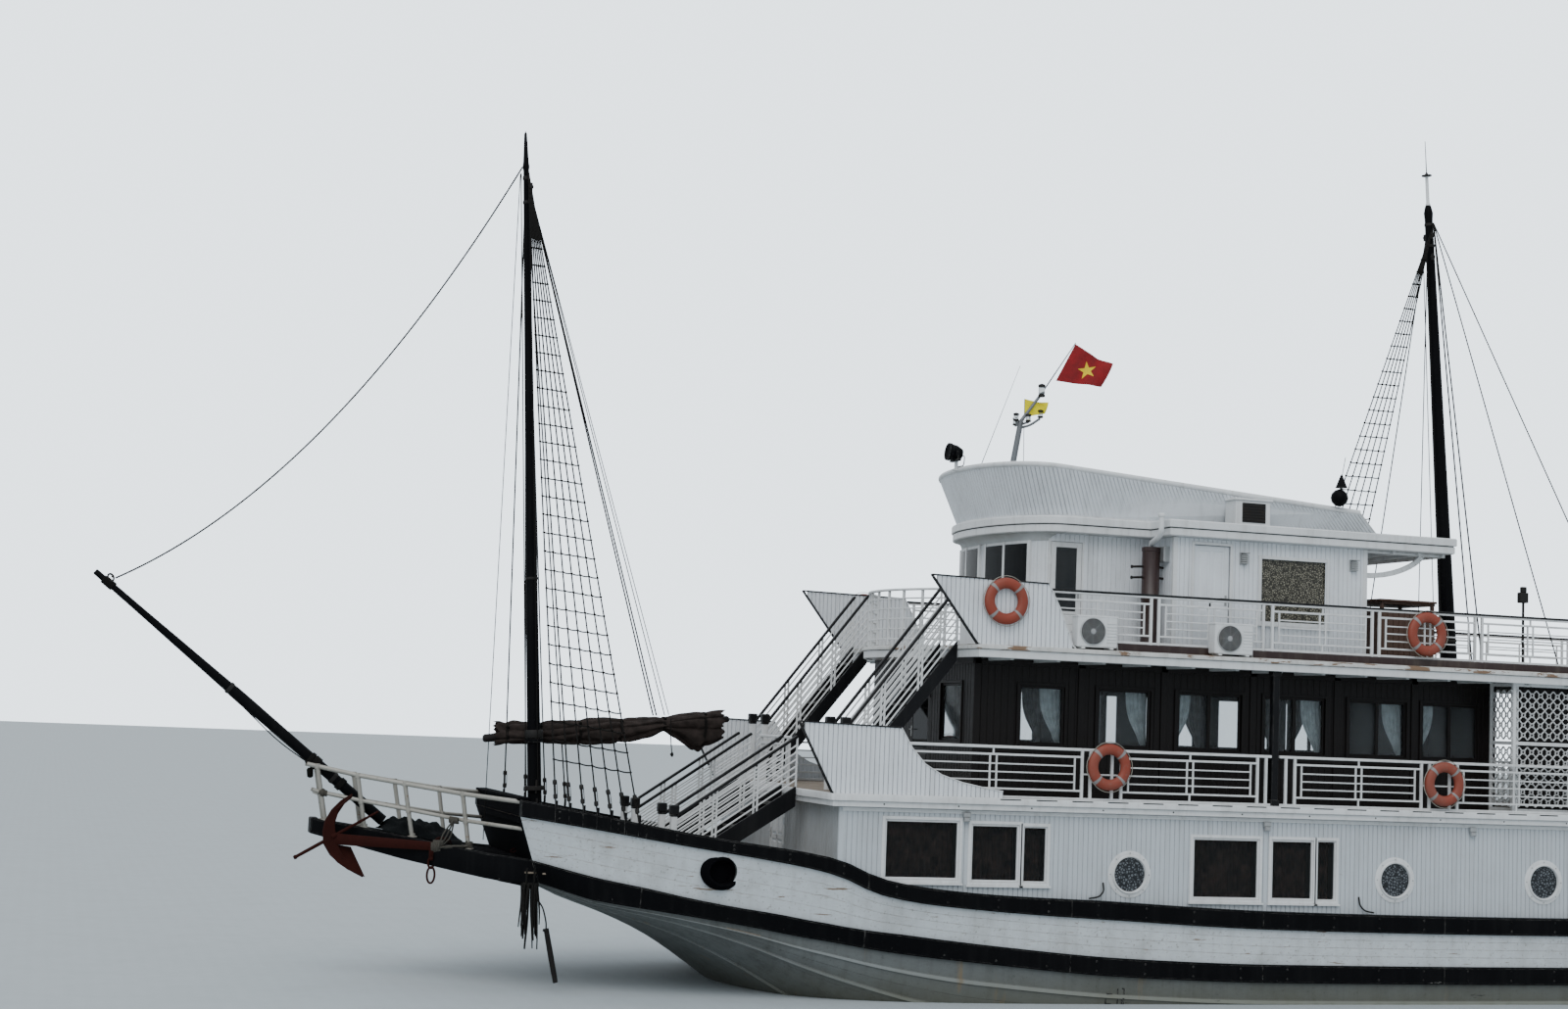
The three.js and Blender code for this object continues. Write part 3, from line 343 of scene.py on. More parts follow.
def build_weave(g, given):
    axes = g("ShaderNodeSeparateXYZ", {0: g("ShaderNodeUVMap", uv_map="flat").outputs[0]}).outputs
    warp = g.math("SINE", g.math("MULTIPLY", axes[0], given["Threads"]))
    weft = g.math("SINE", g.math("MULTIPLY", axes[1], given["Threads"]))
    wrinkles = g.noise(g.here(), 7, 5)
    return [g.math("ADD", warp, weft), wrinkles]


weather = shared(
    "weather", {"Runs": 0.4, "Stains": 0.3, "Specks": 0.2, "Peeling": 0.0, "Flakes": (1.5, 1.5, 7.0)},
    ["Dirt", "Peel", "Tone", "Relief"], build_weather,
)
wear = shared("edge wear", {"Width": 0.012, "Amount": 0.6}, ["Mask"], build_wear)
grain = shared("grain", {"Stretch": (0.5, 9.0, 9.0)}, ["Figure", "Relief"], build_grain)
rope_lay = shared("rope lay", {"Strands": 3.0, "Twist": 90.0}, ["Strand", "Hairs"], build_lay)
weave = shared("weave", {"Threads": 900.0}, ["Threads", "Wrinkles"], build_weave)


def new_material(name):
    made = bpy.data.materials.new(name)
    made.use_nodes = True
    made.node_tree.nodes.clear()
    return made, Graph(made.node_tree)


def close(g, shader):
    g("ShaderNodeOutputMaterial", {"Surface": shader.outputs[0]})


def use(g, group, values=()):
    return g("ShaderNodeGroup", (),
             node_tree=group) if not values else fill(g("ShaderNodeGroup", (), node_tree=group), values)


def fill(node, values):
    for key, value in values.items():
        node.inputs[key].default_value = value
    return node


def rgb(colour, share=1.0):
    return (*(c * share for c in colour), 1)


GRIME = (0.16, 0.14, 0.11)
UPRIGHT, LENGTHWISE, CROSSWISE = (9.0, 9.0, 0.5), (0.5, 9.0, 9.0), (9.0, 0.5, 9.0)


def painted(name, colour, rough, runs=0.3, stains=0.2, specks=0.2, peeling=0.0, under=(0.2, 0.15, 0.1),
            worn=0.3, dirt=GRIME, stretch=LENGTHWISE, figure=0.15, bump=0.25, metal=0.0, shine=0.5,
            flakes=(1.5, 1.5, 7.0), tide=None):
    """Paint over timber or metal: dirt runs, flaking, rubbed edges and the grain that shows through."""
    made, g = new_material(name)
    aged = use(g, weather, {"Runs": runs, "Stains": stains, "Specks": specks, "Peeling": peeling, "Flakes": flakes})
    rubbed = use(g, wear, {"Amount": worn})
    wood = use(g, grain, {"Stretch": stretch})
    tone = g.mix(aged.outputs["Tone"], rgb(colour, 0.93), rgb(colour, 1.04))
    tone = g.mix(g.math("MULTIPLY", wood.outputs["Figure"], figure), tone, rgb(colour, 0.6))
    tone = g.mix(aged.outputs["Dirt"], tone, rgb(dirt))
    if tide:
        height = g("ShaderNodeSeparateXYZ", {0: g.here()}).outputs[2]
        edge = g.math("ADD", height, g.math("MULTIPLY", g.noise(g.here(), 3.0, 5), 0.35))
        tone = g.mix(g.math("MULTIPLY", g.span(edge, 0.75, 0.15), 0.75), tone, rgb(tide))
        drips = g.noise(g.stretched(g.here(), (3.2, 3.2, 0.35)), 1.0, 4)
        tone = g.mix(g.math("MULTIPLY", g.span(drips, 0.62, 0.74), 0.55), tone, rgb((0.20, 0.13, 0.05)))
        tone = g.mix(g.span(edge, 0.2, -0.1), tone, rgb((0.05, 0.06, 0.04)))
    tone = g.mix(aged.outputs["Peel"], tone, rgb(under))
    tone = g.mix(rubbed.outputs["Mask"], tone, rgb(under, 1.3))
    roughness = g.math("ADD", rough, g.math("MULTIPLY", aged.outputs["Dirt"], 0.25))
    height = g.math("ADD", aged.outputs["Relief"], g.math("MULTIPLY", wood.outputs["Relief"], 0.6))
    normal = g("ShaderNodeBump", {"Strength": bump, "Distance": 0.004, "Height": height}).outputs[0]
    shader = g("ShaderNodeBsdfPrincipled", {
        "Base Color": tone, "Roughness": roughness, "Metallic": metal, "Normal": normal, "Specular IOR Level": shine,
    })
    close(g, shader)
    return made


def timber(name, colour, dark, rough, stretch=LENGTHWISE, runs=0.2, stains=0.3, worn=0.3, peeling=0.0, shine=0.5,
           dirt=(0.10, 0.085, 0.065)):
    """Bare or stained wood with its figure."""
    made, g = new_material(name)
    wood = use(g, grain, {"Stretch": stretch})
    aged = use(g, weather, {"Runs": runs, "Stains": stains, "Specks": 0.2, "Peeling": peeling})
    rubbed = use(g, wear, {"Amount": worn})
    tone = g.mix(wood.outputs["Figure"], rgb(dark), rgb(colour))
    tone = g.mix(g.math("MULTIPLY", aged.outputs["Dirt"], 0.8), tone, rgb(dirt))
    tone = g.mix(rubbed.outputs["Mask"], tone, rgb(colour, 1.6))
    normal = g("ShaderNodeBump", {"Strength": 0.4, "Distance": 0.004, "Height": wood.outputs["Relief"]}).outputs[0]
    close(g, g("ShaderNodeBsdfPrincipled",
               {"Base Color": tone, "Roughness": rough, "Normal": normal, "Specular IOR Level": shine}))
    return made


def roped(name, colour, dark, strands=3.0, twist=70.0, shine=0.4):
    made, g = new_material(name)
    lay = use(g, rope_lay, {"Strands": strands, "Twist": twist})
    # The rope is darker in the grooves between its strands: painted shade in the lay's hollows.
    tone = g.mix(lay.outputs["Strand"], rgb(dark), rgb(colour))
    tone = g.mix(g.span(lay.outputs["Hairs"], 0.55, 0.75), tone, rgb(colour, 0.55))
    height = g.math("ADD", lay.outputs["Strand"], g.math("MULTIPLY", lay.outputs["Hairs"], 0.3))
    normal = g("ShaderNodeBump", {"Strength": 0.8, "Distance": 0.006, "Height": height}).outputs[0]
    close(g, g("ShaderNodeBsdfPrincipled",
               {"Base Color": tone, "Roughness": 0.9, "Specular IOR Level": shine, "Normal": normal}))
    return made


def cloth(name, colour, dark, threads, star=None, bump=0.3, sheen=0.2, shine=0.4):
    made, g = new_material(name)
    woven = use(g, weave, {"Threads": threads})
    # The cloth is darker where its wrinkles dip: painted shade in the creases.
    tone = g.mix(g.span(woven.outputs["Wrinkles"], 0.3, 0.7), rgb(dark), rgb(colour))
    if star:
        axes = g("ShaderNodeSeparateXYZ", {0: g("ShaderNodeUVMap", uv_map="flat").outputs[0]}).outputs
        across, up = g.math("SUBTRACT", axes[0], star[0]), g.math("SUBTRACT", axes[1], star[1])
        turn = g.math("ARCTAN2", across, up)
        fifth = TAU / 5
        folded = g.math("PINGPONG", turn, fifth / 2)
        reach = g.math("SQRT", g.math("ADD", g.math("MULTIPLY", across, across), g.math("MULTIPLY", up, up)))
        # a star's edge runs from its tip to the notch between two tips
        tip, notch = star[2], star[2] * 0.382
        side = g.math("MULTIPLY", reach, g.math("SINE", folded))
        out = g.math("MULTIPLY", reach, g.math("COSINE", folded))
        nx, nz = notch * math.sin(fifth / 2), notch * math.cos(fifth / 2)
        edge = g.math("ADD", g.math("MULTIPLY", side, (tip - nz) / nx), out)
        tone = g.mix(g.span(edge, tip + 0.004, tip - 0.004), tone, rgb(star[3]))
    height = g.math("ADD", g.math("MULTIPLY", woven.outputs["Threads"], 0.1), woven.outputs["Wrinkles"])
    normal = g("ShaderNodeBump", {"Strength": bump, "Distance": 0.01, "Height": height}).outputs[0]
    close(g, g("ShaderNodeBsdfPrincipled", {
        "Base Color": tone, "Roughness": 0.85, "Specular IOR Level": shine, "Normal": normal, "Sheen Weight": sheen,
    }))
    return made


def glazing(name, tint, rough=0.03, clear=0.85, lace=0.0, ior=1.45, shine=0.5):
    """Window glass, plain or with a pressed pattern of small leaves."""
    made, g = new_material(name)
    aged = use(g, weather, {"Runs": 0.3, "Stains": 0.3, "Specks": 0.1})
    roughness = g.span(aged.outputs["Dirt"], 0, 1, rough, rough + 0.12)
    tone = g.mix(g.math("MULTIPLY", aged.outputs["Dirt"], 0.2), rgb(tint), rgb((0.5, 0.5, 0.48)))
    inputs = {
        "Transmission Weight": clear, "IOR": ior, "Specular IOR Level": shine, "Roughness": roughness,
        "Base Color": tone,
    }
    if lace:
        cells = g("ShaderNodeTexVoronoi", {"Vector": g.here(), "Scale": lace}, feature="DISTANCE_TO_EDGE").outputs[0]
        leaf = g.span(cells, 0.13, 0.24)
        inputs["Base Color"] = g.mix(leaf, rgb(tint, 0.35), rgb([0.08 + 2.2 * c for c in tint]))
        inputs["Normal"] = g("ShaderNodeBump", {"Strength": 0.7, "Distance": 0.004, "Height": leaf}).outputs[0]
    close(g, g("ShaderNodeBsdfPrincipled", inputs))
    return made


OLD_WOOD = (0.23, 0.17, 0.12)
hull_white = painted(
    "hull white", (0.62, 0.66, 0.68), 0.5, 0.16, 0.35, 0.6, 0.42, OLD_WOOD, 0.7, flakes=(1.2, 1.2, 14.0), figure=0.3,
)
bottom_paint = painted(
    "bottom paint", (0.135, 0.146, 0.143), 0.75, 0.3, 0.5, 0.4, 0.25, (0.03, 0.03, 0.027), 0.5,
    dirt=(0.05, 0.052, 0.045), flakes=(1.0, 1.0, 9.0), figure=0.35, tide=(0.085, 0.085, 0.06),
)
ridge_paint = painted("ridge paint", (0.26, 0.275, 0.27), 0.55, 0.2, 0.4, 0.3, 0.2, (0.08, 0.08, 0.07), 0.5,
                      tide=(0.2, 0.2, 0.15))
# The lower house and the upper works share one white paint in two copies: the lower house's copy is darker as painted
# shade, the upper works' copy lighter as painted light.
shaded_house_white = painted("shaded house white", (0.56, 0.60, 0.63), 0.42, 0.22, 0.14, 0.12, 0.05, OLD_WOOD, 0.35,
                      stretch=UPRIGHT)
lit_upper_white = painted("lit upper white", (0.80, 0.83, 0.86), 0.42, 0.18, 0.12, 0.1, 0.04, OLD_WOOD, 0.35, stretch=UPRIGHT)
trim_white = painted("trim white", (0.76, 0.77, 0.77), 0.38, 0.22, 0.15, 0.15, 0.04, OLD_WOOD, 0.4)
ledge_white = painted("ledge white", (0.66, 0.66, 0.64), 0.55, 0.3, 0.6, 0.5, 0.75, (0.2, 0.12, 0.07), 0.9)
# A grey copy of the white boards, painted shade for the lower house's end walls.
shaded_grey_boards = painted("shaded grey boards", (0.42, 0.44, 0.45), 0.5, 0.3, 0.2, 0.2, 0.05, OLD_WOOD, 0.3, stretch=UPRIGHT)
soffit = painted("soffit", (0.5, 0.52, 0.52), 0.5, 0.1, 0.35, 0.2, 0.05, OLD_WOOD, 0.2)
black_paint = painted(
    "black paint", (0.0028, 0.0028, 0.0036), 0.55, 0.1, 0.08, 0.1, 0.09, (0.3, 0.29, 0.27), 0.5,
    dirt=(0.03, 0.03, 0.03), figure=0.3, bump=0.4, shine=0.07,
)
rail_black = painted(
    "rail black", (0.0035, 0.0035, 0.0045), 0.45, 0.1, 0.1, 0.1, 0.04, (0.2, 0.19, 0.18), 0.5,
    dirt=(0.05, 0.05, 0.048), shine=0.2,
)
dull_black = painted(
    "dull black", (0.0035, 0.0035, 0.0045), 0.9, 0.08, 0.06, 0.08, 0.04, (0.05, 0.05, 0.045), 0.3,
    dirt=(0.02, 0.02, 0.02), figure=0.3, bump=0.4, shine=0.02,
)
saloon_wood = timber("saloon wood", (0.011, 0.008, 0.007), (0.004, 0.003, 0.003), 0.4, UPRIGHT, 0.1, 0.1, shine=0.2,
                     dirt=(0.03, 0.026, 0.022))
deck_wood = timber("deck wood", (0.30, 0.24, 0.18), (0.15, 0.12, 0.09), 0.75, LENGTHWISE, 0.2, 0.5)
tread_wood = timber("tread wood", (0.05, 0.045, 0.04), (0.02, 0.018, 0.016), 0.6, CROSSWISE)
inner_wood = timber("inner wood", (0.22, 0.13, 0.07), (0.12, 0.07, 0.04), 0.5, UPRIGHT)
hut_wood = timber("hut wood", (0.10, 0.045, 0.025), (0.04, 0.018, 0.01), 0.5, UPRIGHT)
bare_tube = painted("bare tube", (0.37, 0.355, 0.315), 0.5, 0.2, 0.5, 0.6, 0.35, (0.22, 0.13, 0.08), 0.6, metal=0.3,
                    flakes=(9, 9, 9))
grey_metal = painted("grey metal", (0.45, 0.46, 0.46), 0.4, 0.25, 0.2, 0.2, 0.1, (0.2, 0.12, 0.07), 0.4, metal=0.6,
                     flakes=(9, 9, 9))
pole_grey = painted("pole grey", (0.16, 0.17, 0.18), 0.45, 0.2, 0.2, 0.3, 0.1, (0.2, 0.12, 0.07), 0.4, metal=0.3)
rusty_iron = painted(
    "rusty iron", (0.030, 0.0058, 0.004), 0.85, 0.2, 0.4, 0.6, 0.3, (0.035, 0.014, 0.010), 0.5,
    dirt=(0.014, 0.007, 0.005), metal=0.0, shine=0.12, bump=0.9, flakes=(14, 14, 14),
)
dark_iron = painted(
    "dark iron", (0.016, 0.015, 0.014), 0.6, 0.2, 0.3, 0.4, 0.2, (0.045, 0.022, 0.013), 0.5,
    dirt=(0.03, 0.025, 0.02), metal=0.2, bump=0.6, shine=0.3, flakes=(14, 14, 14),
)
bronze = painted("bronze", (0.42, 0.28, 0.12), 0.35, 0.2, 0.5, 0.4, 0.1, (0.12, 0.22, 0.17), 0.5, metal=0.9,
                 flakes=(9, 9, 9))
maroon = painted("maroon", (0.028, 0.010, 0.009), 0.4, 0.2, 0.15, 0.1, 0.05, (0.2, 0.19, 0.18), 0.5)
orange = painted("ring orange", (0.26, 0.038, 0.016), 0.55, 0.1, 0.25, 0.35, 0.12, (0.5, 0.2, 0.1), 0.4,
                 flakes=(9, 9, 9))
ring_band = painted("ring band", (0.26, 0.25, 0.25), 0.5, 0.1, 0.3, 0.3, 0.1, (0.4, 0.2, 0.12), 0.3)
old_rope = roped("old rope", (0.075, 0.068, 0.055), (0.025, 0.022, 0.018))
dark_rope = roped("dark rope", (0.016, 0.015, 0.014), (0.005, 0.005, 0.004), shine=0.08)
pale_rope = roped("pale rope", (0.45, 0.42, 0.36), (0.16, 0.14, 0.11))
sailcloth = cloth("sailcloth", (0.044, 0.032, 0.028), (0.016, 0.012, 0.010), 700.0, bump=0.7, sheen=0.0, shine=0.2)
tarpaulin = cloth("tarpaulin", (0.0075, 0.009, 0.0095), (0.003, 0.0035, 0.004), 400.0, bump=0.8, sheen=0.0,
                  shine=0.08)
curtain = cloth("curtain", (0.55, 0.60, 0.60), (0.32, 0.35, 0.35), 2400.0, bump=0.3)
drape = cloth("drape", (0.26, 0.15, 0.115), (0.03, 0.018, 0.015), 2400.0, bump=0.3)
flag_red = cloth("flag red", (0.30, 0.004, 0.008), (0.20, 0.003, 0.005), 3000.0,
                 star=(0.45, 0.3, 0.18, (0.85, 0.60, 0.01)))
flag_yellow = cloth("flag yellow", (0.92, 0.80, 0.0), (0.78, 0.64, 0.0), 3000.0)
clear_glass = glazing("clear glass", (0.85, 0.9, 0.9), clear=0.95)
dark_glass = glazing("dark glass", (0.26, 0.27, 0.27), clear=0.97, ior=1.15, shine=0.12)
smoked_glass = glazing("smoked glass", (0.04, 0.045, 0.05), clear=0.92, ior=1.2, shine=0.25)
saloon_glass = glazing("saloon glass", (0.86, 0.90, 0.92), clear=0.97, ior=1.15, shine=0.25)
lace_glass = glazing("lace glass", (0.035, 0.042, 0.05), 0.15, 0.2, lace=22.0)
gold_glass = glazing("patterned glass", (0.10, 0.09, 0.06), 0.25, 0.2, lace=30.0)


# Repeats made by Geometry Nodes


def node_tree(name, inputs, build):
    """A geometry tree with named inputs, ending in Realize Instances and Set Material."""
    tree = bpy.data.node_groups.new(name, "GeometryNodeTree")
    tree.interface.new_socket("Geometry", in_out="INPUT", socket_type="NodeSocketGeometry")
    for label, (kind, value) in inputs.items():
        socket = tree.interface.new_socket(label, in_out="INPUT", socket_type="NodeSocket" + kind)
        if value is not None:
            socket.default_value = value
    tree.interface.new_socket("Geometry", in_out="OUTPUT", socket_type="NodeSocketGeometry")
    g = Graph(tree)
    given = g("NodeGroupInput").outputs
    plain = g("GeometryNodeRealizeInstances", {0: build(g, given)}).outputs[0]
    dressed = g("GeometryNodeSetMaterial", {"Geometry": plain, "Material": given["Material"]}).outputs[0]
    g("NodeGroupOutput", {0: dressed})
    return tree


def build_rows(g, given):
    def line(count, step):
        return g("GeometryNodeMeshLine", {"Count": count, "Offset": step}).outputs[0]

    index = g("GeometryNodeInputIndex").outputs[0]
    turn = g("ShaderNodeVectorMath", {0: given["Turn"], "Scale": index}, operation="SCALE").outputs[0]
    least = g("ShaderNodeVectorMath", {0: given["Jitter"], 1: (-1, -1, -1)}, operation="MULTIPLY").outputs[0]
    shake = g("FunctionNodeRandomValue", {0: least, 1: given["Jitter"], "Seed": given["Seed"]},
              data_type="FLOAT_VECTOR").outputs[0]
    points = line(given["Count"], given["Step"])
    points = g("GeometryNodeSetPosition", {"Geometry": points, "Offset": shake}).outputs[0]
    row = g("GeometryNodeInstanceOnPoints",
            {"Points": points, "Instance": given["Geometry"], "Rotation": turn}).outputs[0]
    rows = {"Points": line(given["Rows"], given["Row Step"]), "Instance": row}
    return g("GeometryNodeInstanceOnPoints", rows).outputs[0]


def build_chain(g, given):
    ends = {"Start": given["Start"], "Middle": given["Middle"], "End": given["End"], "Resolution": 40}
    path = g("GeometryNodeCurveQuadraticBezier", ends).outputs[0]
    points = g("GeometryNodeResampleCurve", {"Curve": path, "Count": given["Links"]}).outputs[0]
    tangent = g("GeometryNodeInputTangent").outputs[0]
    turned = g("FunctionNodeAlignRotationToVector", {"Vector": tangent}, axis="X").outputs[0]
    quarter = g("ShaderNodeMath", {0: g("GeometryNodeInputIndex").outputs[0], 1: math.pi / 2},
                operation="MULTIPLY").outputs[0]
    roll = g("FunctionNodeAxisAngleToRotation", {"Axis": (1, 0, 0), "Angle": quarter}).outputs[0]
    both = g("FunctionNodeRotateRotation", {0: turned, 1: roll}, rotation_space="LOCAL").outputs[0]
    links = {"Points": points, "Instance": given["Geometry"], "Rotation": both}
    return g("GeometryNodeInstanceOnPoints", links).outputs[0]


rows_tree = node_tree("rows", {
    "Count": ("Int", 2), "Step": ("Vector", (0.1, 0, 0)), "Rows": ("Int", 1), "Row Step": ("Vector", (0, 0, 0.1)),
    "Turn": ("Vector", (0, 0, 0)), "Jitter": ("Vector", (0, 0, 0)), "Seed": ("Int", 7),
    "Material": ("Material", None),
}, build_rows)
chain_tree = node_tree("chain", {
    "Start": ("Vector", (0, 0, 0)), "Middle": ("Vector", (0, 0, 0)), "End": ("Vector", (1, 0, 0)),
    "Links": ("Int", 10), "Material": ("Material", None),
}, build_chain)


def repeated(name, tree, unit, values, material, at=(0, 0, 0), body="ship", smooth=False,
             stands_for=()):
    """Runs a geometry tree over a unit shape and keeps the plain mesh, moved to its place."""
    mesh = bpy.data.meshes.new(name)
    mesh.from_pydata([tuple(p) for p in unit.points], [], unit.faces)
    source = bpy.data.objects.new(name, mesh)
    bpy.context.scene.collection.objects.link(source)
    modifier = source.modifiers.new(name, "NODES")
    modifier.node_group = tree
    named = {item.name: item.identifier for item in tree.interface.items_tree if item.in_out == "INPUT"}
    for key, value in {**values, "Material": material}.items():
        modifier[named[key]] = value
    plain = bpy.data.meshes.new_from_object(source.evaluated_get(bpy.context.evaluated_depsgraph_get()))
    plain.transform(Matrix.Translation(at))
    bpy.data.objects.remove(source)
    plain.materials.clear()
    return finish_piece(name, plain, material, body, smooth, stands_for, False)


# Hull. Columns: x, keel, low and high (undersides of the two wales), beam, waist, full.
LINES = np.array([
    (-14.5, 0.45, 0.97, 1.9, 2.9, 2.65, 0.75), (-13.5, 0.0, 0.8, 1.7, 3.09, 2.94, 0.75),
    (-12.0, -0.55, 0.58, 1.44, 3.265, 3.18, 0.72), (-10.0, -1.25, 0.42, 1.24, 3.32, 3.29, 0.75),
    (-6.8, -1.5, 0.33, 1.15, 3.35, 3.34, 0.8), (-1.15, -1.5, 0.35, 1.2, 3.35, 3.36, 0.85),
    (1.5, -1.5, 0.43, 1.31, 3.35, 3.35, 0.8), (4.03, -1.5, 0.63, 1.45, 3.34, 3.29, 0.7),
    (5.1, -1.3, 0.73, 1.55, 3.32, 3.22, 0.62), (5.67, -1.08, 0.80, 1.655, 3.3, 3.18, 0.58),
    (6.4, -0.76, 0.915, 1.94, 3.25, 3.11, 0.53), (6.9, -0.43, 0.985, 2.05, 3.2, 3.04, 0.5),
    (7.6, 0.09, 1.105, 2.16, 3.09, 2.92, 0.46), (8.7, 0.78, 1.26, 2.31, 2.86, 2.68, 0.45),
    (10.0, 1.28, 1.43, 2.5, 2.39, 2.22, 0.5), (11.1, 1.58, 1.64, 2.65, 1.95, 1.8, 0.6),
])
COLUMNS = ("keel", "low", "high", "beam", "waist", "full")
WALE, WALE_OUT, RAKE = 0.29, 0.07, 0.36
# Heights of the wales along the hull. Columns: x, height.
LOWER_TALL = np.array([
    (-14.5, 0.29), (4.0, 0.29), (5.2, 0.305), (6.2, 0.27), (7.1, 0.28), (7.9, 0.255), (8.6, 0.275), (9.3, 0.325),
    (10.1, 0.355), (11.1, 0.345),
])
UPPER_TALL = np.array([(-14.5, WALE), (2.0, WALE), (4.0, 0.25), (6.3, 0.255), (7.2, 0.22), (8.1, 0.20), (9.5, 0.22),
                       (11.1, 0.255)])
STERN, BOW = -14.5, 11.1
DECK2, DECK3, SLAB, DECK_HALF = 3.17, 5.59, 0.17, 3.35
ROOF, ROOF_TOP = 7.58, 7.83
FOREDECK, AFT_DECK, CABIN_FLOOR = 1.78, 1.1, 1.08
HOUSE, HOUSE_AFT, HOUSE_FORE = 3.24, -11.5, 6.34


def eased(xs, ys, x):
    """A smooth curve through the points that doesn't overshoot."""
    h, d = np.diff(xs), np.diff(ys) / np.diff(xs)
    slopes = [d[0]]
    for i in range(1, len(d)):
        same = d[i - 1] * d[i] > 0
        slopes.append((h[i - 1] + h[i]) / (h[i] / d[i - 1] + h[i - 1] / d[i]) if same else 0.0)
    slopes.append(d[-1])
    i = int(np.clip(np.searchsorted(xs, x) - 1, 0, len(h) - 1))
    t = np.clip((x - xs[i]) / h[i], 0, 1)
    a, b = ys[i], ys[i + 1]
    ma, mb = slopes[i] * h[i], slopes[i + 1] * h[i]
    return (2 * t**3 - 3 * t**2 + 1) * a + (t**3 - 2 * t**2 + t) * ma + (3 * t**2 - 2 * t**3) * b + (t**3 - t**2) * mb


def line(x, name):
    return float(eased(LINES[:, 0], LINES[:, 1 + COLUMNS.index(name)], x))


def lean(x, z):
    """The bow's and the stern's ends lean out with height."""
    share = RAKE * max(0, (x - 10.0) / (BOW - 10.0)) - RAKE * max(0, (-13.5 - x) / 1.0)
    return x + (z - line(x, "high")) * share


def tall(table, x):
    return float(np.interp(x, table[:, 0], table[:, 1]))


def waist_top(x):
    low, high, waist = (line(x, n) for n in ("low", "high", "waist"))
    return waist + (line(x, "beam") - waist) * tall(LOWER_TALL, x) / (high - low)


def deck_level(x):
    if x < -14.25 or x > 10.98:
        return line(x, "high")
    return AFT_DECK if x < -11.42 else CABIN_FLOOR if x < 6.23 else FOREDECK


BOTTOM_SEAMS = (0.2, 0.33, 0.46, 0.58, 0.7, 0.77, 0.87)
RIDGES = (0.53, 0.81, 0.93)
SIDE_SEAMS = (0.28, 0.52, 0.76)
SEAM, SEAM_DEEP, RIDGE_OUT = 0.007, 0.006, 0.022


def plank_stops(plain, seams, ridges, length):
    """Where a side's points lie along its curve and how far out, with grooves at seams and ribs at ridges."""
    e = SEAM / length
    stops = [(t, 0.0) for t in np.linspace(0, 1, plain)]
    stops += [s for t in seams for s in ((t - e, 0.0), (t, -SEAM_DEEP), (t + e, 0.0))]
    stops += [s for t in ridges for s in ((t - 6 * e, 0.0), (t - 4 * e, RIDGE_OUT), (t + 4 * e, RIDGE_OUT),
                                          (t + 6 * e, 0.0))]
    return sorted(stops)


BOTTOM_STOPS = plank_stops(10, BOTTOM_SEAMS, RIDGES, 4.0)
SIDE_STOPS = plank_stops(3, SIDE_SEAMS, (), 1.0)


def hull_half(x):
    """One side of a section, from the keel out to the rim and in to the deck."""
    keel, low, high, beam, waist, full = (line(x, n) for n in COLUMNS)
    corners = [(0.12, keel), (waist * full, keel + (low - keel) * 0.06)]
    corners += [(waist, keel + (low - keel) * (1 - full) * 0.9), (waist, low)]

    def bottom(t):
        w = ((1 - t) ** 3, 3 * t * (1 - t) ** 2, 3 * t * t * (1 - t), t**3)
        return np.array([sum(wi * c[k] for wi, c in zip(w, corners)) for k in (0, 1)])

    top = np.array([waist_top(x), low + tall(LOWER_TALL, x)])
    rim = np.array([beam, high])

    def side(t):
        return top + (rim - top) * t

    rows = []
    for curve, stops in ((bottom, BOTTOM_STOPS), (side, SIDE_STOPS)):
        for t, out in stops:
            along = curve(min(1, t + 0.01)) - curve(max(0, t - 0.01))
            normal = np.array([along[1], -along[0]]) / np.hypot(*along)
            rows.append(curve(t) + normal * out)
    level = deck_level(x)
    rows += [np.array([beam - 0.12, high]), np.array([beam - 0.12, level]), np.array([0.4, level])]
    return rows


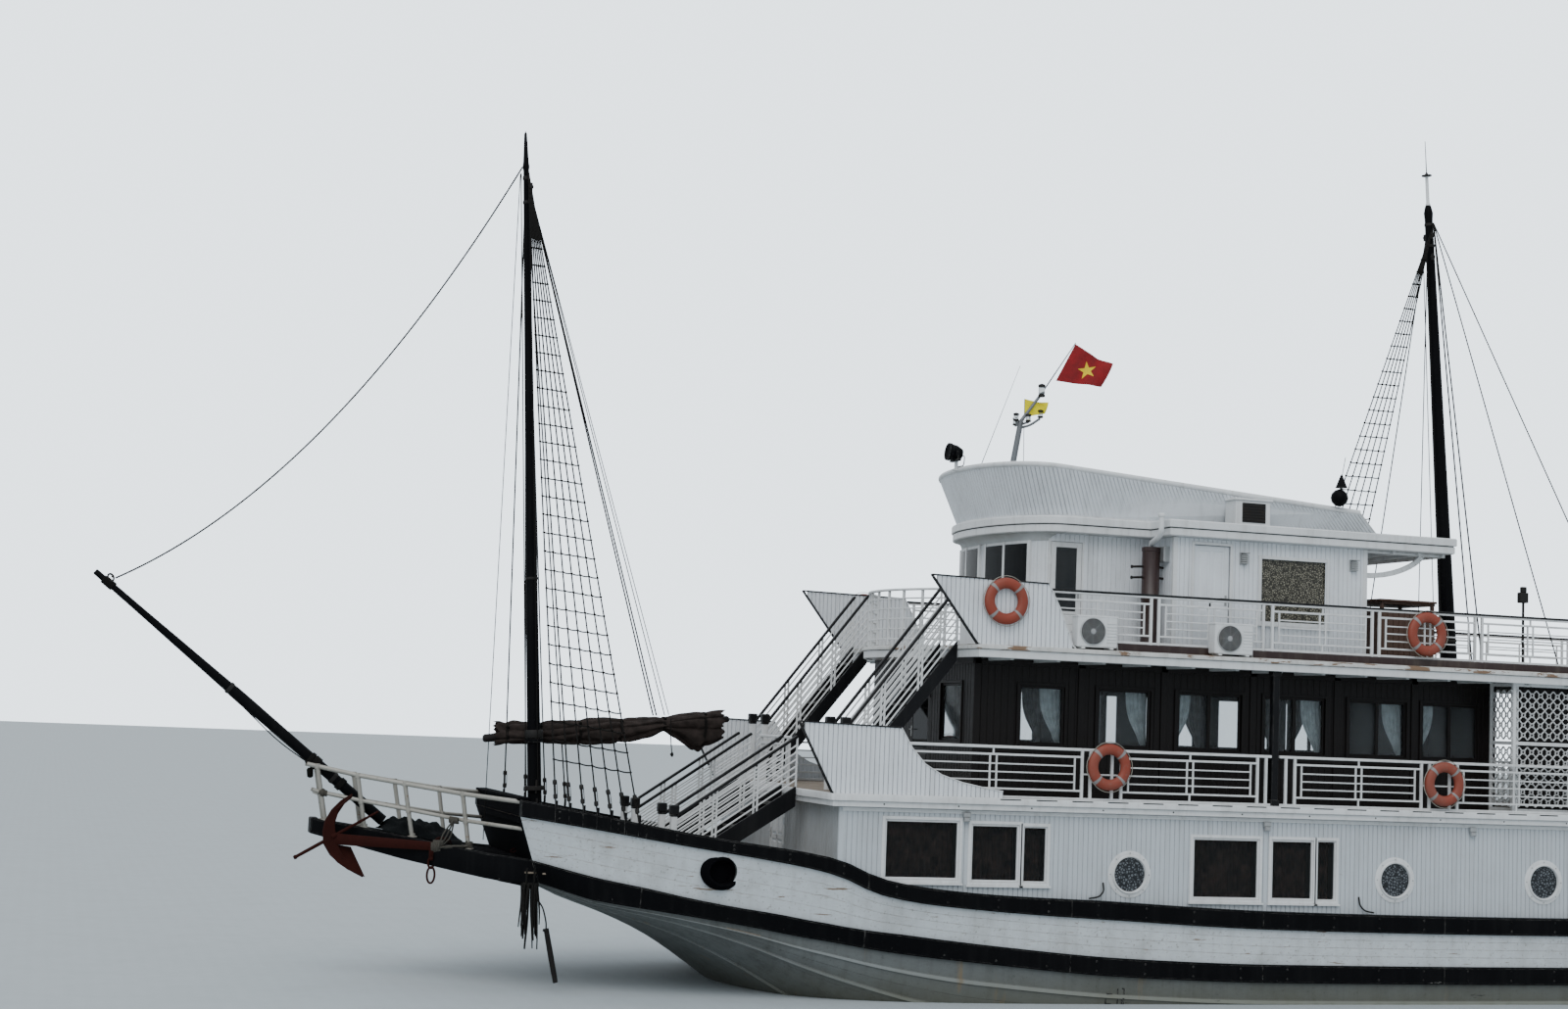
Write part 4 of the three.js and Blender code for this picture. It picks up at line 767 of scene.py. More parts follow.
def hull():
    steps = [6.229, 6.231, -11.419, -11.421, -14.249, -14.251, 10.979, 10.981]
    xs = sorted([*np.linspace(STERN, BOW, 100), *steps])
    rings = []
    for x in xs:
        half = hull_half(x)
        port = [(lean(x, z), y, z) for y, z in half]
        rings.append(port + [(px, -y, z) for px, y, z in reversed(port)])
    shape = Shape()
    shape.loft(rings)
    keel = [(-11.8, -0.4), (-11.8, -1.52), (4.6, -1.52), (6.3, -0.7)]
    shape.plate(keel, lambda u, o, z: (u, o, z), -0.11, 0.11)
    made = piece("planked_hull", shape, bottom_paint, smooth=35, stands_for=("hull",), weld=False)
    side = made.data
    for one in (hull_white, deck_wood, dull_black, ridge_paint):
        side.materials.append(one)
    count = len(rings[0])
    ribs = {j for j, (_, out) in enumerate(BOTTOM_STOPS) if out == RIDGE_OUT}
    ribs |= {count - 1 - j for j in ribs}
    for face in side.polygons:
        x, y, z = face.center
        inside = abs(y) < line(x, "beam") - 0.11 and z > 1.0
        if all(v < count * len(rings) and v % count in ribs for v in face.vertices):
            face.material_index = 4
        elif inside and face.normal.z > 0.8:
            face.material_index = 2
        elif x > 10.5 and abs(face.normal.x) > 0.7 or inside and x > HOUSE_FORE and face.normal.y * y < 0:
            face.material_index = 3
        elif z > line(x, "low") + 0.1:
            face.material_index = 1
    cutter = Shape()
    for _, s in SIDES:
        cutter.lathe([(0.23, -0.6), (0.23, 0.6)], (8.14, s * 2.9, 1.94), (0, 1, 0), 32)
    tool = bpy.data.objects.new("hawse_cutter", bpy.data.meshes.new("hawse_cutter"))
    tool.data.from_pydata([tuple(p) for p in cutter.points], [], cutter.faces)
    bpy.context.scene.collection.objects.link(tool)
    bore = made.modifiers.new("hawse", "BOOLEAN")
    bore.object, bore.operation, bore.solver = tool, "DIFFERENCE", "EXACT"
    made.data = bpy.data.meshes.new_from_object(made.evaluated_get(bpy.context.evaluated_depsgraph_get()))
    made.modifiers.remove(bore)
    bpy.data.objects.remove(tool)


hull()


def wales():
    """Black rubbing timbers in lengths, with bolt heads and butt joints."""
    lengths = 3.4
    for name, s in SIDES:
        for which, low in (("lower", True), ("upper", False)):
            shape, bolts = Shape(), Shape()
            starts = np.arange(STERN, BOW, lengths)
            for i, start in enumerate(starts):
                end = min(start + lengths, BOW)
                if BOW - end < 0.8:
                    end = BOW
                cutting = 0.0 if start == STERN else 0.004
                stops = np.linspace(start + cutting, end - (0.004 if end < BOW else 0), 12)
                rings = []
                for x in stops:
                    if low:
                        z0, a, b = line(x, "low"), line(x, "waist"), waist_top(x)
                    else:
                        z0 = line(x, "high")
                        a = b = line(x, "beam")
                    e, high = 0.022, tall(LOWER_TALL if low else UPPER_TALL, x)
                    inner = -0.04 if low else (HOUSE - a if HOUSE_AFT < x < HOUSE_FORE else -0.1)
                    rows = [(a + inner, z0), (a + WALE_OUT - e, z0), (a + WALE_OUT, z0 + e),
                            (b + WALE_OUT, z0 + high - e),
                            (b + WALE_OUT - e, z0 + high), (b + inner, z0 + high)]
                    rings.append([(lean(x, z) if low else x, s * y, z) for y, z in rows])
                shape.loft(rings)
                if end == BOW:
                    break
            for x in np.arange(STERN + 0.4, BOW - 0.2, 0.85):
                z0 = line(x, "low") if low else line(x, "high")
                y = (line(x, "waist") if low else line(x, "beam")) + WALE_OUT
                for dz in (0.07, tall(LOWER_TALL if low else UPPER_TALL, x) - 0.07):
                    bolts.lathe([(0.022, -0.01), (0.020, 0.004), (0.011, 0.010)],
                                (lean(x, z0) if low else x, s * y, z0 + dz), (0, s, 0), 6)
            piece(f"{which}_wale_timbers_{name}", shape, black_paint, smooth=30,
                  stands_for=(f"{which}_wale_{name}",))
            piece(f"{which}_wale_bolts_{name}", bolts, black_paint, smooth=30)
        rim = Shape()
        centre = Vector((8.13, s * (line(8.14, "waist") + 0.105), 1.93))
        rim.ring([(0.19, -0.12), (0.20, 0.045), (0.23, 0.065), (0.27, 0.05), (0.30, 0.0), (0.30, -0.06),
                  (0.24, -0.07), (0.24, -0.12)], centre, (-0.2, s, 0.13), 32)
        rim.lathe([(0.235, -0.13), (0.235, -0.09), (0.0, -0.08)], centre, (-0.2, s, 0.13), 28)
        rim.points = [(centre.x + (x - centre.x) * 1.14, y, centre.z + (z - centre.z) * 0.90) for x, y,
                      z in rim.points]
        piece(f"hawse_ring_{name}", rim, dull_black, smooth=40)


wales()


def draught_marks():
    """Draught figures by the waterline: strokes of a plain seven-stroke numeral."""
    strokes = {"a": (0, 2, 1, 2), "b": (1, 1, 1, 2), "c": (1, 0, 1, 1), "d": (0, 0, 1, 0), "e": (0, 0, 0, 1),
               "f": (0, 1, 0, 2), "g": (0, 1, 1, 1)}
    digits = {"1": "bc", "4": "fgbc", "5": "afgcd", "6": "afgedc", "7": "abc", ".": ""}
    for name, s in SIDES:
        shape = Shape()
        for k, text in enumerate(("1.4", "1.5", "1.6", "1.7")):
            z = -0.32 + 0.16 * k
            for i, digit in enumerate(text):
                for stroke in digits[digit]:
                    u0, v0, u1, v1 = strokes[stroke]
                    x = 1.62 - s * (i * 0.055 - 0.05)
                    p = [(x - s * u * 0.036, v * 0.045 + z) for u, v in ((u0, v0), (u1, v1))]
                    out = [0.006 + side_at(px, pz) for px, pz in p]
                    ends = [(px, s * o, pz) for (px, pz), o in zip(p, out)]
                    shape.beam(*ends, 0.006, 0.014, up=(0.7, 0, 0.7))
            shape.box(1.74, 1.84, s * side_at(1.79, z), s * (side_at(1.79, z) + 0.006), z, z + 0.014)
        shape.box(1.83, 1.844, s * side_at(1.84, 0), s * (side_at(1.84, 0) + 0.012), 0.0, 0.21)
        piece(f"draught_marks_{name}", shape, black_paint)


def side_at(x, z):
    """Half-breadth of the hull's outside at a height."""
    half = hull_half(x)[:-3]
    ys, zs = np.array([p[0] for p in half]), np.array([p[1] for p in half])
    return float(np.interp(z, np.maximum.accumulate(zs), ys))


draught_marks()


def planks(name, x0, x1, half, z, width=0.14, thick=0.022, material=deck_wood, limit=None, length=3.6):
    """Deck planks fore and aft, with butts, trimmed to limit(x), the deck's half-breadth."""
    shape = Shape()
    rng = random.Random(name)
    count = round(2 * half / width)
    wide = 2 * half / count
    for i in range(count):
        y0 = -half + i * wide
        reach = max(abs(y0), abs(y0 + wide))
        a, b = x0, x1
        if limit:
            inside = [x for x in np.linspace(x0, x1, 60) if limit(x) >= reach]
            if not inside:
                continue
            a, b = inside[0], inside[-1]
        x = a
        step = rng.uniform(0.3, 1.0) * length
        while x < b - 0.05:
            end = min(x + step, b)
            shape.box(x + 0.003, end - 0.003, y0 + 0.004, y0 + wide - 0.004, z,
                      z + thick + rng.uniform(-0.002, 0.002))
            x, step = end, length
    return piece(name, shape, material)


planks("foredeck_planks", 6.36, 10.95, 3.1, FOREDECK, limit=lambda x: line(x, "beam") - 0.13)
planks("aft_deck_planks", -14.22, -11.52, 3.1, AFT_DECK, limit=lambda x: line(x, "beam") - 0.13)
planks("cabin_floor_planks", -11.3, 6.2, 3.1, CABIN_FLOOR, width=0.3, material=inner_wood)


def bow_end():
    """The breast board across the bow, its cap, the mooring bitts and the anchor winch."""
    shape = Shape()
    count = 26
    for i in range(count):
        y0 = -1.84 + 3.68 * i / count
        shape.box(BOW - 0.12, BOW - 0.012, y0 + 0.003, y0 + 3.68 / count - 0.003, 2.55, 2.905)
    shape.box(BOW - 0.16, BOW + 0.03, -1.87, 1.87, 2.895, 2.94, ease=0.012)
    piece("breast_board", shape, dull_black)
    gear = Shape()
    for s in (1, -1):
        for x in (9.3, 9.62):
            gear.lathe([(0.075, 0), (0.075, 0.42), (0.1, 0.44), (0.1, 0.5), (0.085, 0.52)],
                       (x, s * 1.15, FOREDECK + 0.02), sides=14)
        gear.box(9.1, 9.82, s * 1.15 - 0.04, s * 1.15 + 0.04, FOREDECK + 0.2, FOREDECK + 0.27, ease=0.01)
        gear.box(9.05, 9.87, s * 1.15 - 0.14, s * 1.15 + 0.14, FOREDECK, FOREDECK + 0.05, ease=0.01)
    piece("mooring_bitts", gear, dark_iron, smooth=35)
    winch = Shape()
    winch.lathe([(0.05, -0.42), (0.05, -0.34), (0.15, -0.33), (0.15, -0.29), (0.085, -0.27), (0.085, 0.27),
                 (0.15, 0.29), (0.15, 0.33),
                 (0.05, 0.34), (0.05, 0.42)], (9.75, 0, FOREDECK + 0.34), (0, 1, 0), 18)
    for s in (1, -1):
        winch.prism([(9.5, s * 0.36, FOREDECK), (10.0, s * 0.36, FOREDECK), (9.84, s * 0.36, FOREDECK + 0.44),
                     (9.66, s * 0.36, FOREDECK + 0.44)],
                    [(9.5, s * 0.39, FOREDECK), (10.0, s * 0.39, FOREDECK), (9.84, s * 0.39, FOREDECK + 0.44),
                     (9.66, s * 0.39, FOREDECK + 0.44)])
    winch.box(9.42, 10.08, -0.46, 0.46, FOREDECK, FOREDECK + 0.04, ease=0.008)
    piece("anchor_winch", winch, dark_iron, smooth=35)


bow_end()

# Beak. Columns: x, half, under, top.
BEAK = np.array([
    (11.1, 1.8, 1.6, 1.99), (11.9, 1.2, 1.74, 2.12), (12.7, 0.62, 1.89, 2.25), (13.4, 0.31, 2.06, 2.365),
    (14.05, 0.165, 2.22, 2.46),
])


def beak_at(x, k):
    return float(np.interp(x, BEAK[:, 0], BEAK[:, k]))


def beak():
    sides, deck, under = Shape(), Shape(), Shape()
    xs = [11.1, 11.5, 11.9, 12.3, 12.7, 13.05, 13.4, 13.75, 14.05]
    for s in (1, -1):
        rings = []
        for x in xs:
            half, z0, z1 = (beak_at(x, k) for k in (1, 2, 3))
            shift = (lambda z: (z - 2.65) * RAKE) if x == xs[0] else (lambda z: 0.0)
            rows = [(half - 0.11, z0), (half - 0.02, z0), (half, z0 + 0.03), (half, z1 - 0.02), (half - 0.02, z1),
                    (half - 0.09, z1), (half - 0.11, z1 - 0.02)]
            rings.append([(x + shift(z), s * y, z) for y, z in rows])
        sides.loft(rings)
    sides.box(13.95, 14.07, -0.17, 0.17, 2.22, 2.47, ease=0.015)
    for x in (11.5, 12.3, 13.05):
        half, z0, z1 = (beak_at(x, k) for k in (1, 2, 3))
        sides.box(x - 0.07, x + 0.07, -half + 0.05, half - 0.05, z0 + 0.02, z1 - 0.04, ease=0.015)
    y = -1.72
    while y < 1.7:
        reach = max(abs(y), abs(y + 0.15))
        end = float(np.interp(-reach - 0.06, -BEAK[:, 1], BEAK[:, 0]))
        start = 10.88
        if end > start + 0.25:
            cutx = np.linspace(start, end, 6)
            for shape, col in ((deck, 3), (under, 2)):
                rings = []
                for x in cutx:
                    z = beak_at(x, col)
                    if shape is under and x < 11.1:
                        z = 1.6 + (x - 11.1) * 0.2
                    low, high = (z - 0.06, z - 0.015) if shape is deck else (z, z + 0.045)
                    rings.append([(x, y + 0.004, low), (x, y + 0.146, low), (x, y + 0.146, high),
                                  (x, y + 0.004, high)])
                shape.loft(rings)
        y += 0.15
    piece("beak_sides", sides, black_paint, smooth=30, stands_for=("beak",))
    piece("beak_deck", deck, dull_black)
    piece("beak_underside", under, black_paint)


beak()

# Columns: x, y and z of the head, and how far the foot lies aft of it.
STANCHIONS = [(14.01, 0.132, 3.27, 0.17), (13.39, 0.27, 3.15, 0.15), (12.69, 0.58, 3.05, 0.16),
              (11.87, 1.16, 2.94, 0.14)]


def arc_line(points, count):
    """A smooth line through points."""
    pts = [Vector(p) for p in points]
    chords = [0.0]
    for a, b in zip(pts, pts[1:]):
        chords.append(chords[-1] + (b - a).length)
    return [Vector([float(eased(np.array(chords), np.array([p[k] for p in pts]),
                                t)) for k in range(3)]) for t in np.linspace(0, chords[-1], count)]


def wrapped(shape, centre, along, turns, pitch=0.018, reach=0.045, radius=0.009):
    """Turns of rope around a tube or spar, side by side."""
    along = Vector(along).normalized()
    across = along.orthogonal().normalized()
    steps = int(turns * 10)
    start = Vector(centre) - along * (pitch * turns / 2)
    shape.tube([start + along * (pitch * i / 10) + Quaternion(along,
            TAU * i / 10) @ across * reach for i in range(steps + 1)], radius, 6)


def beak_rail():
    shape, fittings, ties = Shape(), Shape(), Shape()
    for s in (1, -1):
        top = [(x, s * y, z) for x, y, z, _ in STANCHIONS] + [(11.0, s * 1.79, 2.86)]
        middle = [(x - aft / 2, s * y, (z + beak_at(x, 3)) / 2) for x, y, z,
                  aft in STANCHIONS] + [(10.9, s * 1.79, 2.44)]
        shape.tube([(14.17, s * 0.105, 3.30), *top], 0.036, 12)
        shape.tube([(14.06, s * 0.118, middle[0][2] + 0.04), *middle], 0.031, 12)
        for x, y, z, aft in STANCHIONS:
            foot = beak_at(x - aft, 3)
            shape.tube([(x - aft, s * y, foot - 0.02), (x, s * y, z)], 0.035, 12)
            fittings.lathe([(0.075, 0), (0.075, 0.016), (0.044, 0.022), (0.044, 0.06)],
                           (x - aft, s * (y - 0.01), foot), sides=14)
            for level, back in ((z, 0), ((z + foot) / 2, aft / 2)):
                fittings.lathe([(0.042, -0.04), (0.045, -0.022), (0.045, 0.022), (0.042, 0.04)],
                               (x - back, s * y, level), sides=12)
        run = Vector(middle[1]) - Vector(middle[0])
        wrapped(ties, Vector(middle[0]) + run * 0.04, run, 7, reach=0.042, radius=0.011)
        wrapped(ties, Vector(middle[0]) + run * 0.02, run, 3, reach=0.056, radius=0.013)
    x, y, _, _ = STANCHIONS[0]
    shape.tube([(x, -y, 2.86), (x, y, 2.86)], 0.031, 12)
    shape.tube([(x, -y, 3.27), (x, y, 3.27)], 0.035, 12)
    # the anchor's lashings: round the middle rail, down to the shank's end and along to the rail's last foot
    (x3, y3, _, aft3), foot = STANCHIONS[3], beak_at(11.73, 3)
    knot, low, end = Vector((x3 + 0.11, y3 - 0.04, 2.53)), Vector((12.16, 0.99, 2.10)), Vector((x3 - aft3, y3,
            foot + 0.05))
    for k in range(3):
        out = Vector((0.015 * k, 0.05 + 0.01 * k, 0.0))
        ties.tube(arc_line([knot + out * 0.6, knot.lerp(low, 0.5) + out + Vector((0.05 * k - 0.05, 0, -0.04)),
                            low + out], 12), 0.013, 6)
        ties.tube(arc_line([low + out * 0.7, low.lerp(end, 0.5) + out + Vector((0, 0, -0.03 + 0.02 * k)), end + out],
                           12), 0.015, 6)
    wrapped(ties, knot, (-1, 0.55, -0.1), 8, reach=0.045, radius=0.012)
    wrapped(ties, low + Vector((0.02, -0.08, 0)), (1, -0.35, 0), 6, pitch=0.026, reach=0.098, radius=0.014)
    wrapped(ties, end, (0, 0, 1), 6, pitch=0.022, reach=0.05, radius=0.014)
    piece("beak_rail_tubes", shape, bare_tube, smooth=50, stands_for=("beak_rail",))
    piece("beak_rail_fittings", fittings, bare_tube, smooth=40)
    piece("beak_rail_lashings", ties, old_rope, smooth=60)


beak_rail()


def folded_cover():
    """A dark cover lying in a heap of folds on the beak's deck."""
    rings = []
    for i in range(41):
        t = i / 40
        x = 11.72 + 1.24 * t
        half = min(0.46, beak_at(x, 1) - 0.14)
        ring = []
        for j in range(33):
            v = -1 + j / 16
            rise = 0.30 * (1 - v * v) ** 0.7 * math.sin(math.pi * (0.04 + 0.92 * t)) ** 0.55
            fold = 0.16 * math.sin(9 * t + 4 * v) + 0.12 * math.sin(23 * t - 7 * v + 1) + 0.07 * math.sin(41 * t + 13 * v)
            ring.append(Vector((x + 0.03 * math.sin(7 * v + 9 * t), v * half,
                                beak_at(x, 3) + 0.012 + rise * (0.80 + fold))))
        rings.append(ring)
    shape = Shape()
    shape.loft(rings, ends=False, closed=False)
    made = sheet_piece("beak_cover", shape, rings, tarpaulin)


def bowsprit():
    a, b = Vector((12.92, 0, 2.435)), Vector((17.55, 0, 6.15))
    length = (b - a).length
    axis = (b - a).normalized()
    shape, bands, lines = Shape(), Shape(), Shape()
    rows = [(0.0, 0.05), (0.01, 0.088), (1.7, 0.086), (2.95, 0.093), (3.12, 0.091), (3.25, 0.080), (3.75, 0.073),
            (5.0, 0.055), (length - 0.02, 0.047), (length, 0.04)]
    shape.lathe([(r, t) for t, r in rows], a, axis, 24)
    for t, r in ((1.05, 0.09), (3.2, 0.088), (length - 0.33, 0.054), (length - 0.20, 0.052)):
        bands.ring([(r - 0.012, -0.03), (r + 0.004, -0.03), (r + 0.010, 0), (r + 0.004, 0.03), (r - 0.012, 0.03)],
                   a + axis * t, axis, 24)
    eye = a + axis * (length - 0.27)
    for side in (-0.045, 0.045):
        loop = [eye + Vector((0, side, 0)) + axis * (0.055 * math.cos(t)) + Vector((-0.35, 0,
                1)).normalized() * (0.085 + 0.05 * math.sin(t)) for t in np.linspace(0, TAU, 16, endpoint=False)]
        bands.tube(loop, 0.014, 8, closed=True)
    bands.tube([eye + Vector((-0.05, -0.08, 0.10)), eye + Vector((-0.05, 0.08, 0.10))], 0.014, 8)
    piece("bowsprit_spar", shape, black_paint, smooth=40, stands_for=("bowsprit",))
    piece("bowsprit_bands", bands, dark_iron, smooth=35)
    for t, turns in ((length - 0.27, 9), (1.42, 5), (1.52, 3), (0.9, 4)):
        wrapped(lines, a + axis * t, axis, turns, pitch=0.022, reach=0.064 if t > 4 else 0.098, radius=0.011)
    slack = [(15.5, 0.03, 4.43), (15.1, 0.07, 4.06), (14.6, 0.08, 3.62), (14.2, 0.05, 3.35), (14.02, 0.03, 3.24)]
    lines.tube(arc_line(slack, 24), 0.010, 6)
    block = a + axis * 1.45 + Vector((0.06, 0.05, -0.17))
    lines.tube([block + Vector((-0.03, -0.02, 0.14)), block + Vector((0, 0, 0.05))], 0.012, 6)
    lines.lathe([(0.02, -0.09), (0.048, -0.07), (0.052, 0.04), (0.03, 0.07)], block, (0.1, 0, 1), 12)
    piece("bowsprit_lashings", lines, dark_rope, smooth=60)


bowsprit()


# The anchor's arms, seen from the side. Columns: x, z, width.
ARMS = np.array([
    (13.49, 2.83, 0.05), (13.62, 2.73, 0.08), (13.735, 2.58, 0.12), (13.80, 2.42, 0.16), (13.805, 2.27, 0.20),
    (13.78, 2.11, 0.21), (13.70, 1.96, 0.18), (13.55, 1.80, 0.12), (13.38, 1.68, 0.08), (13.24, 1.59, 0.04),
])


def anchor():
    """An iron anchor with a flat shank, curved arms, two palms and a round stock, hung outside the beak."""
    inboard = Vector((0, -0.047, 0))
    crown, ring = Vector((13.78, 0.42, 2.16)) + inboard, Vector((12.26, 0.975, 2.11)) + inboard
    shape = Shape()

    def flat_bar(points, thick):
        """points are (centre, across, half width)."""
        rings = []
        for centre, across, half in points:
            e = min(0.012, thick / 3)
            rows = [(-half, -thick + e), (-half + e, -thick), (half - e, -thick), (half, -thick + e),
                    (half, thick - e), (half - e, thick), (e - half, thick), (-half, thick - e)]
            rings.append([centre + across * u + Vector((0, o, 0)) for u, o in rows])
        shape.loft(rings)

    up = Vector((0, 0, 1))
    flat_bar([(crown.lerp(ring, t), up, 0.088 - 0.022 * t) for t in (0, 0.3, 0.6, 0.9, 1.0)], 0.030)
    spine = [Vector((x, 0.40, z)) for x, z, _ in ARMS]
    arm = []
    for i, (x, z, wide) in enumerate(ARMS):
        along = (spine[min(i + 1, len(spine) - 1)] - spine[max(i - 1, 0)]).normalized()
        arm.append((spine[i], Vector((-along.z, 0, along.x)), wide / 2))
    flat_bar(arm, 0.032)
    palm = [(13.78, 0.44, 1.93), (13.68, 0.36, 2.07), (13.45, 0.36, 2.04), (13.215, 0.44, 1.58), (13.49, 0.50, 1.69),
            (13.66, 0.49, 1.80)]
    shape.prism([Vector(p) + Vector((0, -0.014, 0)) for p in palm], [Vector(p) + Vector((0, 0.014, 0)) for p in palm])
    along = (spine[2] - spine[0]).normalized()
    outline = [(-0.03, 0.0), (0.08, 0.10), (0.20, 0.13), (0.30, 0.07), (0.30, -0.07), (0.20, -0.13), (0.08, -0.10)]
    back = Vector((0.65, 0, 0.75))
    base = [spine[0] + along * u + Vector((0, v, 0)) + back * 0.01 for u, v in outline]
    shape.prism([p - back * 0.012 for p in base], [p + back * 0.012 for p in base])
    hole, reach = Vector((13.69, 0.40, 2.225)), Vector((0.635, 0.02, -0.372))
    shape.tube([hole - reach, hole - reach * 0.4, hole + reach * 0.1, hole + reach], [0.018, 0.024, 0.030, 0.026], 12)
    shape.lathe([(0.024, -0.02), (0.034, -0.015), (0.034, 0.015), (0.024, 0.02)], hole + reach * 0.96, reach, 12)
    shape.lathe([(0.036, -0.05), (0.05, -0.04), (0.05, 0.04), (0.036, 0.05)], hole + reach * 0.05, reach, 14)
    # the ring's jaw and the long shackle that hangs from it
    jaw = ring + Vector((0.02, 0, -0.06))
    for side in (-0.038, 0.038):
        shape.beam(jaw + Vector((0, side, 0.08)), jaw + Vector((0, side, -0.16)), 0.07, 0.016, up=(0, 1, 0),
                   ease=0.006)
    shape.tube([jaw + Vector((0, -0.06, -0.12)), jaw + Vector((0, 0.06, -0.12))], 0.022, 12)
    piece("stocked_anchor", shape, rusty_iron, smooth=45, stands_for=("anchor",))
    shackle = Shape()
    eye = jaw + Vector((-0.01, 0, -0.12))

    def long_ring(centre, half, tall, radius):
        outline = [(half * math.cos(t), tall * math.sin(t)) for t in np.linspace(0, TAU, 24, endpoint=False)]
        shackle.tube([centre + Vector((u, 0.008 * math.sin(3 * u), v)) for u, v in outline], radius, 8, closed=True)

    long_ring(eye + Vector((0, 0, -0.075)), 0.045, 0.085, 0.017)
    long_ring(eye + Vector((-0.005, 0, -0.265)), 0.060, 0.125, 0.017)
    piece("anchor_shackle", shackle, rusty_iron, smooth=50)
    link = Shape()
    path = [(0.05 * math.cos(a), 0.026 * math.sin(a), 0) for a in np.linspace(0, TAU, 12, endpoint=False)]
    link.tube(path, 0.009, 5, closed=True)
    chains = {"anchor_chain": ((12.22, 0.80, 2.16), (12.1, 0.75, 2.28), (11.95, 0.60, 2.16), 9),
              "cable_chain": ((9.72, 0.3, 2.16), (10.3, 0.5, 2.3), (10.92, 0.62, 2.05), 16)}
    for name, (start, middle, end, links) in chains.items():
        values = {"Start": start, "Middle": middle, "End": end, "Links": links}
        repeated(name, chain_tree, link, values, rusty_iron, smooth=60)


anchor()


# Masts and rigging
FOREMAST = {"x": 10.425, "z": 1.78, "lean": 0.0644}
AFT_MAST = {"x": -6.61, "z": 5.59, "lean": 0.0687}
BOOM_Y = -0.33


def on_mast(mast, z, dx=0.0, dy=0.0):
    return Vector((mast["x"] + (z - mast["z"]) * mast["lean"] + dx, dy, z))


def mast(name, spec, rows, bands, stands_for):
    """rows are height and radius. bands are height, radius and height of the band."""
    foot, axis = on_mast(spec, spec["z"]), Vector((spec["lean"], 0, 1)).normalized()
    shape, iron = Shape(), Shape()
    shape.lathe([(r, (z - spec["z"]) / axis.z) for z, r in rows], foot, axis, 28)
    for z, r, tall in bands:
        inner = min(r - 0.012, float(np.interp(z, *zip(*rows))) - 0.01)
        iron.ring([(inner, 0), (r + 0.006, 0), (r + 0.010, tall / 2), (r + 0.006, tall), (inner, tall)],
                  on_mast(spec, z), axis, 28)
    iron.ring([(rows[0][1] * 0.9, -0.002), (rows[0][1] + 0.09, -0.002), (rows[0][1] + 0.085, 0.04),
               (rows[0][1] + 0.01, 0.055)], foot + Vector((0, 0, 0.024)), axis, 24)
    piece(name + "_spar", shape, black_paint, smooth=40, stands_for=stands_for)
    return iron, axis


def foremast():
    rows = [(1.78, 0.125), (2.3, 0.120), (3.1, 0.112), (3.765, 0.110), (3.766, 0.150), (3.825, 0.150), (3.828, 0.108),
            (5.0, 0.103),
            (7.0, 0.090), (9.0, 0.076), (11.0, 0.063), (12.3, 0.053), (13.15, 0.046), (13.22, 0.058), (13.30, 0.046),
            (13.78, 0.022), (13.8, 0.008)]
    bands = [(2.55, 0.121, 0.05), (2.99, 0.165, 0.07), (6.4, 0.094, 0.04), (12.6, 0.052, 0.05), (13.0, 0.049, 0.06)]
    iron, axis = mast("foremast", FOREMAST, rows, bands, ("foremast",))
    for s in (1, -1):
        head = on_mast(FOREMAST, 13.02, -0.02, s * 0.07)
        iron.tube(arc_line([head, head + Vector((0, s * 0.06, 0.02)), head + Vector((0, s * 0.07, -0.05)),
                            head + Vector((0, s * 0.02, -0.07))], 12), 0.011, 8)
        for z in (12.86, 12.66):
            p = on_mast(FOREMAST, z, -0.05, s * 0.135)
            iron.lathe([(0.012, -0.028), (0.042, -0.022), (0.030, 0.0), (0.042, 0.022), (0.012, 0.028)], p, (0, 1, 0),
                       14)
            iron.beam(p + Vector((0, 0, 0.07)), p - Vector((0, 0, 0.07)), 0.075, 0.05, up=(1, 0, 0), ease=0.012)
    for z, s in ((2.75, 1), (2.75, -1), (3.05, 1)):
        p = on_mast(FOREMAST, z, 0, s * 0.145)
        iron.beam(p - Vector((0, 0, 0.11)), p + Vector((0, 0, 0.11)), 0.026, 0.026, up=(1, 0, 0), ease=0.008)
        iron.beam(p - Vector((0, s * 0.04, 0.03)), p - Vector((0, s * -0.005, 0.03)), 0.03, 0.06, ease=0.005)
    piece("foremast_ironwork", iron, dark_iron, smooth=35)
    whip = Shape()
    top = on_mast(FOREMAST, 13.78)
    whip.lathe([(0.02, -0.04), (0.022, 0.0), (0.008, 0.02), (0.006, 0.04)], top, axis, 10)
    piece("foremast_cap", whip, dark_iron, smooth=40)


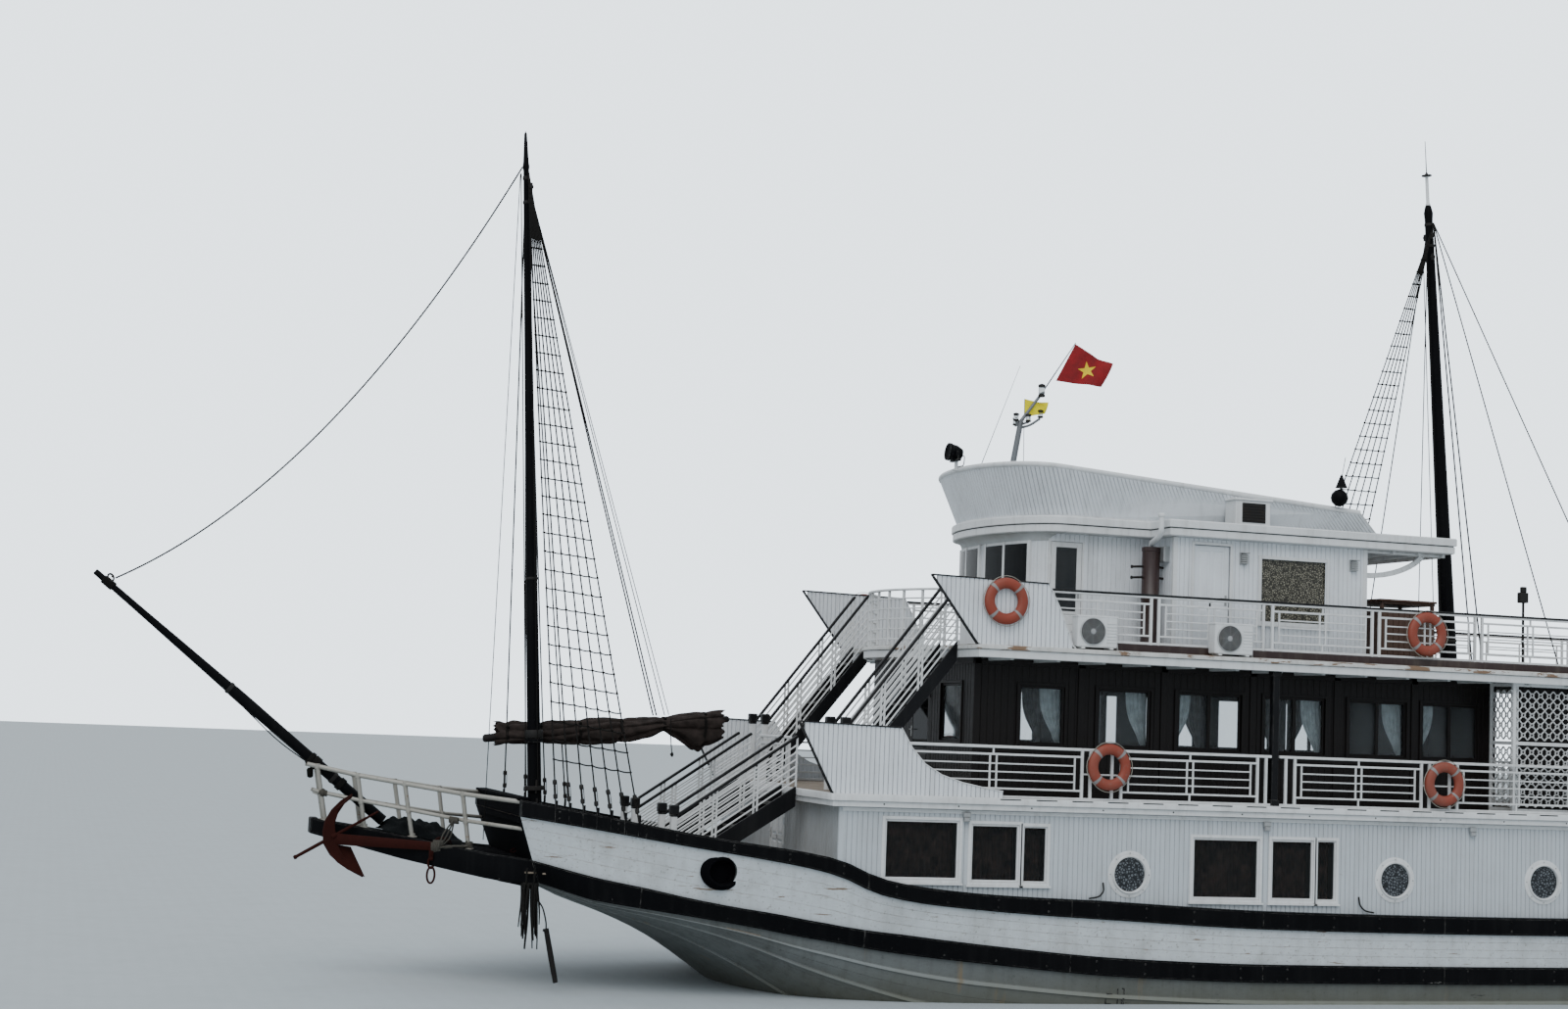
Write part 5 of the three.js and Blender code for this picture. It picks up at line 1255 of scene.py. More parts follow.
def aft_mast():
    rows = [(5.59, 0.150), (6.6, 0.140), (9.0, 0.122), (12.0, 0.095), (14.1, 0.074), (14.25, 0.085), (14.38, 0.055),
            (14.43, 0.02)]
    bands = [(6.2, 0.144, 0.05), (7.86, 0.134, 0.06), (13.6, 0.081, 0.05), (14.0, 0.078, 0.05)]
    iron, axis = mast("aft_mast", AFT_MAST, rows, bands, ("aft_mast",))
    for s in (1, -1):
        for z in (13.8, 13.4):
            p = on_mast(AFT_MAST, z, 0.02, s * 0.11)
            iron.lathe([(0.012, -0.026), (0.04, -0.02), (0.03, 0.0), (0.04, 0.02), (0.012, 0.026)], p, (0, 1, 0), 12)
            iron.beam(p + Vector((0, 0, 0.065)), p - Vector((0, 0, 0.065)), 0.07, 0.045, up=(1, 0, 0), ease=0.01)
    piece("aft_mast_ironwork", iron, dark_iron, smooth=35)
    pole, plate = Shape(), Shape()
    p = on_mast(AFT_MAST, 14.36)
    pole.lathe([(0.046, 0), (0.046, 0.06), (0.032, 0.08), (0.030, 0.62)], p, axis, 16)
    plate.lathe([(0.030, 0.585), (0.088, 0.592), (0.100, 0.603), (0.088, 0.616), (0.034, 0.624), (0.018, 0.66)], p,
                axis, 20)
    plate.lathe([(0.010, 0.65), (0.008, 0.90), (0.006, 1.262)], p, axis, 8)
    piece("aft_mast_plate", plate, dark_iron, smooth=40)
    piece("aft_mast_pole", pole, trim_white, smooth=40)


def aerial(name, start, end, radius):
    shape = Shape()
    a, b = Vector(start), Vector(end)
    shape.lathe([(radius * 2.4, 0), (radius * 2.4, 0.10), (radius * 1.2, 0.13), (radius, 0.3),
                 (radius * 0.5, (b - a).length)], a, b - a, 8)
    piece(name, shape, dark_iron, smooth=40)


foremast()
aft_mast()


def ladder(name, head, feet, levels, radius, stands_for, deadeyes=True):
    """Shrouds from a head to feet, crossed by sagging ratlines."""
    shape, knots = Shape(), Shape()
    head = Vector(head)
    feet = [Vector(p) for p in feet]
    for foot in feet:
        shape.tube([head, head.lerp(foot, 0.5) - Vector((0, 0, 0.01)), foot], radius, 8)
        if deadeyes:
            up = (head - foot).normalized()
            for away in (0.14, 0.36):
                knots.lathe([(0.012, -0.02), (0.032, -0.014), (0.036, 0.02), (0.032, 0.054), (0.012, 0.06)],
                            foot + up * away, up, 10)
            for turn in range(3):
                side = up.orthogonal().normalized() * 0.03
                side = Quaternion(up, turn * TAU / 3) @ side
                shape.tube([foot + up * 0.16 + side, foot + up * 0.38 + side], 0.006, 5)
    for t in levels:
        points = [head.lerp(foot, t) for foot in feet]
        path = []
        for a, b in zip(points, points[1:]):
            drop = (0.04 + 0.05 * math.sin(37 * t + 3 * a.x) ** 2) * (b - a).length
            path += [a.lerp(b, k / 4) - Vector((0, 0, drop * 4 * (k / 4) * (1 - k / 4))) for k in range(4)]
        path.append(points[-1])
        shape.tube(path, radius * 0.95, 6)
        for p, foot in zip(points, feet):
            shape.ring([(radius, -0.012), (radius * 1.8, -0.006), (radius * 1.8, 0.006), (radius, 0.012)], p,
                       head - foot, 8)
    piece(name, shape, dark_rope, smooth=60, stands_for=stands_for)
    if deadeyes:
        piece(name + "_deadeyes", knots, dark_iron, smooth=45)


# Backstays of each side: the foot's x and the rope's radius.
BACKSTAYS = {
    "port": ((-5.05, 0.013), (-5.26, 0.013), (-6.82, 0.011), (-8.41, 0.011)),
    "starboard": ((-6.57, 0.011), (-7.86, 0.009), (-8.41, 0.011)),
}


def rigging():
    plates = Shape()
    for name, s in SIDES:
        xs, levels = (np.linspace(10.60, 9.40, 7),
                      np.linspace(0.13, 0.93, 29)) if s > 0 else ((10.58, 10.18, 9.80, 9.40), ())
        feet = [(x, s * line(x, "beam"), line(x, "high") + 0.24) for x in xs]
        ladder(f"fore_shroud_ropes_{name}", (11.14, s * 0.09, 13.15), feet, levels, 0.012, (f"fore_shrouds_{name}",))
        for x, y, z in feet:
            plates.beam((x, y + s * 0.075, z - 0.24), (x, y + s * 0.05, z + 0.10), 0.04, 0.012, up=(0, 1, 0),
                        ease=0.003)
        shape = Shape()
        for x, radius in BACKSTAYS[name]:
            shape.tube([(-6.07, s * 0.09, 14.05), (x, s * 3.0, DECK3 + 0.05)], radius, 8)
            plates.tube([(x, s * 3.0, DECK3 + 0.03), (x + 0.03, s * 2.96, DECK3 + 0.16)], 0.016, 8)
            plates.lathe([(0.05, 0), (0.05, 0.012), (0.02, 0.02)], (x, s * 3.0, DECK3 + 0.02), sides=12)
        piece(f"backstay_ropes_{name}", shape, dark_rope, smooth=60, stands_for=(f"backstays_{name}",))
    feet = [(x, 1.81, ROOF_TOP + 0.01) for x in np.linspace(-2.86, -3.66, 6)]
    ladder("aft_shroud_ropes_port", (-6.05, 0.09, 13.95), feet, np.linspace(0.11, 0.94, 21), 0.011,
           ("aft_shrouds_port",), deadeyes=False)
    piece("chain_plates", plates, black_paint, smooth=40)
    stay = Shape()
    a, b = on_mast(FOREMAST, 13.21, 0.06), Vector((17.24, 0, 6.06))
    middle = (a + b) / 2 + Vector((-0.06, 0, -0.97))
    control = middle * 2 - (a + b) / 2
    stay.tube([a * (1 - t) ** 2 + control * 2 * t * (1 - t) + b * t * t for t in np.linspace(0, 1, 48)], 0.013, 8)
    piece("forestay_rope", stay, dark_rope, smooth=60, stands_for=("forestay",))
    lines = Shape()
    lines.tube([on_mast(FOREMAST, 13.1, 0.09, 0.03), on_mast(FOREMAST, 2.45, 0.15, 0.03)], 0.009, 6)
    lines.tube([on_mast(FOREMAST, 13.1, 0.09, -0.03), (11.2, -0.55, 2.14)], 0.007, 6)
    lines.tube([on_mast(FOREMAST, 12.62, -0.03, 0.135), on_mast(FOREMAST, 3.02, -0.03, 0.145)], 0.008, 6)
    lines.tube([on_mast(FOREMAST, 12.62, -0.03, -0.135), on_mast(FOREMAST, 3.02, -0.03, -0.145)], 0.008, 6)
    lines.tube([on_mast(AFT_MAST, 13.5, 0.11, 0.06), on_mast(AFT_MAST, 6.1, 0.19, 0.08)], 0.008, 6)
    lines.tube([on_mast(AFT_MAST, 13.5, 0.11, -0.06), on_mast(AFT_MAST, 6.1, 0.27, -0.04)], 0.008, 6)
    piece("halyards", lines, dark_rope, smooth=60)


rigging()

# Boom and furled sail. Columns: x, centre height, up, down, half.
FURL = np.array([
    (7.27, 4.25, 0.16, 0.31, 0.14), (7.56, 4.217, 0.17, 0.46, 0.20), (7.70, 4.20, 0.172, 0.545, 0.21),
    (7.88, 4.18, 0.17, 0.435, 0.21),
    (8.07, 4.16, 0.157, 0.29, 0.20), (8.31, 4.13, 0.14, 0.135, 0.16), (8.60, 4.10, 0.143, 0.226, 0.19),
    (9.03, 4.05, 0.164, 0.275, 0.20),
    (9.51, 4.0, 0.192, 0.25, 0.20), (9.98, 3.94, 0.21, 0.21, 0.19), (10.59, 3.874, 0.222, 0.142, 0.18),
    (10.91, 3.84, 0.247, 0.135, 0.175),
    (11.13, 3.813, 0.25, 0.14, 0.16),
])
TIES = (7.62, 8.31, 9.05, 9.75, 10.4, 10.95)


def furled(x, k):
    return float(eased(FURL[:, 0], FURL[:, k], x))


def fold_ring(x, count, reach=1.0):
    """The furled cloth's section: a wrap with deep pleats that wander along the boom, open underneath."""
    z, up, down, half = (furled(x, k) for k in (1, 2, 3, 4))
    near = min(abs(x - t) for t in TIES)
    pinch = 1 - 0.13 * math.exp(-((near / 0.07) ** 2))
    points = []
    for i in range(count):
        share = i / (count - 1)
        a = math.radians(-85 + 350 * share)
        wander = 1.3 * math.sin(x * 1.3 + 0.7) + 0.5 * math.sin(x * 3.1 + 2 * a)
        pleat = abs(math.sin(4.2 * a + wander)) ** 0.6
        loose = 0.05 * math.sin(3.2 * x + 2.5 * a) + 0.035 * math.sin(8 * x + 5 * a) + 0.02 * math.sin(21 * x - 7 * a)
        r = reach * pinch * (0.76 + 0.22 * pleat + loose)
        tall = up if math.sin(a) > 0 else down
        points.append(Vector((x + 0.03 * math.sin(9 * a), BOOM_Y + math.cos(a) * half * r,
                              z + math.sin(a) * tall * r)))
    return points


def boom():
    a, b = Vector((11.33, BOOM_Y, 3.79)), Vector((7.18, BOOM_Y, 4.26))
    shape = Shape()
    shape.lathe([(0.045, 0), (0.066, 0.03), (0.07, 1.2), (0.062, 3.0), (0.055, (b - a).length - 0.03),
                 (0.04, (b - a).length)], a, b - a, 20)
    piece("boom_spar", shape, timber_black, body="boom", smooth=40, stands_for=("boom",))
    iron = Shape()
    axis = Vector((FOREMAST["lean"], 0, 1)).normalized()
    iron.ring([(0.119, 0), (0.143, 0), (0.15, 0.012), (0.15, 0.118), (0.143, 0.13), (0.119, 0.13)],
              on_mast(FOREMAST, 3.832), axis, 28)
    x = on_mast(FOREMAST, 3.895).x
    iron.tube([(x, -0.13, 3.895), (x, BOOM_Y + 0.05, 3.885)], 0.045, 16)
    along = (b - a).normalized()
    for t in (0.66, 0.9, 3.95):
        iron.ring([(0.05, -0.03), (0.078, -0.03), (0.082, 0), (0.078, 0.03), (0.05, 0.03)], a + along * t, along, 20)
    piece("boom_ironwork", iron, dark_iron, body="boom", smooth=40)
    count, xs = 130, np.linspace(7.30, 11.13, 150)
    rings = [fold_ring(x, count) for x in xs]
    for ends, ragged in ((rings[:4], -1), (rings[-4:], 1)):
        for k, ring in enumerate(ends):
            strength = (3 - k if ragged < 0 else k) / 3
            for i, p in enumerate(ring):
                p.x += ragged * strength * (0.02 * math.sin(i * 0.9) + 0.02 * math.sin(i * 0.37 + 1))
    shape = Shape()
    shape.loft(rings, ends=False, closed=False)
    cloth_piece = sheet_piece("furled_sail_cloth", shape, rings, sailcloth, body="boom",
                              stands_for=("furled_sail",))
    ties = Shape()
    for x in TIES:
        for dx in (-0.012, 0.014):
            ties.tube([p + Vector((dx + 0.012 * math.sin(i), 0, 0)) for i, p in enumerate(tie_ring(x))], 0.010, 6,
                      closed=True)
        knot = tie_ring(x)[3]
        ties.lathe([(0.008, -0.03), (0.026, -0.02), (0.03, 0.0), (0.024, 0.02), (0.008, 0.03)], knot, (1, 0.2, 0), 10)
    piece("furled_sail_ties", ties, dark_rope, body="boom", smooth=60)
    lifts = Shape()
    for x, y, z, radius in ((8.50, -0.30, 4.27, 0.012), (8.43, -0.35, 4.27, 0.012), (8.30, -0.31, 4.28, 0.008),
                            (8.22, -0.34, 4.29, 0.007)):
        lifts.tube([on_mast(FOREMAST, 13.05, -0.01, 0.0), (x, y, z)], radius, 6)
    piece("boom_lifts", lifts, dark_rope, body="boom", smooth=60)


def tie_ring(x):
    z, up, down, half = (furled(x, k) for k in (1, 2, 3, 4))
    r = 0.84
    return [Vector((x, BOOM_Y + math.cos(a) * half * r,
                    z + math.sin(a) * (up if math.sin(a) > 0 else down) * r)) for a in np.linspace(0, TAU, 24,
                            endpoint=False)]


def sheet_piece(name, shape, rings, material, body="ship", stands_for=()):
    """A sheet with its own flat map in metres, stored as a UV map."""
    mesh = bpy.data.meshes.new(name)
    mesh.from_pydata([tuple(p) for p in shape.points], [], shape.faces)
    n = len(rings[0])
    across = np.zeros((len(rings), n))
    along = np.zeros((len(rings), n))
    for i, ring in enumerate(rings):
        for j in range(n):
            across[i, j] = across[i, j - 1] + (ring[j] - ring[j - 1]).length if j else 0
            along[i, j] = along[i - 1, j] + (ring[j] - rings[i - 1][j]).length if i else 0
    flat = mesh.uv_layers.new(name="flat")
    for loop in mesh.loops:
        i, j = divmod(loop.vertex_index, n)
        flat.data[loop.index].uv = (along[i, j], across[i, j])
    mesh.shade_smooth()
    mesh.materials.append(material)
    made = bpy.data.objects.new(name, mesh)
    bpy.context.scene.collection.objects.link(made)
    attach(made, body)
    if stands_for:
        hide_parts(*stands_for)
    return made


timber_black = timber("boom timber", (0.014, 0.012, 0.011), (0.006, 0.005, 0.005), 0.7, LENGTHWISE, 0.1, 0.2,
                      shine=0.2, dirt=(0.02, 0.018, 0.016))
boom()


# Joinery


def boards(shape, place, u0, u1, low, high, holes=(), pitch=0.085, gap=0.010, thick=0.014):
    """Upright matched boards from low(u) to high(u). holes are (u0, u1, z0, z1)."""
    count = max(1, round((u1 - u0) / pitch))
    wide = (u1 - u0) / count
    ease = 0.004
    for i in range(count):
        a, b = u0 + i * wide + gap / 2, u0 + (i + 1) * wide - gap / 2
        middle = (a + b) / 2
        foot = (low(a), low(b))
        cuts = sorted((z0, z1) for h0, h1, z0, z1 in holes if h0 < middle < h1)
        for cut in [*cuts, None]:
            top = (cut[0], cut[0]) if cut else (high(a), high(b))
            if min(top[0] - foot[0], top[1] - foot[1]) > 0.02:
                section = [(a, 0.0), (a, thick - ease), (a + ease, thick), (b - ease, thick), (b, thick - ease),
                           (b, 0.0)]
                ends = [[place(u, o, z0 + (z1 - z0) * (u - a) / (b - a)) for u, o in section] for z0,
                        z1 in (foot, top)]
                shape.prism(*ends)
            if cut:
                foot = (cut[1], cut[1])


def bar_on(shape, place, u0, u1, z0, z1, o0, o1, ease=0.004):
    """A flat timber on a wall, with its outer edges eased off."""
    ease = min(ease, abs(u1 - u0) / 3, abs(z1 - z0) / 3)
    base = [place(u, o0, z) for u, z in ((u0, z0), (u1, z0), (u1, z1), (u0, z1))]
    middle = [place(u, o1 - ease, z) for u, z in ((u0, z0), (u1, z0), (u1, z1), (u0, z1))]
    top = [place(u, o1, z) for u, z in ((u0 + ease, z0 + ease), (u1 - ease, z0 + ease), (u1 - ease, z1 - ease),
                                        (u0 + ease, z1 - ease))]
    shape.loft([base, middle, top])


def surround(shape, place, u0, u1, z0, z1, wide, o0, o1, sill=0.0):
    """A window or door frame around an opening, with an optional sill."""
    bar_on(shape, place, u0 - wide, u0, z0 - wide, z1 + wide, o0, o1)
    bar_on(shape, place, u1, u1 + wide, z0 - wide, z1 + wide, o0, o1)
    bar_on(shape, place, u0, u1, z1, z1 + wide, o0, o1)
    bar_on(shape, place, u0, u1, z0 - wide, z0, o0, o1)
    if sill:
        bar_on(shape, place, u0 - wide - 0.02, u1 + wide + 0.02, z0 - wide - 0.03, z0 - wide, o0, o1 + sill)


def sash(shape, place, u0, u1, z0, z1, wide, o0, o1):
    """The moving frame inside an opening."""
    bar_on(shape, place, u0, u0 + wide, z0, z1, o0, o1)
    bar_on(shape, place, u1 - wide, u1, z0, z1, o0, o1)
    bar_on(shape, place, u0 + wide, u1 - wide, z1 - wide, z1, o0, o1)
    bar_on(shape, place, u0 + wide, u1 - wide, z0, z0 + wide, o0, o1)


def pane(shape, place, u0, u1, z0, z1, out, thick=0.006):
    shape.plate([(u0, z0), (u1, z0), (u1, z1), (u0, z1)], place, out - thick, out)


def hanging(name, place, u0, u1, z0, z1, out, material, folds=9, deep=0.022, tied=None, body="ship"):
    """A curtain with upright folds, gathered towards one side at its tie."""
    rings = []
    count = folds * 8 + 1
    for k in range(15):
        t = k / 14
        z = z1 + (z0 - z1) * t
        pull = 0.0 if tied is None else 0.72 * math.exp(-(((t - 0.62) / 0.25) ** 2)) + (0.25 * t if t > 0.62 else 0)
        ring = []
        for i in range(count):
            share = i / (count - 1)
            u = u0 + (u1 - u0) * share
            if tied is not None:
                anchor = u0 if tied < 0 else u1
                u = anchor + (u - anchor) * (1 - pull)
            wave = math.cos(TAU * folds * share + 0.6 * math.sin(3 * t))
            ring.append(Vector(place(u, out - deep * (0.5 + 0.5 * t) * wave, z)))
        rings.append(ring)
    shape = Shape()
    shape.loft(rings, ends=False, closed=False)
    made = sheet_piece(name, shape, rings, material, body=body)


def wall_lamp(shape, place, u, z):
    """A small ribbed lamp under its hood."""
    bar_on(shape, place, u - 0.07, u + 0.07, z - 0.10, z + 0.10, 0.0, 0.03, 0.006)
    for k in range(5):
        bar_on(shape, place, u - 0.055, u + 0.055, z - 0.085 + 0.032 * k, z - 0.062 + 0.032 * k, 0.03, 0.10, 0.004)
    bar_on(shape, place, u - 0.075, u + 0.075, z + 0.085, z + 0.10, 0.03, 0.12, 0.004)


def side_wall(half, s):
    return lambda u, o, z: (u, s * (half + o), z)


def end_wall(x, facing=1):
    return lambda u, o, z: (x + facing * o, u, z)


# Lower house. Columns: aft end, fore end, sill, head.
HOUSE_WINDOWS = [
    (-9.5, -8.25, 1.64, 2.6), (-2.31, -1.96, 1.67, 2.65), (-1.89, -1.11, 1.67, 2.65), (-0.89, 0.32, 1.67, 2.65),
    (2.89, 3.3, 1.88, 2.76), (3.37, 4.19, 1.88, 2.78), (4.39, 5.63, 1.9, 2.82),
]
PORTHOLES = [(1.44, 2.04), (-3.43, 2.03), (-6.33, 2.04), (-11.0, 2.06)]
HOUSE_LAMPS = [(4.29, 2.9), (-1.0, 2.88), (-4.9, 2.88), (-7.4, 2.88), (-10.1, 2.88)]


def lower_house():
    dark = Shape()
    for name, s in SIDES:
        wall = side_wall(HOUSE, s)
        skin, trims, glass, lace, lamps = (Shape() for _ in range(5))
        holes = list(HOUSE_WINDOWS) + [(x - 0.24, x + 0.24, z - 0.24, z + 0.24) for x, z in PORTHOLES]
        boards(skin, wall, HOUSE_AFT, HOUSE_FORE, lambda u: line(u, "high") + 0.15, lambda u: 2.985, holes)
        for x in (HOUSE_AFT, HOUSE_FORE):
            bar_on(skin, wall, x - 0.05, x + 0.05, line(x, "high") + 0.15, 2.99, -0.03, 0.024)
        bar_on(trims, wall, HOUSE_AFT, HOUSE_FORE, 2.93, 2.99, 0.0, 0.035)
        for k, (a, b, z0, z1) in enumerate(HOUSE_WINDOWS):
            wide = 0.022 if k in (1, 4) else 0.032
            surround(trims, wall, a, b, z0, z1, 0.05, -0.02, 0.035, sill=0.03)
            sash(trims, wall, a, b, z0, z1, wide, -0.045, 0.012)
            pane(glass, wall, a + wide, b - wide, z0 + 0.04, z1 - 0.04, -0.02)
            hanging(f"house_drape_{k + 1}_{name}", wall, a + 0.03, b - 0.03, z0 - 0.1, z1 + 0.06, -0.16, drape,
                    folds=max(4, int((b - a) * 11)))
            dark.box(a - 0.05, b + 0.05, s * (HOUSE - 0.20), s * (HOUSE - 0.21), z1 + 0.05, z1 + 0.075)
        for x, z in PORTHOLES:
            at, axis = (x, s * (HOUSE + 0.012), z), (0, s, 0)
            trims.ring([(0.27, -0.02), (0.27, 0.022), (0.282, 0.045), (0.300, 0.045), (0.312, 0.016), (0.355, 0.018),
                        (0.375, 0.010), (0.375, -0.02)], at, axis, 40)
            lace.lathe([(0.272, -0.012), (0.272, 0.002), (0.2, 0.006)], at, axis, 36)
            for a in np.linspace(0, TAU, 8, endpoint=False):
                p = (x + 0.34 * math.cos(a), s * (HOUSE + 0.030), z + 0.34 * math.sin(a))
                lamps.lathe([(0.012, 0), (0.010, 0.006), (0.004, 0.008)], p, axis, 8)
        for x, z in HOUSE_LAMPS:
            bar_on(lamps, wall, x - 0.06, x + 0.06, z - 0.02, z + 0.06, 0.03, 0.09, 0.01)
            bar_on(lamps, wall, x - 0.045, x + 0.045, z - 0.09, z - 0.02, 0.04, 0.10, 0.012)
        hooks = Shape()
        for x, d in ((2.0, -1), (-2.85, 1)):
            foot = line(x, "high") + WALE
            curve = ((0.10, 0.02, 0.28), (0.10, 0.05, 0.18), (0.0, 0.07, 0.06), (-0.16, 0.07, 0.03))
            hooks.tube(arc_line([(x + d * u, s * (HOUSE + out), foot + up) for u, out, up in curve], 12), 0.014, 8)
        piece(f"lower_house_boards_{name}", skin, shaded_house_white)
        piece(f"lower_house_frames_{name}", trims, trim_white, smooth=35)
        piece(f"lower_house_panes_{name}", glass, dark_glass)
        piece(f"porthole_panes_{name}", lace, lace_glass, smooth=35)
        piece(f"lower_house_lamps_{name}", lamps, grey_metal, smooth=35)
        piece(f"lower_house_hooks_{name}", hooks, dark_iron, smooth=50)
    piece("drape_rods", dark, inner_wood)
    skin, trims, knobs = Shape(), Shape(), Shape()
    door = (-0.38, 0.38, 0, 2.94)
    for x, facing, floor in ((HOUSE_FORE, 1, FOREDECK), (HOUSE_AFT, -1, AFT_DECK)):
        wall = end_wall(x, facing)
        reach = line(x, "beam") - 0.14
        boards(skin, wall, -reach, reach, lambda u: floor + 0.02, lambda u: 2.985, [door])
        surround(trims, wall, -0.38, 0.38, floor + 0.10, 2.94, 0.04, -0.02, 0.012)
        bar_on(trims, wall, -reach, -0.43, floor + 0.02, floor + 0.14, 0.0, 0.03)
        bar_on(trims, wall, 0.43, reach, floor + 0.02, floor + 0.14, 0.0, 0.03)
    # the end walls' boards are grey as painted shade
    piece("lower_house_end_boards", skin, shaded_grey_boards)
    piece("lower_house_end_frames", trims, trim_white)
    leaf(knobs, end_wall(HOUSE_FORE), -0.374, 0.374, 1.846, 2.934, "house_door", "house_door", trim_white,
         glazed=False)


def leaf(_, wall, u0, u1, z0, z1, name, body, material, glazed, handle=-1):
    """What a door leaf carries: raised rails round its panels or pane, and its handle."""
    rails, furniture = Shape(), Shape()
    stile = 0.09
    sash(rails, wall, u0, u1, z0, z1, stile, -0.02, 0.010)
    if glazed:
        glass = Shape()
        low = z0 + stile + 0.02 if glazed == "tall" else z0 + 0.35 * (z1 - z0)
        bar_on(rails, wall, u0 + stile, u1 - stile, low - 0.05, low, -0.02, 0.010)
        pane(glass, wall, u0 + stile, u1 - stile, low, z1 - stile, 0.004, 0.01)
        piece(name + "_pane", glass, smoked_glass, body=body)
        if low > z0 + 0.3:
            panel(rails, wall, u0 + stile + 0.03, u1 - stile - 0.03, z0 + stile + 0.03, low - 0.08)
    else:
        middle = (u0 + u1) / 2
        split = z0 + 0.45 * (z1 - z0)
        bar_on(rails, wall, u0 + stile, u1 - stile, split - 0.04, split + 0.04, -0.02, 0.010)
        bar_on(rails, wall, middle - 0.03, middle + 0.03, z0 + stile, z1 - stile, -0.02, 0.010)
        for a, b in ((u0 + stile + 0.03, middle - 0.06), (middle + 0.06, u1 - stile - 0.03)):
            panel(rails, wall, a, b, z0 + stile + 0.03, split - 0.07)
            panel(rails, wall, a, b, split + 0.07, z1 - stile - 0.03)
    u = u0 + 0.05 if handle < 0 else u1 - 0.05
    z = z0 + 0.5 * (z1 - z0)
    bar_on(furniture, wall, u - 0.02, u + 0.02, z - 0.09, z + 0.09, 0.010, 0.016)
    inward = 1 if handle < 0 else -1
    points = [wall(u, 0.012, z + 0.03), wall(u, 0.05, z + 0.03), wall(u + inward * 0.02, 0.06, z + 0.03),
              wall(u + inward * 0.12, 0.06, z + 0.03)]
    furniture.tube(points, 0.008, 10)
    furniture.lathe([(0.012, 0), (0.012, 0.006), (0.006, 0.008)], wall(u, 0.016, z - 0.05),
                    Vector(wall(u, 1, z)) - Vector(wall(u, 0, z)), 12)
    piece(name + "_rails", rails, material, body=body)
    piece(name + "_handle", furniture, grey_metal, body=body, smooth=40)


def panel(shape, wall, u0, u1, z0, z1):
    """A raised field."""
    base = [(u0, z0), (u1, z0), (u1, z1), (u0, z1)]
    inner = [(u0 + 0.02, z0 + 0.02), (u1 - 0.02, z0 + 0.02), (u1 - 0.02, z1 - 0.02), (u0 + 0.02, z1 - 0.02)]
    shape.loft([[wall(u, -0.004, z) for u, z in base], [wall(u, 0.001, z) for u, z in base],
                [wall(u, 0.008, z) for u, z in inner]])


lower_house()

DECK2_X, DECK3_X = (-13.2, 6.52), (-12.6, 4.18)
BOW_OUT_HALF, BOW_OUT = 1.7, 0.56


def front_arc(x, half, by=BOW_OUT, count=25):
    return [(x + by * (1 - t * t), t * half) for t in np.linspace(-1, 1, count)]


def swept(shape, path, profile, closed=False):
    """A profile of (outwards, z) along a plan path whose outside is on its right hand."""
    n = len(path)
    rings = []
    for i, (x, y) in enumerate(path):
        before = path[i - 1] if i or closed else path[i]
        after = path[(i + 1) % n] if i + 1 < n or closed else path[i]
        d1 = Vector((x - before[0], y - before[1])) if before != (x, y) else Vector((after[0] - x, after[1] - y))
        d2 = Vector((after[0] - x, after[1] - y)) if after != (x, y) else d1
        d1.normalize()
        d2.normalize()
        normal = Vector((d1.y + d2.y, -d1.x - d2.x))
        normal /= max(normal.length_squared / 2, 0.6)
        rings.append([(x + normal.x * o, y + normal.y * o, z) for o, z in profile])
    if closed:
        rings.append(rings[0])
    shape.loft(rings, ends=not closed)


def straight(a, b, count):
    return [(a[0] + (b[0] - a[0]) * t, a[1] + (b[1] - a[1]) * t) for t in np.linspace(0, 1, count)]


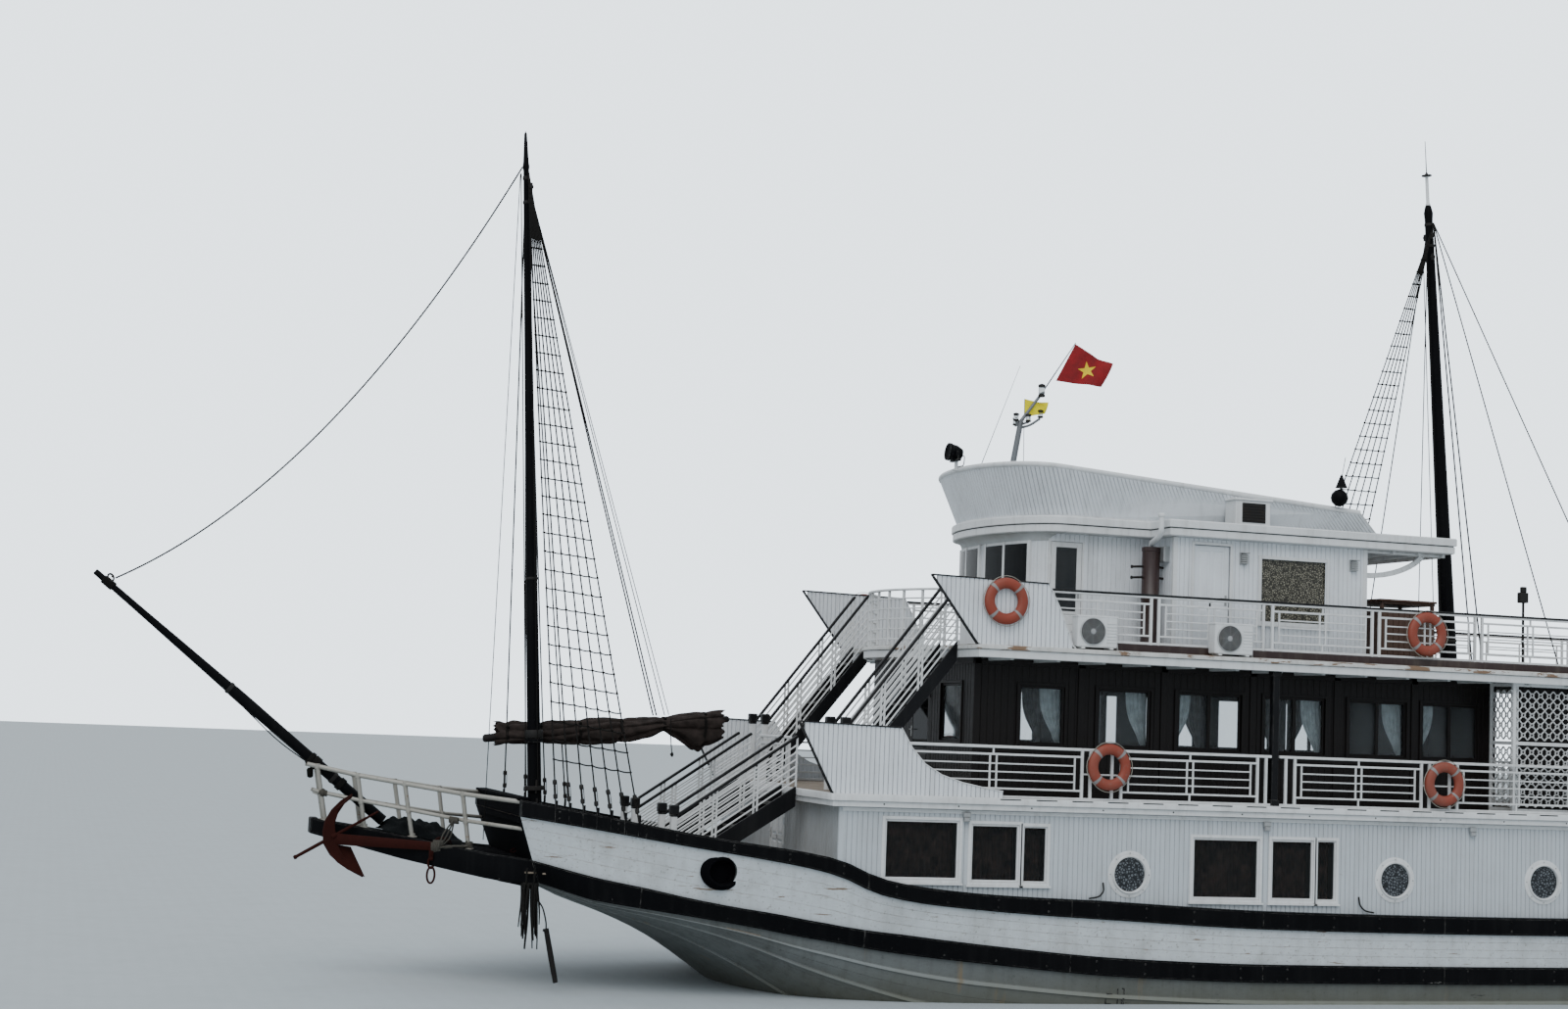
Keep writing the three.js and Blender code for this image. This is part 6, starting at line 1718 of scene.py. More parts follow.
def deck_edges():
    step, upper, slots, ledge = Shape(), Shape(), Shape(), Shape()
    x0, x1 = DECK2_X
    h = DECK_HALF
    outline = [(x0, h), (x0, -h), (x1, -h), (x1, h)]
    swept(step, outline, [(-0.02, 3.0), (0.012, 3.0), (0.018, 3.006), (0.018, 3.085), (-0.02, 3.095)], closed=True)
    swept(upper, outline, [(-0.02, 3.095), (0.05, 3.09), (0.056, 3.096), (0.056, 3.185), (0.05, 3.196), (-0.02, 3.2)],
          closed=True)
    for s in (1, -1):
        wall = side_wall(h, s)
        for x in np.arange(x0 + 0.5, x1 - 3.0, 0.62):
            slots.plate([(x, 3.168), (x + 0.36, 3.168), (x + 0.36, 3.186), (x, 3.186)], wall, 0.05, 0.0575)
        for x in np.arange(x0 + 0.3, x1 - 0.3, 1.24):
            slots.lathe([(0.014, -0.01), (0.014, 0.002), (0.006, 0.003)], (x, s * (h + 0.017), 3.05), (0, s, 0), 8)
    x0, x1 = DECK3_X
    arc = front_arc(x1, BOW_OUT_HALF)
    outline = [(x0, h), (x0, -h), (x1, -h), *arc, (x1, h)]
    swept(step, outline, [(-0.02, 5.40), (0.02, 5.40), (0.026, 5.406), (0.026, 5.52), (-0.02, 5.53)], closed=True)
    swept(ledge, outline, [(-0.12, 5.585), (-0.02, 5.53), (0.052, 5.528), (0.058, 5.535), (0.058, 5.575),
                           (0.05, 5.592), (-0.12, 5.612)], closed=True)
    piece("deck_lower_facings", step, trim_white, smooth=30)
    piece("deck_2_edge", upper, trim_white, smooth=30)
    piece("deck_3_edge", ledge, ledge_white, smooth=30)
    piece("scuppers", slots, black_paint)
    planks("deck_2_planks", DECK2_X[0] + 0.04, DECK2_X[1] - 0.04, 3.30, DECK2)
    planks("deck_3_planks", DECK3_X[0] + 0.04, DECK3_X[1] - 0.04, 3.26, DECK3)
    beams, soffits = Shape(), Shape()
    for x in np.arange(-13.0, 6.4, 0.9):
        beams.box(x - 0.035, x + 0.035, -3.22, -3.27, 2.93, 2.995)
        beams.box(x - 0.035, x + 0.035, 3.22, 3.27, 2.93, 2.995)
    for x in np.arange(-12.4, 4.1, 0.8):
        soffits.box(x - 0.03, x + 0.03, 2.36, 3.3, 5.375, 5.425, ease=0.006)
        soffits.box(x - 0.03, x + 0.03, -3.3, -2.36, 5.375, 5.425, ease=0.006)
    for x in np.arange(-12.4, -6.0, 0.8):
        soffits.box(x - 0.03, x + 0.03, -2.36, 2.36, 5.375, 5.425, ease=0.006)
    piece("deck_3_beams", soffits, soffit)


deck_edges()

SALOON = {"x0": -5.95, "x1": 3.85, "half": 2.35, "sill": 4.05, "head": 5.0}
SALOON_WINDOWS = [(-5.61, -4.49), (-4.18, -3.05), (-2.59, -1.43), (-1.0, 0.2), (0.69, 1.65), (2.25, 3.05)]


def saloon():
    x0, x1, half, sill, head = (SALOON[k] for k in ("x0", "x1", "half", "sill", "head"))
    floor, top = DECK2 + 0.025, DECK3 - SLAB
    for name, s in SIDES:
        wall = side_wall(half, s)
        joinery, rods = Shape(), Shape()
        holes = [(a, b, sill, head) for a, b in SALOON_WINDOWS]
        boards(joinery, wall, x0, x1, lambda u: floor, lambda u: top, holes, pitch=0.12, thick=0.008)
        for x in [x0 + 0.05, x1 - 0.05, *[(SALOON_WINDOWS[i][1] + SALOON_WINDOWS[i + 1][0]) / 2 for i in range(5)]]:
            bar_on(joinery, wall, x - 0.06, x + 0.06, floor, top, 0.0, 0.03)
        bar_on(joinery, wall, x0, x1, floor, floor + 0.13, 0.0, 0.024)
        bar_on(joinery, wall, x0, x1, top - 0.10, top, 0.0, 0.03)
        bar_on(joinery, wall, x0, x1, sill - 0.14, sill - 0.08, 0.0, 0.026)
        for k, (a, b) in enumerate(SALOON_WINDOWS):
            surround(joinery, wall, a, b, sill, head, 0.05, -0.02, 0.036, sill=0.02)
            sash(joinery, wall, a, b, sill, head, 0.04, -0.05, -0.005)
            if b - a > 1.0:
                middle = (a + b) / 2
                bar_on(joinery, wall, middle - 0.03, middle + 0.03, sill, head, -0.05, 0.0)
            rods.tube([wall(a - 0.05, -0.19, head + 0.06), wall(b + 0.05, -0.19, head + 0.06)], 0.012, 8)
            edge, d, tag = (b, -1, "fore") if k in (0, 3) else (a, 1, "aft")
            u0, u1 = sorted((edge - 0.03 * d, edge + 0.36 * d))
            hanging(f"saloon_curtain_{k + 1}_{tag}_{name}", wall, u0, u1, floor + 0.25, head + 0.05, -0.19, curtain,
                    folds=5, tied=-d)
        piece(f"saloon_joinery_{name}", joinery, saloon_wood)
        piece(f"saloon_curtain_rods_{name}", rods, dark_iron, smooth=40)
        pillars = Shape()
        for x in (-1.12, -8.0, -11.0):
            pillars.box(x - 0.06, x + 0.06, s * 3.19, s * 3.31, floor, top, ease=0.012)
            pillars.box(x - 0.08, x + 0.08, s * 3.17, s * 3.33, top - 0.10, top - 0.01, ease=0.01)
            pillars.box(x - 0.08, x + 0.08, s * 3.17, s * 3.33, floor, floor + 0.10, ease=0.01)
        piece(f"deck_2_pillars_{name}", pillars, rail_black)
    ends, glass = Shape(), Shape()
    for x, facing in ((x1, 1), (x0, -1)):
        wall = end_wall(x, facing)
        fronts = [(s * 1.4 - 0.45, s * 1.4 + 0.45, sill, head) for s in (1, -1)] if facing > 0 else []
        boards(ends, wall, -half, half, lambda u: floor, lambda u: top, [(-0.45, 0.45, 0, 5.15), *fronts], pitch=0.12,
               thick=0.008)
        surround(ends, wall, -0.45, 0.45, floor + 0.04, 5.15, 0.05, -0.01, 0.010)
        bar_on(ends, wall, -half, -0.5, floor, floor + 0.13, 0.0, 0.02)
        bar_on(ends, wall, 0.5, half, floor, floor + 0.13, 0.0, 0.02)
        bar_on(ends, wall, -half, half, top - 0.10, top, 0.0, 0.02)
        for a, b, z0, z1 in fronts:
            surround(ends, wall, a, b, z0, z1, 0.05, -0.02, 0.03, sill=0.02)
            sash(ends, wall, a, b, z0, z1, 0.04, -0.05, -0.005)
            pane(glass, wall, a, b, z0, z1, -0.03)
    piece("saloon_end_joinery", ends, saloon_wood)
    piece("saloon_front_panes", glass, saloon_glass)
    leaf(None, end_wall(x1), -0.444, 0.444, 3.216, 5.144, "saloon_door", "saloon_door", saloon_wood, "half")


saloon()


def lattices():
    """White screens of crossed bars and eight-sided cells at the sides of deck 2's aft end."""
    cell = Shape()
    p, t, d = 0.17, 0.012, 0.014
    for k in range(8):
        a0, a1 = TAU * (k + 0.5) / 8, TAU * (k + 1.5) / 8
        q = [(0.034 * math.cos(a), 0, 0.034 * math.sin(a)) for a in (a0, a1)]
        cell.beam(q[0], q[1], d * 2, t, up=(math.cos((a0 + a1) / 2), 0, math.sin((a0 + a1) / 2)))
    for u, v in ((1, 1), (-1, 1), (-1, -1), (1, -1)):
        cell.beam((u * 0.024, 0, v * 0.024), (u * p / 2, 0, v * p / 2), d * 2, t, up=(-v, 0, u))
    across = Shape()
    across.points = [(y, x, z) for x, y, z in cell.points]
    across.faces, across.lay = [tuple(reversed(f)) for f in cell.faces], cell.lay
    tiers = ((3.30, 6), (4.44, 5))
    for name, s in SIDES:
        frames = Shape()
        y = s * 3.17
        for x in (-9.47, -7.62, -5.77):
            frames.box(x - 0.03, x + 0.03, y - 0.03, y + 0.03, DECK2 + 0.02, 5.42, ease=0.005)
        for z in (3.24, 4.38, 5.38):
            frames.box(-9.47, -5.77, y - 0.025, y + 0.025, z - 0.03, z + 0.03, ease=0.005)
        for x in (-5.86,):
            for z in (3.24, 4.38, 5.38):
                frames.box(x - 0.02, x + 0.02, s * 2.37, s * 3.14, z - 0.03, z + 0.03, ease=0.005)
            for yy in (2.40, 3.12):
                frames.box(x - 0.025, x + 0.025, s * yy - 0.025, s * yy + 0.025, DECK2 + 0.02, 5.42, ease=0.005)
        piece(f"lattice_frames_{name}", frames, trim_white, stands_for=(f"lattice_{name}",))
        # A dark board wall just inside each lattice, painted shade: it stands for the shadow in the space behind the
        # lattice.
        screen, wall = Shape(), side_wall(2.93, s)
        screen.box(-9.44, -5.98, s * 2.90, s * 2.93, DECK2 + 0.03, 5.38)
        boards(screen, wall, -9.44, -5.98, lambda u: DECK2 + 0.03, lambda u: 5.38, pitch=0.12, thick=0.008)
        piece(f"aft_deck_shade_backing_{name}", screen, saloon_wood)
        for tier, (z, rows) in enumerate(tiers):
            values = {"Count": 22, "Step": (0.17, 0, 0), "Rows": rows, "Row Step": (0, 0, 0.17)}
            repeated(f"lattice_cells_{tier + 1}_{name}", rows_tree, cell, values, trim_white,
                     at=(-9.36, y, z + 0.085))
            values = {"Count": 4, "Step": (0, s * 0.17, 0), "Rows": rows, "Row Step": (0, 0, 0.17)}
            repeated(f"lattice_cross_cells_{tier + 1}_{name}", rows_tree, across, values, trim_white,
                     at=(-5.86, s * 2.50, z + 0.085))


lattices()


# Each deck's rail: the heights of the base bar and of the cap, and the ends of the bays of one side.
RAIL_HEIGHTS = {"deck_2": (3.215, 4.0), "deck_3": (5.755, 6.515)}
RAIL_BAYS = {
    "deck_2": [(-13.08, -10.78), (-10.10, -7.60), (-6.91, -4.58), (-3.885, -1.49), (-0.80, 1.65), (2.34, 5.33)],
    "deck_3": [(-12.48, -11.42), (-11.28, -9.36), (-9.22, -7.29), (-7.15, -5.21), (-5.07, -3.20), (-3.06, -1.17),
               (-1.0, 0.92), (1.06, 2.89)],
}
RAIL_POSTS = (-10.62, -10.25, -7.45, -7.06, -4.43, -4.04, -1.322, -0.955, 1.815, 2.193)


def rail_bay(shape, at, u0, u1, base, top):
    """One bay: a post at each end, a bar under the cap and an inner frame of bars with a doubled middle."""
    along = (Vector(at(u1, 0)) - Vector(at(u0, 0))).normalized()

    def upright(u, z0, z1, wide):
        shape.beam(at(u, z0), at(u, z1), wide, wide, along, ease=0.004)

    low, first, second, third, high = (base + (top - base) * t for t in (0.165, 0.335, 0.5, 0.665, 0.85))
    inner, middle = (u0 + 0.125, u1 - 0.125), (u0 + u1) / 2
    for u in (u0, u1):
        upright(u, base - 0.05, top, 0.044)
    for u in (*inner, middle - 0.055, middle + 0.055):
        upright(u, low, high, 0.028)
    upright(middle, high, top, 0.028)
    upright(middle, base, low, 0.028)
    for z, wide in ((low, 0.030), (high, 0.034)):
        shape.beam(at(u0, z), at(u1, z), wide, wide, ease=0.004)
    for z in (first, second, third):
        shape.beam(at(inner[0], z), at(inner[1], z), 0.022, 0.022, ease=0.004)


def rails():
    for name, s in SIDES:
        for deck, y in (("deck_2", 3.295), ("deck_3", 3.035)):
            shape, cap = Shape(), Shape()
            base, top = RAIL_HEIGHTS[deck]

            def at(u, v):
                """The foremost bay of deck 2 runs in behind the bulwark."""
                return (u, s * (y - (0.0585 * max(0.0, u - 2.34) if deck == "deck_2" else 0.0)), v)

            bays = RAIL_BAYS[deck]
            for u0, u1 in bays:
                rail_bay(shape, at, u0, u1, base, top)
            ends = (bays[0][0], bays[-1][0], bays[-1][1])
            for a, b in zip(ends, ends[1:]):
                shape.beam(at(a, base), at(b, base), 0.034, 0.040, ease=0.006)
            if deck == "deck_2":
                for u in RAIL_POSTS:
                    shape.beam(at(u, base - 0.04), at(u, top), 0.044, 0.044, (1, 0, 0), ease=0.004)
                for a, b in ((-4.58, -3.885), (1.65, 2.34)):
                    shape.beam(at(a, 3.61), at(b, 3.61), 0.026, 0.026, ease=0.004)
                for a, b in ((-13.1, -1.2), (-1.05, 2.34), (2.34, 5.36)):
                    cap.beam(at(a, top), at(b, top), 0.055, 0.045, ease=0.008)
                for x in range(-12, 3, 2):
                    shape.box(x - 0.03, x + 0.03, s * y - 0.03, s * y + 0.03, DECK2 + 0.02, base, ease=0.004)
                piece(f"{deck}_rail_cap_{name}", cap, trim_white)
            else:
                shape.beam(at(-12.5, top), at(3.0, top), 0.05, 0.035, ease=0.006)
                cap.beam(at(-12.52, top + 0.032), at(3.02, top + 0.032), 0.075, 0.034, ease=0.008)
                piece(f"{deck}_rail_cap_{name}", cap, rail_black)
                kerb = Shape()
                kerb.box(-12.52, 2.6, s * 3.0, s * 3.07, DECK3 + 0.02, base - 0.02, ease=0.01)
                piece(f"{deck}_kerb_{name}", kerb, maroon)
            piece(f"{deck}_rail_bars_{name}", shape, trim_white, stands_for=(f"{deck}_rail_{name}",))
    for name, deck, x, half, bays in (
        ("deck_2_stern_rail", "deck_2", -13.145, 3.2, 3), ("deck_3_stern_rail", "deck_3", -12.545, 3.0, 3),
        ("deck_2_front_rail", "deck_2", 6.445, 0.83, 1),
    ):
        shape, wide = Shape(), 2 * half / bays
        base, top = RAIL_HEIGHTS[deck]

        def across(u, v):
            return (x, u, v)

        for k in range(bays):
            rail_bay(shape, across, -half + wide * k + 0.06, -half + wide * (k + 1) - 0.06, base, top)
        shape.beam((x, -half, base), (x, half, base), 0.034, 0.040, ease=0.006)
        shape.beam((x, -half, top), (x, half, top), 0.055, 0.045, ease=0.008)
        piece(f"{name}_bars", shape, trim_white, stands_for=(name,))
    shape = Shape()
    arc = front_arc(DECK3_X[1] - 0.055, BOW_OUT_HALF - 0.03, count=9)
    for (xa, ya), (xb, yb) in zip(arc, arc[1:]):
        def at(u, v):
            return (xa + (xb - xa) * u / length, ya + (yb - ya) * u / length, v)

        length = math.hypot(xb - xa, yb - ya)
        rail_bay_plain(shape, at, 0.0, length, DECK3 + 0.025)
    cap = [(x, y) for x, y in front_arc(DECK3_X[1] - 0.055, BOW_OUT_HALF - 0.03, count=33)]
    swept(shape, cap, [(-0.035, 6.525), (0.035, 6.525), (0.04, 6.535), (0.035, 6.56), (-0.035, 6.56), (-0.04, 6.535)])
    piece("deck_3_front_rail_bars", shape, trim_white, stands_for=("deck_3_front_rail",))


def rail_bay_plain(shape, at, u0, u1, z, bars=5, height=0.93):
    along = (Vector(at(u1, 0)) - Vector(at(u0, 0))).normalized()
    for u in (u0, u1):
        shape.beam(at(u, z), at(u, z + height), 0.04, 0.04, along, ease=0.004)
    for k in range(bars):
        level = z + 0.10 + (height - 0.25) * k / (bars - 1)
        shape.beam(at(u0, level), at(u1, level), 0.024, 0.024, ease=0.004)


rails()


def bulwarks():
    for name, s in SIDES:
        for which, y, outline, deck, stands in (
            ("lower", 3.27, [(6.52, 3.17), (7.11, 4.28), (5.44, 4.24), (5.03, 3.69), (4.4, 3.42), (3.7, 3.3),
                             (3.7, 3.17)], DECK2, "lower_bulwark"),
            ("upper", 3.23, [(4.18, 5.59), (5.0, 6.66), (3.0, 6.64), (2.62, 5.8), (2.56, 5.59)], DECK3,
             "upper_bulwark"),
        ):
            wall = lambda u, o, z: (u, s * (y + 0.03 + o), z)
            inner = lambda u, o, z: (u, s * (y + 0.03 - o), z)
            foot, tip, heel = outline[0], outline[1], outline[2]
            lower_line = sorted(outline[2:])
            us, zs = [p[0] for p in lower_line], [p[1] for p in lower_line]
            if which == "lower":
                us, zs = [3.7, 4.0, 4.4, 4.75, 5.03, 5.25, 5.44], [3.30, 3.345, 3.42, 3.53, 3.69, 3.93, 4.24]
            else:
                us, zs = [2.50, 2.53, 2.56, 2.62, 2.8, 3.0], [5.61, 5.63, 5.66, 5.83, 6.25, 6.62]

            def high(u):
                return float(np.interp(u, [*us, tip[0]], [*zs, tip[1]]))

            def low(u):
                return float(np.interp(u, [foot[0], tip[0]],
                                       [foot[1], tip[1]])) + 0.012 if u > foot[0] else deck + 0.012

            skin, edges = Shape(), Shape()
            for face in (wall, inner):
                boards(skin, face, outline[-1][0], tip[0] - 0.01, low, high, pitch=0.078, thick=0.028)
            top_line = [(heel[0], zs[-1]), tip]
            for a, b, wide in ((top_line[0], top_line[1], 0.09), (tip, foot, 0.085)):
                edges.beam((a[0], s * (y + 0.03), a[1]), (b[0], s * (y + 0.03), b[1]), wide, 0.022, ease=0.005)
            cap = [(u, z) for u, z in zip(us, zs)]
            trim = Shape()
            for (ua, za), (ub, zb) in zip(cap, cap[1:]):
                trim.beam((ua, s * (y + 0.03), za), (ub, s * (y + 0.03), zb), 0.08, 0.018, ease=0.004)
            piece(f"{which}_bulwark_boards_{name}", skin, lit_upper_white, stands_for=(f"{stands}_{name}",))
            piece(f"{which}_bulwark_edges_{name}", edges, rail_black)
            piece(f"{which}_bulwark_caps_{name}", trim, trim_white)


bulwarks()


def stair(which, name, s, y0, y1, foot, head, treads, rail, stands_for):
    """Stringers, treads, newels with square caps, and rails of slanting bars."""
    (xf, zf), (xh, zh) = foot, head
    slope = (zh - zf) / (xh - xf)
    black, white, steps = Shape(), Shape(), Shape()
    ys = (s * (y0 + 0.025), s * (y1 - 0.025))
    at = lambda x, dz: zf + (x - xf) * slope + dz
    for y in ys:
        outline = [(xf, zf + 0.02), (xf, zf + 0.16), (xh, zh + 0.10), (xh, zh - 0.22), (xf + 0.18 / slope, zf + 0.02)]
        black.plate(outline, lambda u, o, z: (u, y + o, z), -0.024, 0.024)
        black.beam((xf, y, at(xf, rail)), (xh, y, at(xh, rail)), 0.065, 0.045, ease=0.012)
        bars = 6
        for k in range(bars):
            dz = 0.20 + (rail - 0.34) * k / (bars - 1)
            white.beam((xf - 0.02, y, at(xf - 0.02, dz)), (xh, y, at(xh, dz)), 0.024, 0.024, ease=0.005)
        for x in np.linspace(xf, xh, 4):
            for dx in ((-0.03, 0.03) if xh < x < xf else (0.0,)):
                white.beam((x + dx, y, at(x + dx, 0.08)), (x + dx, y, at(x + dx, rail - 0.02)), 0.03, 0.03,
                           up=(1, 0, 0), ease=0.005)
        white.box(xf - 0.05, xf + 0.05, y - 0.05, y + 0.05, zf + 0.02, zf + rail + 0.02, ease=0.008)
        black.box(xf - 0.060, xf + 0.060, y - 0.060, y + 0.060, zf + rail + 0.02, zf + rail + 0.05, ease=0.008)
        black.box(xf - 0.072, xf + 0.072, y - 0.072, y + 0.072, zf + rail + 0.05, zf + rail + 0.20, ease=0.015)
    inner = sorted(ys)
    for i in range(1, treads + 1):
        t = i / (treads + 1)
        x, z = xf + (xh - xf) * t, zf + (zh - zf) * t
        steps.box(x - 0.13, x + 0.13, inner[0] + 0.02, inner[1] - 0.02, z - 0.018, z + 0.018, ease=0.006)
        steps.box(x + 0.10, x + 0.13, inner[0] + 0.02, inner[1] - 0.02, z + 0.018, z + 0.024, ease=0.002)
    piece(f"{which}_stair_stringers_{name}", black, rail_black, stands_for=stands_for)
    piece(f"{which}_stair_bars_{name}", white, trim_white)
    piece(f"{which}_stair_treads_{name}", steps, tread_wood)


for NAME, S in SIDES:
    stair("lower", NAME, S, 0.87, 1.67, (8.59, FOREDECK), (6.59, DECK2 - 0.04), 6, 0.9, (f"lower_stair_{NAME}",))
    stair("upper", NAME, S, 1.75, 2.55, (6.09, DECK2), (4.24, DECK3 - 0.03), 9, 1.0, (f"upper_stair_{NAME}",))

# Upper works
CABIN_AFT, CABIN_FORE, CABIN_HALF = -3.17, 0.43, 2.6
BRIDGE_START, BRIDGE_REACH, BRIDGE_HALF = 2.33, 0.45, 1.8


class Plan:
    """A line on plan, with places beside it by its length and outwards."""

    def __init__(self, points, higher=None, base=0.0, top=None):
        self.points = [Vector((x, y, 0)) for x, y in points]
        self.higher = [Vector((x, y, 0)) for x, y in higher] if higher else self.points
        self.base, self.top = base, top
        self.run = [0.0]
        for a, b in zip(self.points, self.points[1:]):
            self.run.append(self.run[-1] + (b - a).length)

    def at(self, line, u):
        i = int(np.clip(np.searchsorted(self.run, u) - 1, 0, len(self.run) - 2))
        t = (u - self.run[i]) / max(1e-9, self.run[i + 1] - self.run[i])
        return line[i].lerp(line[i + 1], t), (line[i + 1] - line[i]).normalized()

    def __call__(self, u, out, z):
        low, along = self.at(self.points, u)
        high, _ = self.at(self.higher, u)
        share = (z - self.base) / (self.top(low.x) - self.base) if self.top else 0.0
        p = low.lerp(high, share)
        return (p.x + along.y * out, p.y - along.x * out, z)

    def of_y(self, y):
        return float(np.interp(-y, [-p.y for p in self.points], self.run))


def nose(start, reach, half, count=37):
    """The rounded front, from port to starboard."""
    return [(start + reach * math.cos(t), half * math.sin(t)) for t in np.linspace(math.pi / 2, -math.pi / 2, count)]


def deck_house():
    low, high = (lambda u: DECK3 + 0.03), (lambda u: ROOF - 0.012)
    door, cabin_door, screen = (1.75, 2.32, 0, 7.44), (-0.59, 0.08, 0, 7.47), (-2.42, -1.18, 6.25, 7.3)
    skin, trims, glass, gold, gear = (Shape() for _ in range(5))
    for name, s in SIDES:
        wall = side_wall(CABIN_HALF, s)
        boards(skin, wall, CABIN_AFT, CABIN_FORE, low, high, [cabin_door, screen])
        surround(trims, wall, *screen, 0.055, -0.02, 0.034, sill=0.03)
        pane(gold, wall, *screen, -0.025)
        surround(trims, wall, -0.59, 0.08, DECK3 + 0.06, 7.47, 0.05, -0.012, 0.030)
        for u in (CABIN_AFT, CABIN_FORE):
            bar_on(trims, wall, u - 0.04, u + 0.04, DECK3 + 0.03, ROOF - 0.01, -0.03, 0.024)
        bar_on(trims, wall, CABIN_AFT, -0.64, DECK3 + 0.03, DECK3 + 0.15, 0.0, 0.026)
        bar_on(trims, wall, 0.13, CABIN_FORE, DECK3 + 0.03, DECK3 + 0.15, 0.0, 0.026)
        for u in (-0.83, -2.93):
            wall_lamp(gear, wall, u, 7.28)
        wall = side_wall(BRIDGE_HALF, s)
        boards(skin, wall, CABIN_FORE, BRIDGE_START, low, high, [door])
        surround(trims, wall, 1.75, 2.32, DECK3 + 0.06, 7.44, 0.045, -0.012, 0.0115)
        bar_on(trims, wall, CABIN_FORE, 1.70, DECK3 + 0.03, DECK3 + 0.15, 0.0, 0.026)
        front = lambda u, o, z: (CABIN_FORE + o, s * u, z)
        boards(skin, front, BRIDGE_HALF, CABIN_HALF, low, high)
        bar_on(gear, front, 2.16, 2.44, 7.16, 7.42, 0.0, 0.12, 0.015)
        leaf(None, side_wall(BRIDGE_HALF, s), 1.756, 2.314, 5.656, 7.434, f"wheelhouse_door_{name}",
             f"wheelhouse_door_{name}", trim_white, "half")
        leaf(None, side_wall(2.575, s), -0.584, 0.074, 5.656, 7.464, f"cabin_door_{name}", f"cabin_door_{name}",
             lit_upper_white, False)
    aft = end_wall(CABIN_AFT, -1)
    boards(skin, aft, -CABIN_HALF, CABIN_HALF, low, high)
    bar_on(trims, aft, -CABIN_HALF, CABIN_HALF, DECK3 + 0.03, DECK3 + 0.15, 0.0, 0.026)
    bow = Plan(nose(BRIDGE_START, BRIDGE_REACH, BRIDGE_HALF))
    windows = [(bow.of_y(b), bow.of_y(a), 6.55, 7.4) for a, b in ((-1.52, -0.14), (0.14, 1.52))]
    boards(skin, bow, 0, bow.run[-1], low, high, windows, pitch=0.075)
    for u0, u1, z0, z1 in windows:
        cells = np.linspace(u0, u1, 13)
        for a, b in zip(cells, cells[1:]):
            for z, tall in ((z0 - 0.05, 0.055), (z1 - 0.005, 0.055)):
                bar_on(trims, bow, a, b, z, z + tall, -0.03, 0.03, 0.001)
            pane(glass, bow, a, b, z0, z1, -0.035)
        for u in (u0, u1, (u0 + u1) / 2):
            bar_on(trims, bow, u - 0.035, u + 0.035, z0 - 0.05, z1 + 0.05, -0.045, 0.032)
    piece("deck_house_boards", skin, lit_upper_white)
    piece("deck_house_frames", trims, trim_white)
    piece("wheelhouse_front_panes", glass, smoked_glass)
    piece("cabin_screen_panes", gold, gold_glass)
    piece("deck_house_lamps", gear, grey_metal)
    inside = Shape()
    inside.box(2.0, 2.35, -1.2, 1.2, DECK3 + 0.03, 6.45, ease=0.02)
    inside.box(1.92, 2.38, -1.25, 1.25, 6.45, 6.5, ease=0.01)
    piece("wheelhouse_console", inside, inner_wood)
    wheel = Shape()
    hub, axis = Vector((1.86, 0, 6.55)), Vector((1, 0, 0.15)).normalized()
    wheel.ring([(0.26, -0.018), (0.29, -0.022), (0.31, 0), (0.29, 0.022), (0.26, 0.018)], hub, axis, 28)
    wheel.lathe([(0.02, -0.05), (0.06, -0.04), (0.06, 0.04), (0.025, 0.16)], hub, axis, 16)
    for k in range(8):
        out = Quaternion(axis, TAU * k / 8) @ Vector((0, 0, 1))
        wheel.tube([hub + out * 0.05, hub + out * 0.28, hub + out * 0.33, hub + out * 0.39],
                   [0.013, 0.012, 0.016, 0.010], 8)
    piece("steering_wheel", wheel, hut_wood, smooth=40)


deck_house()


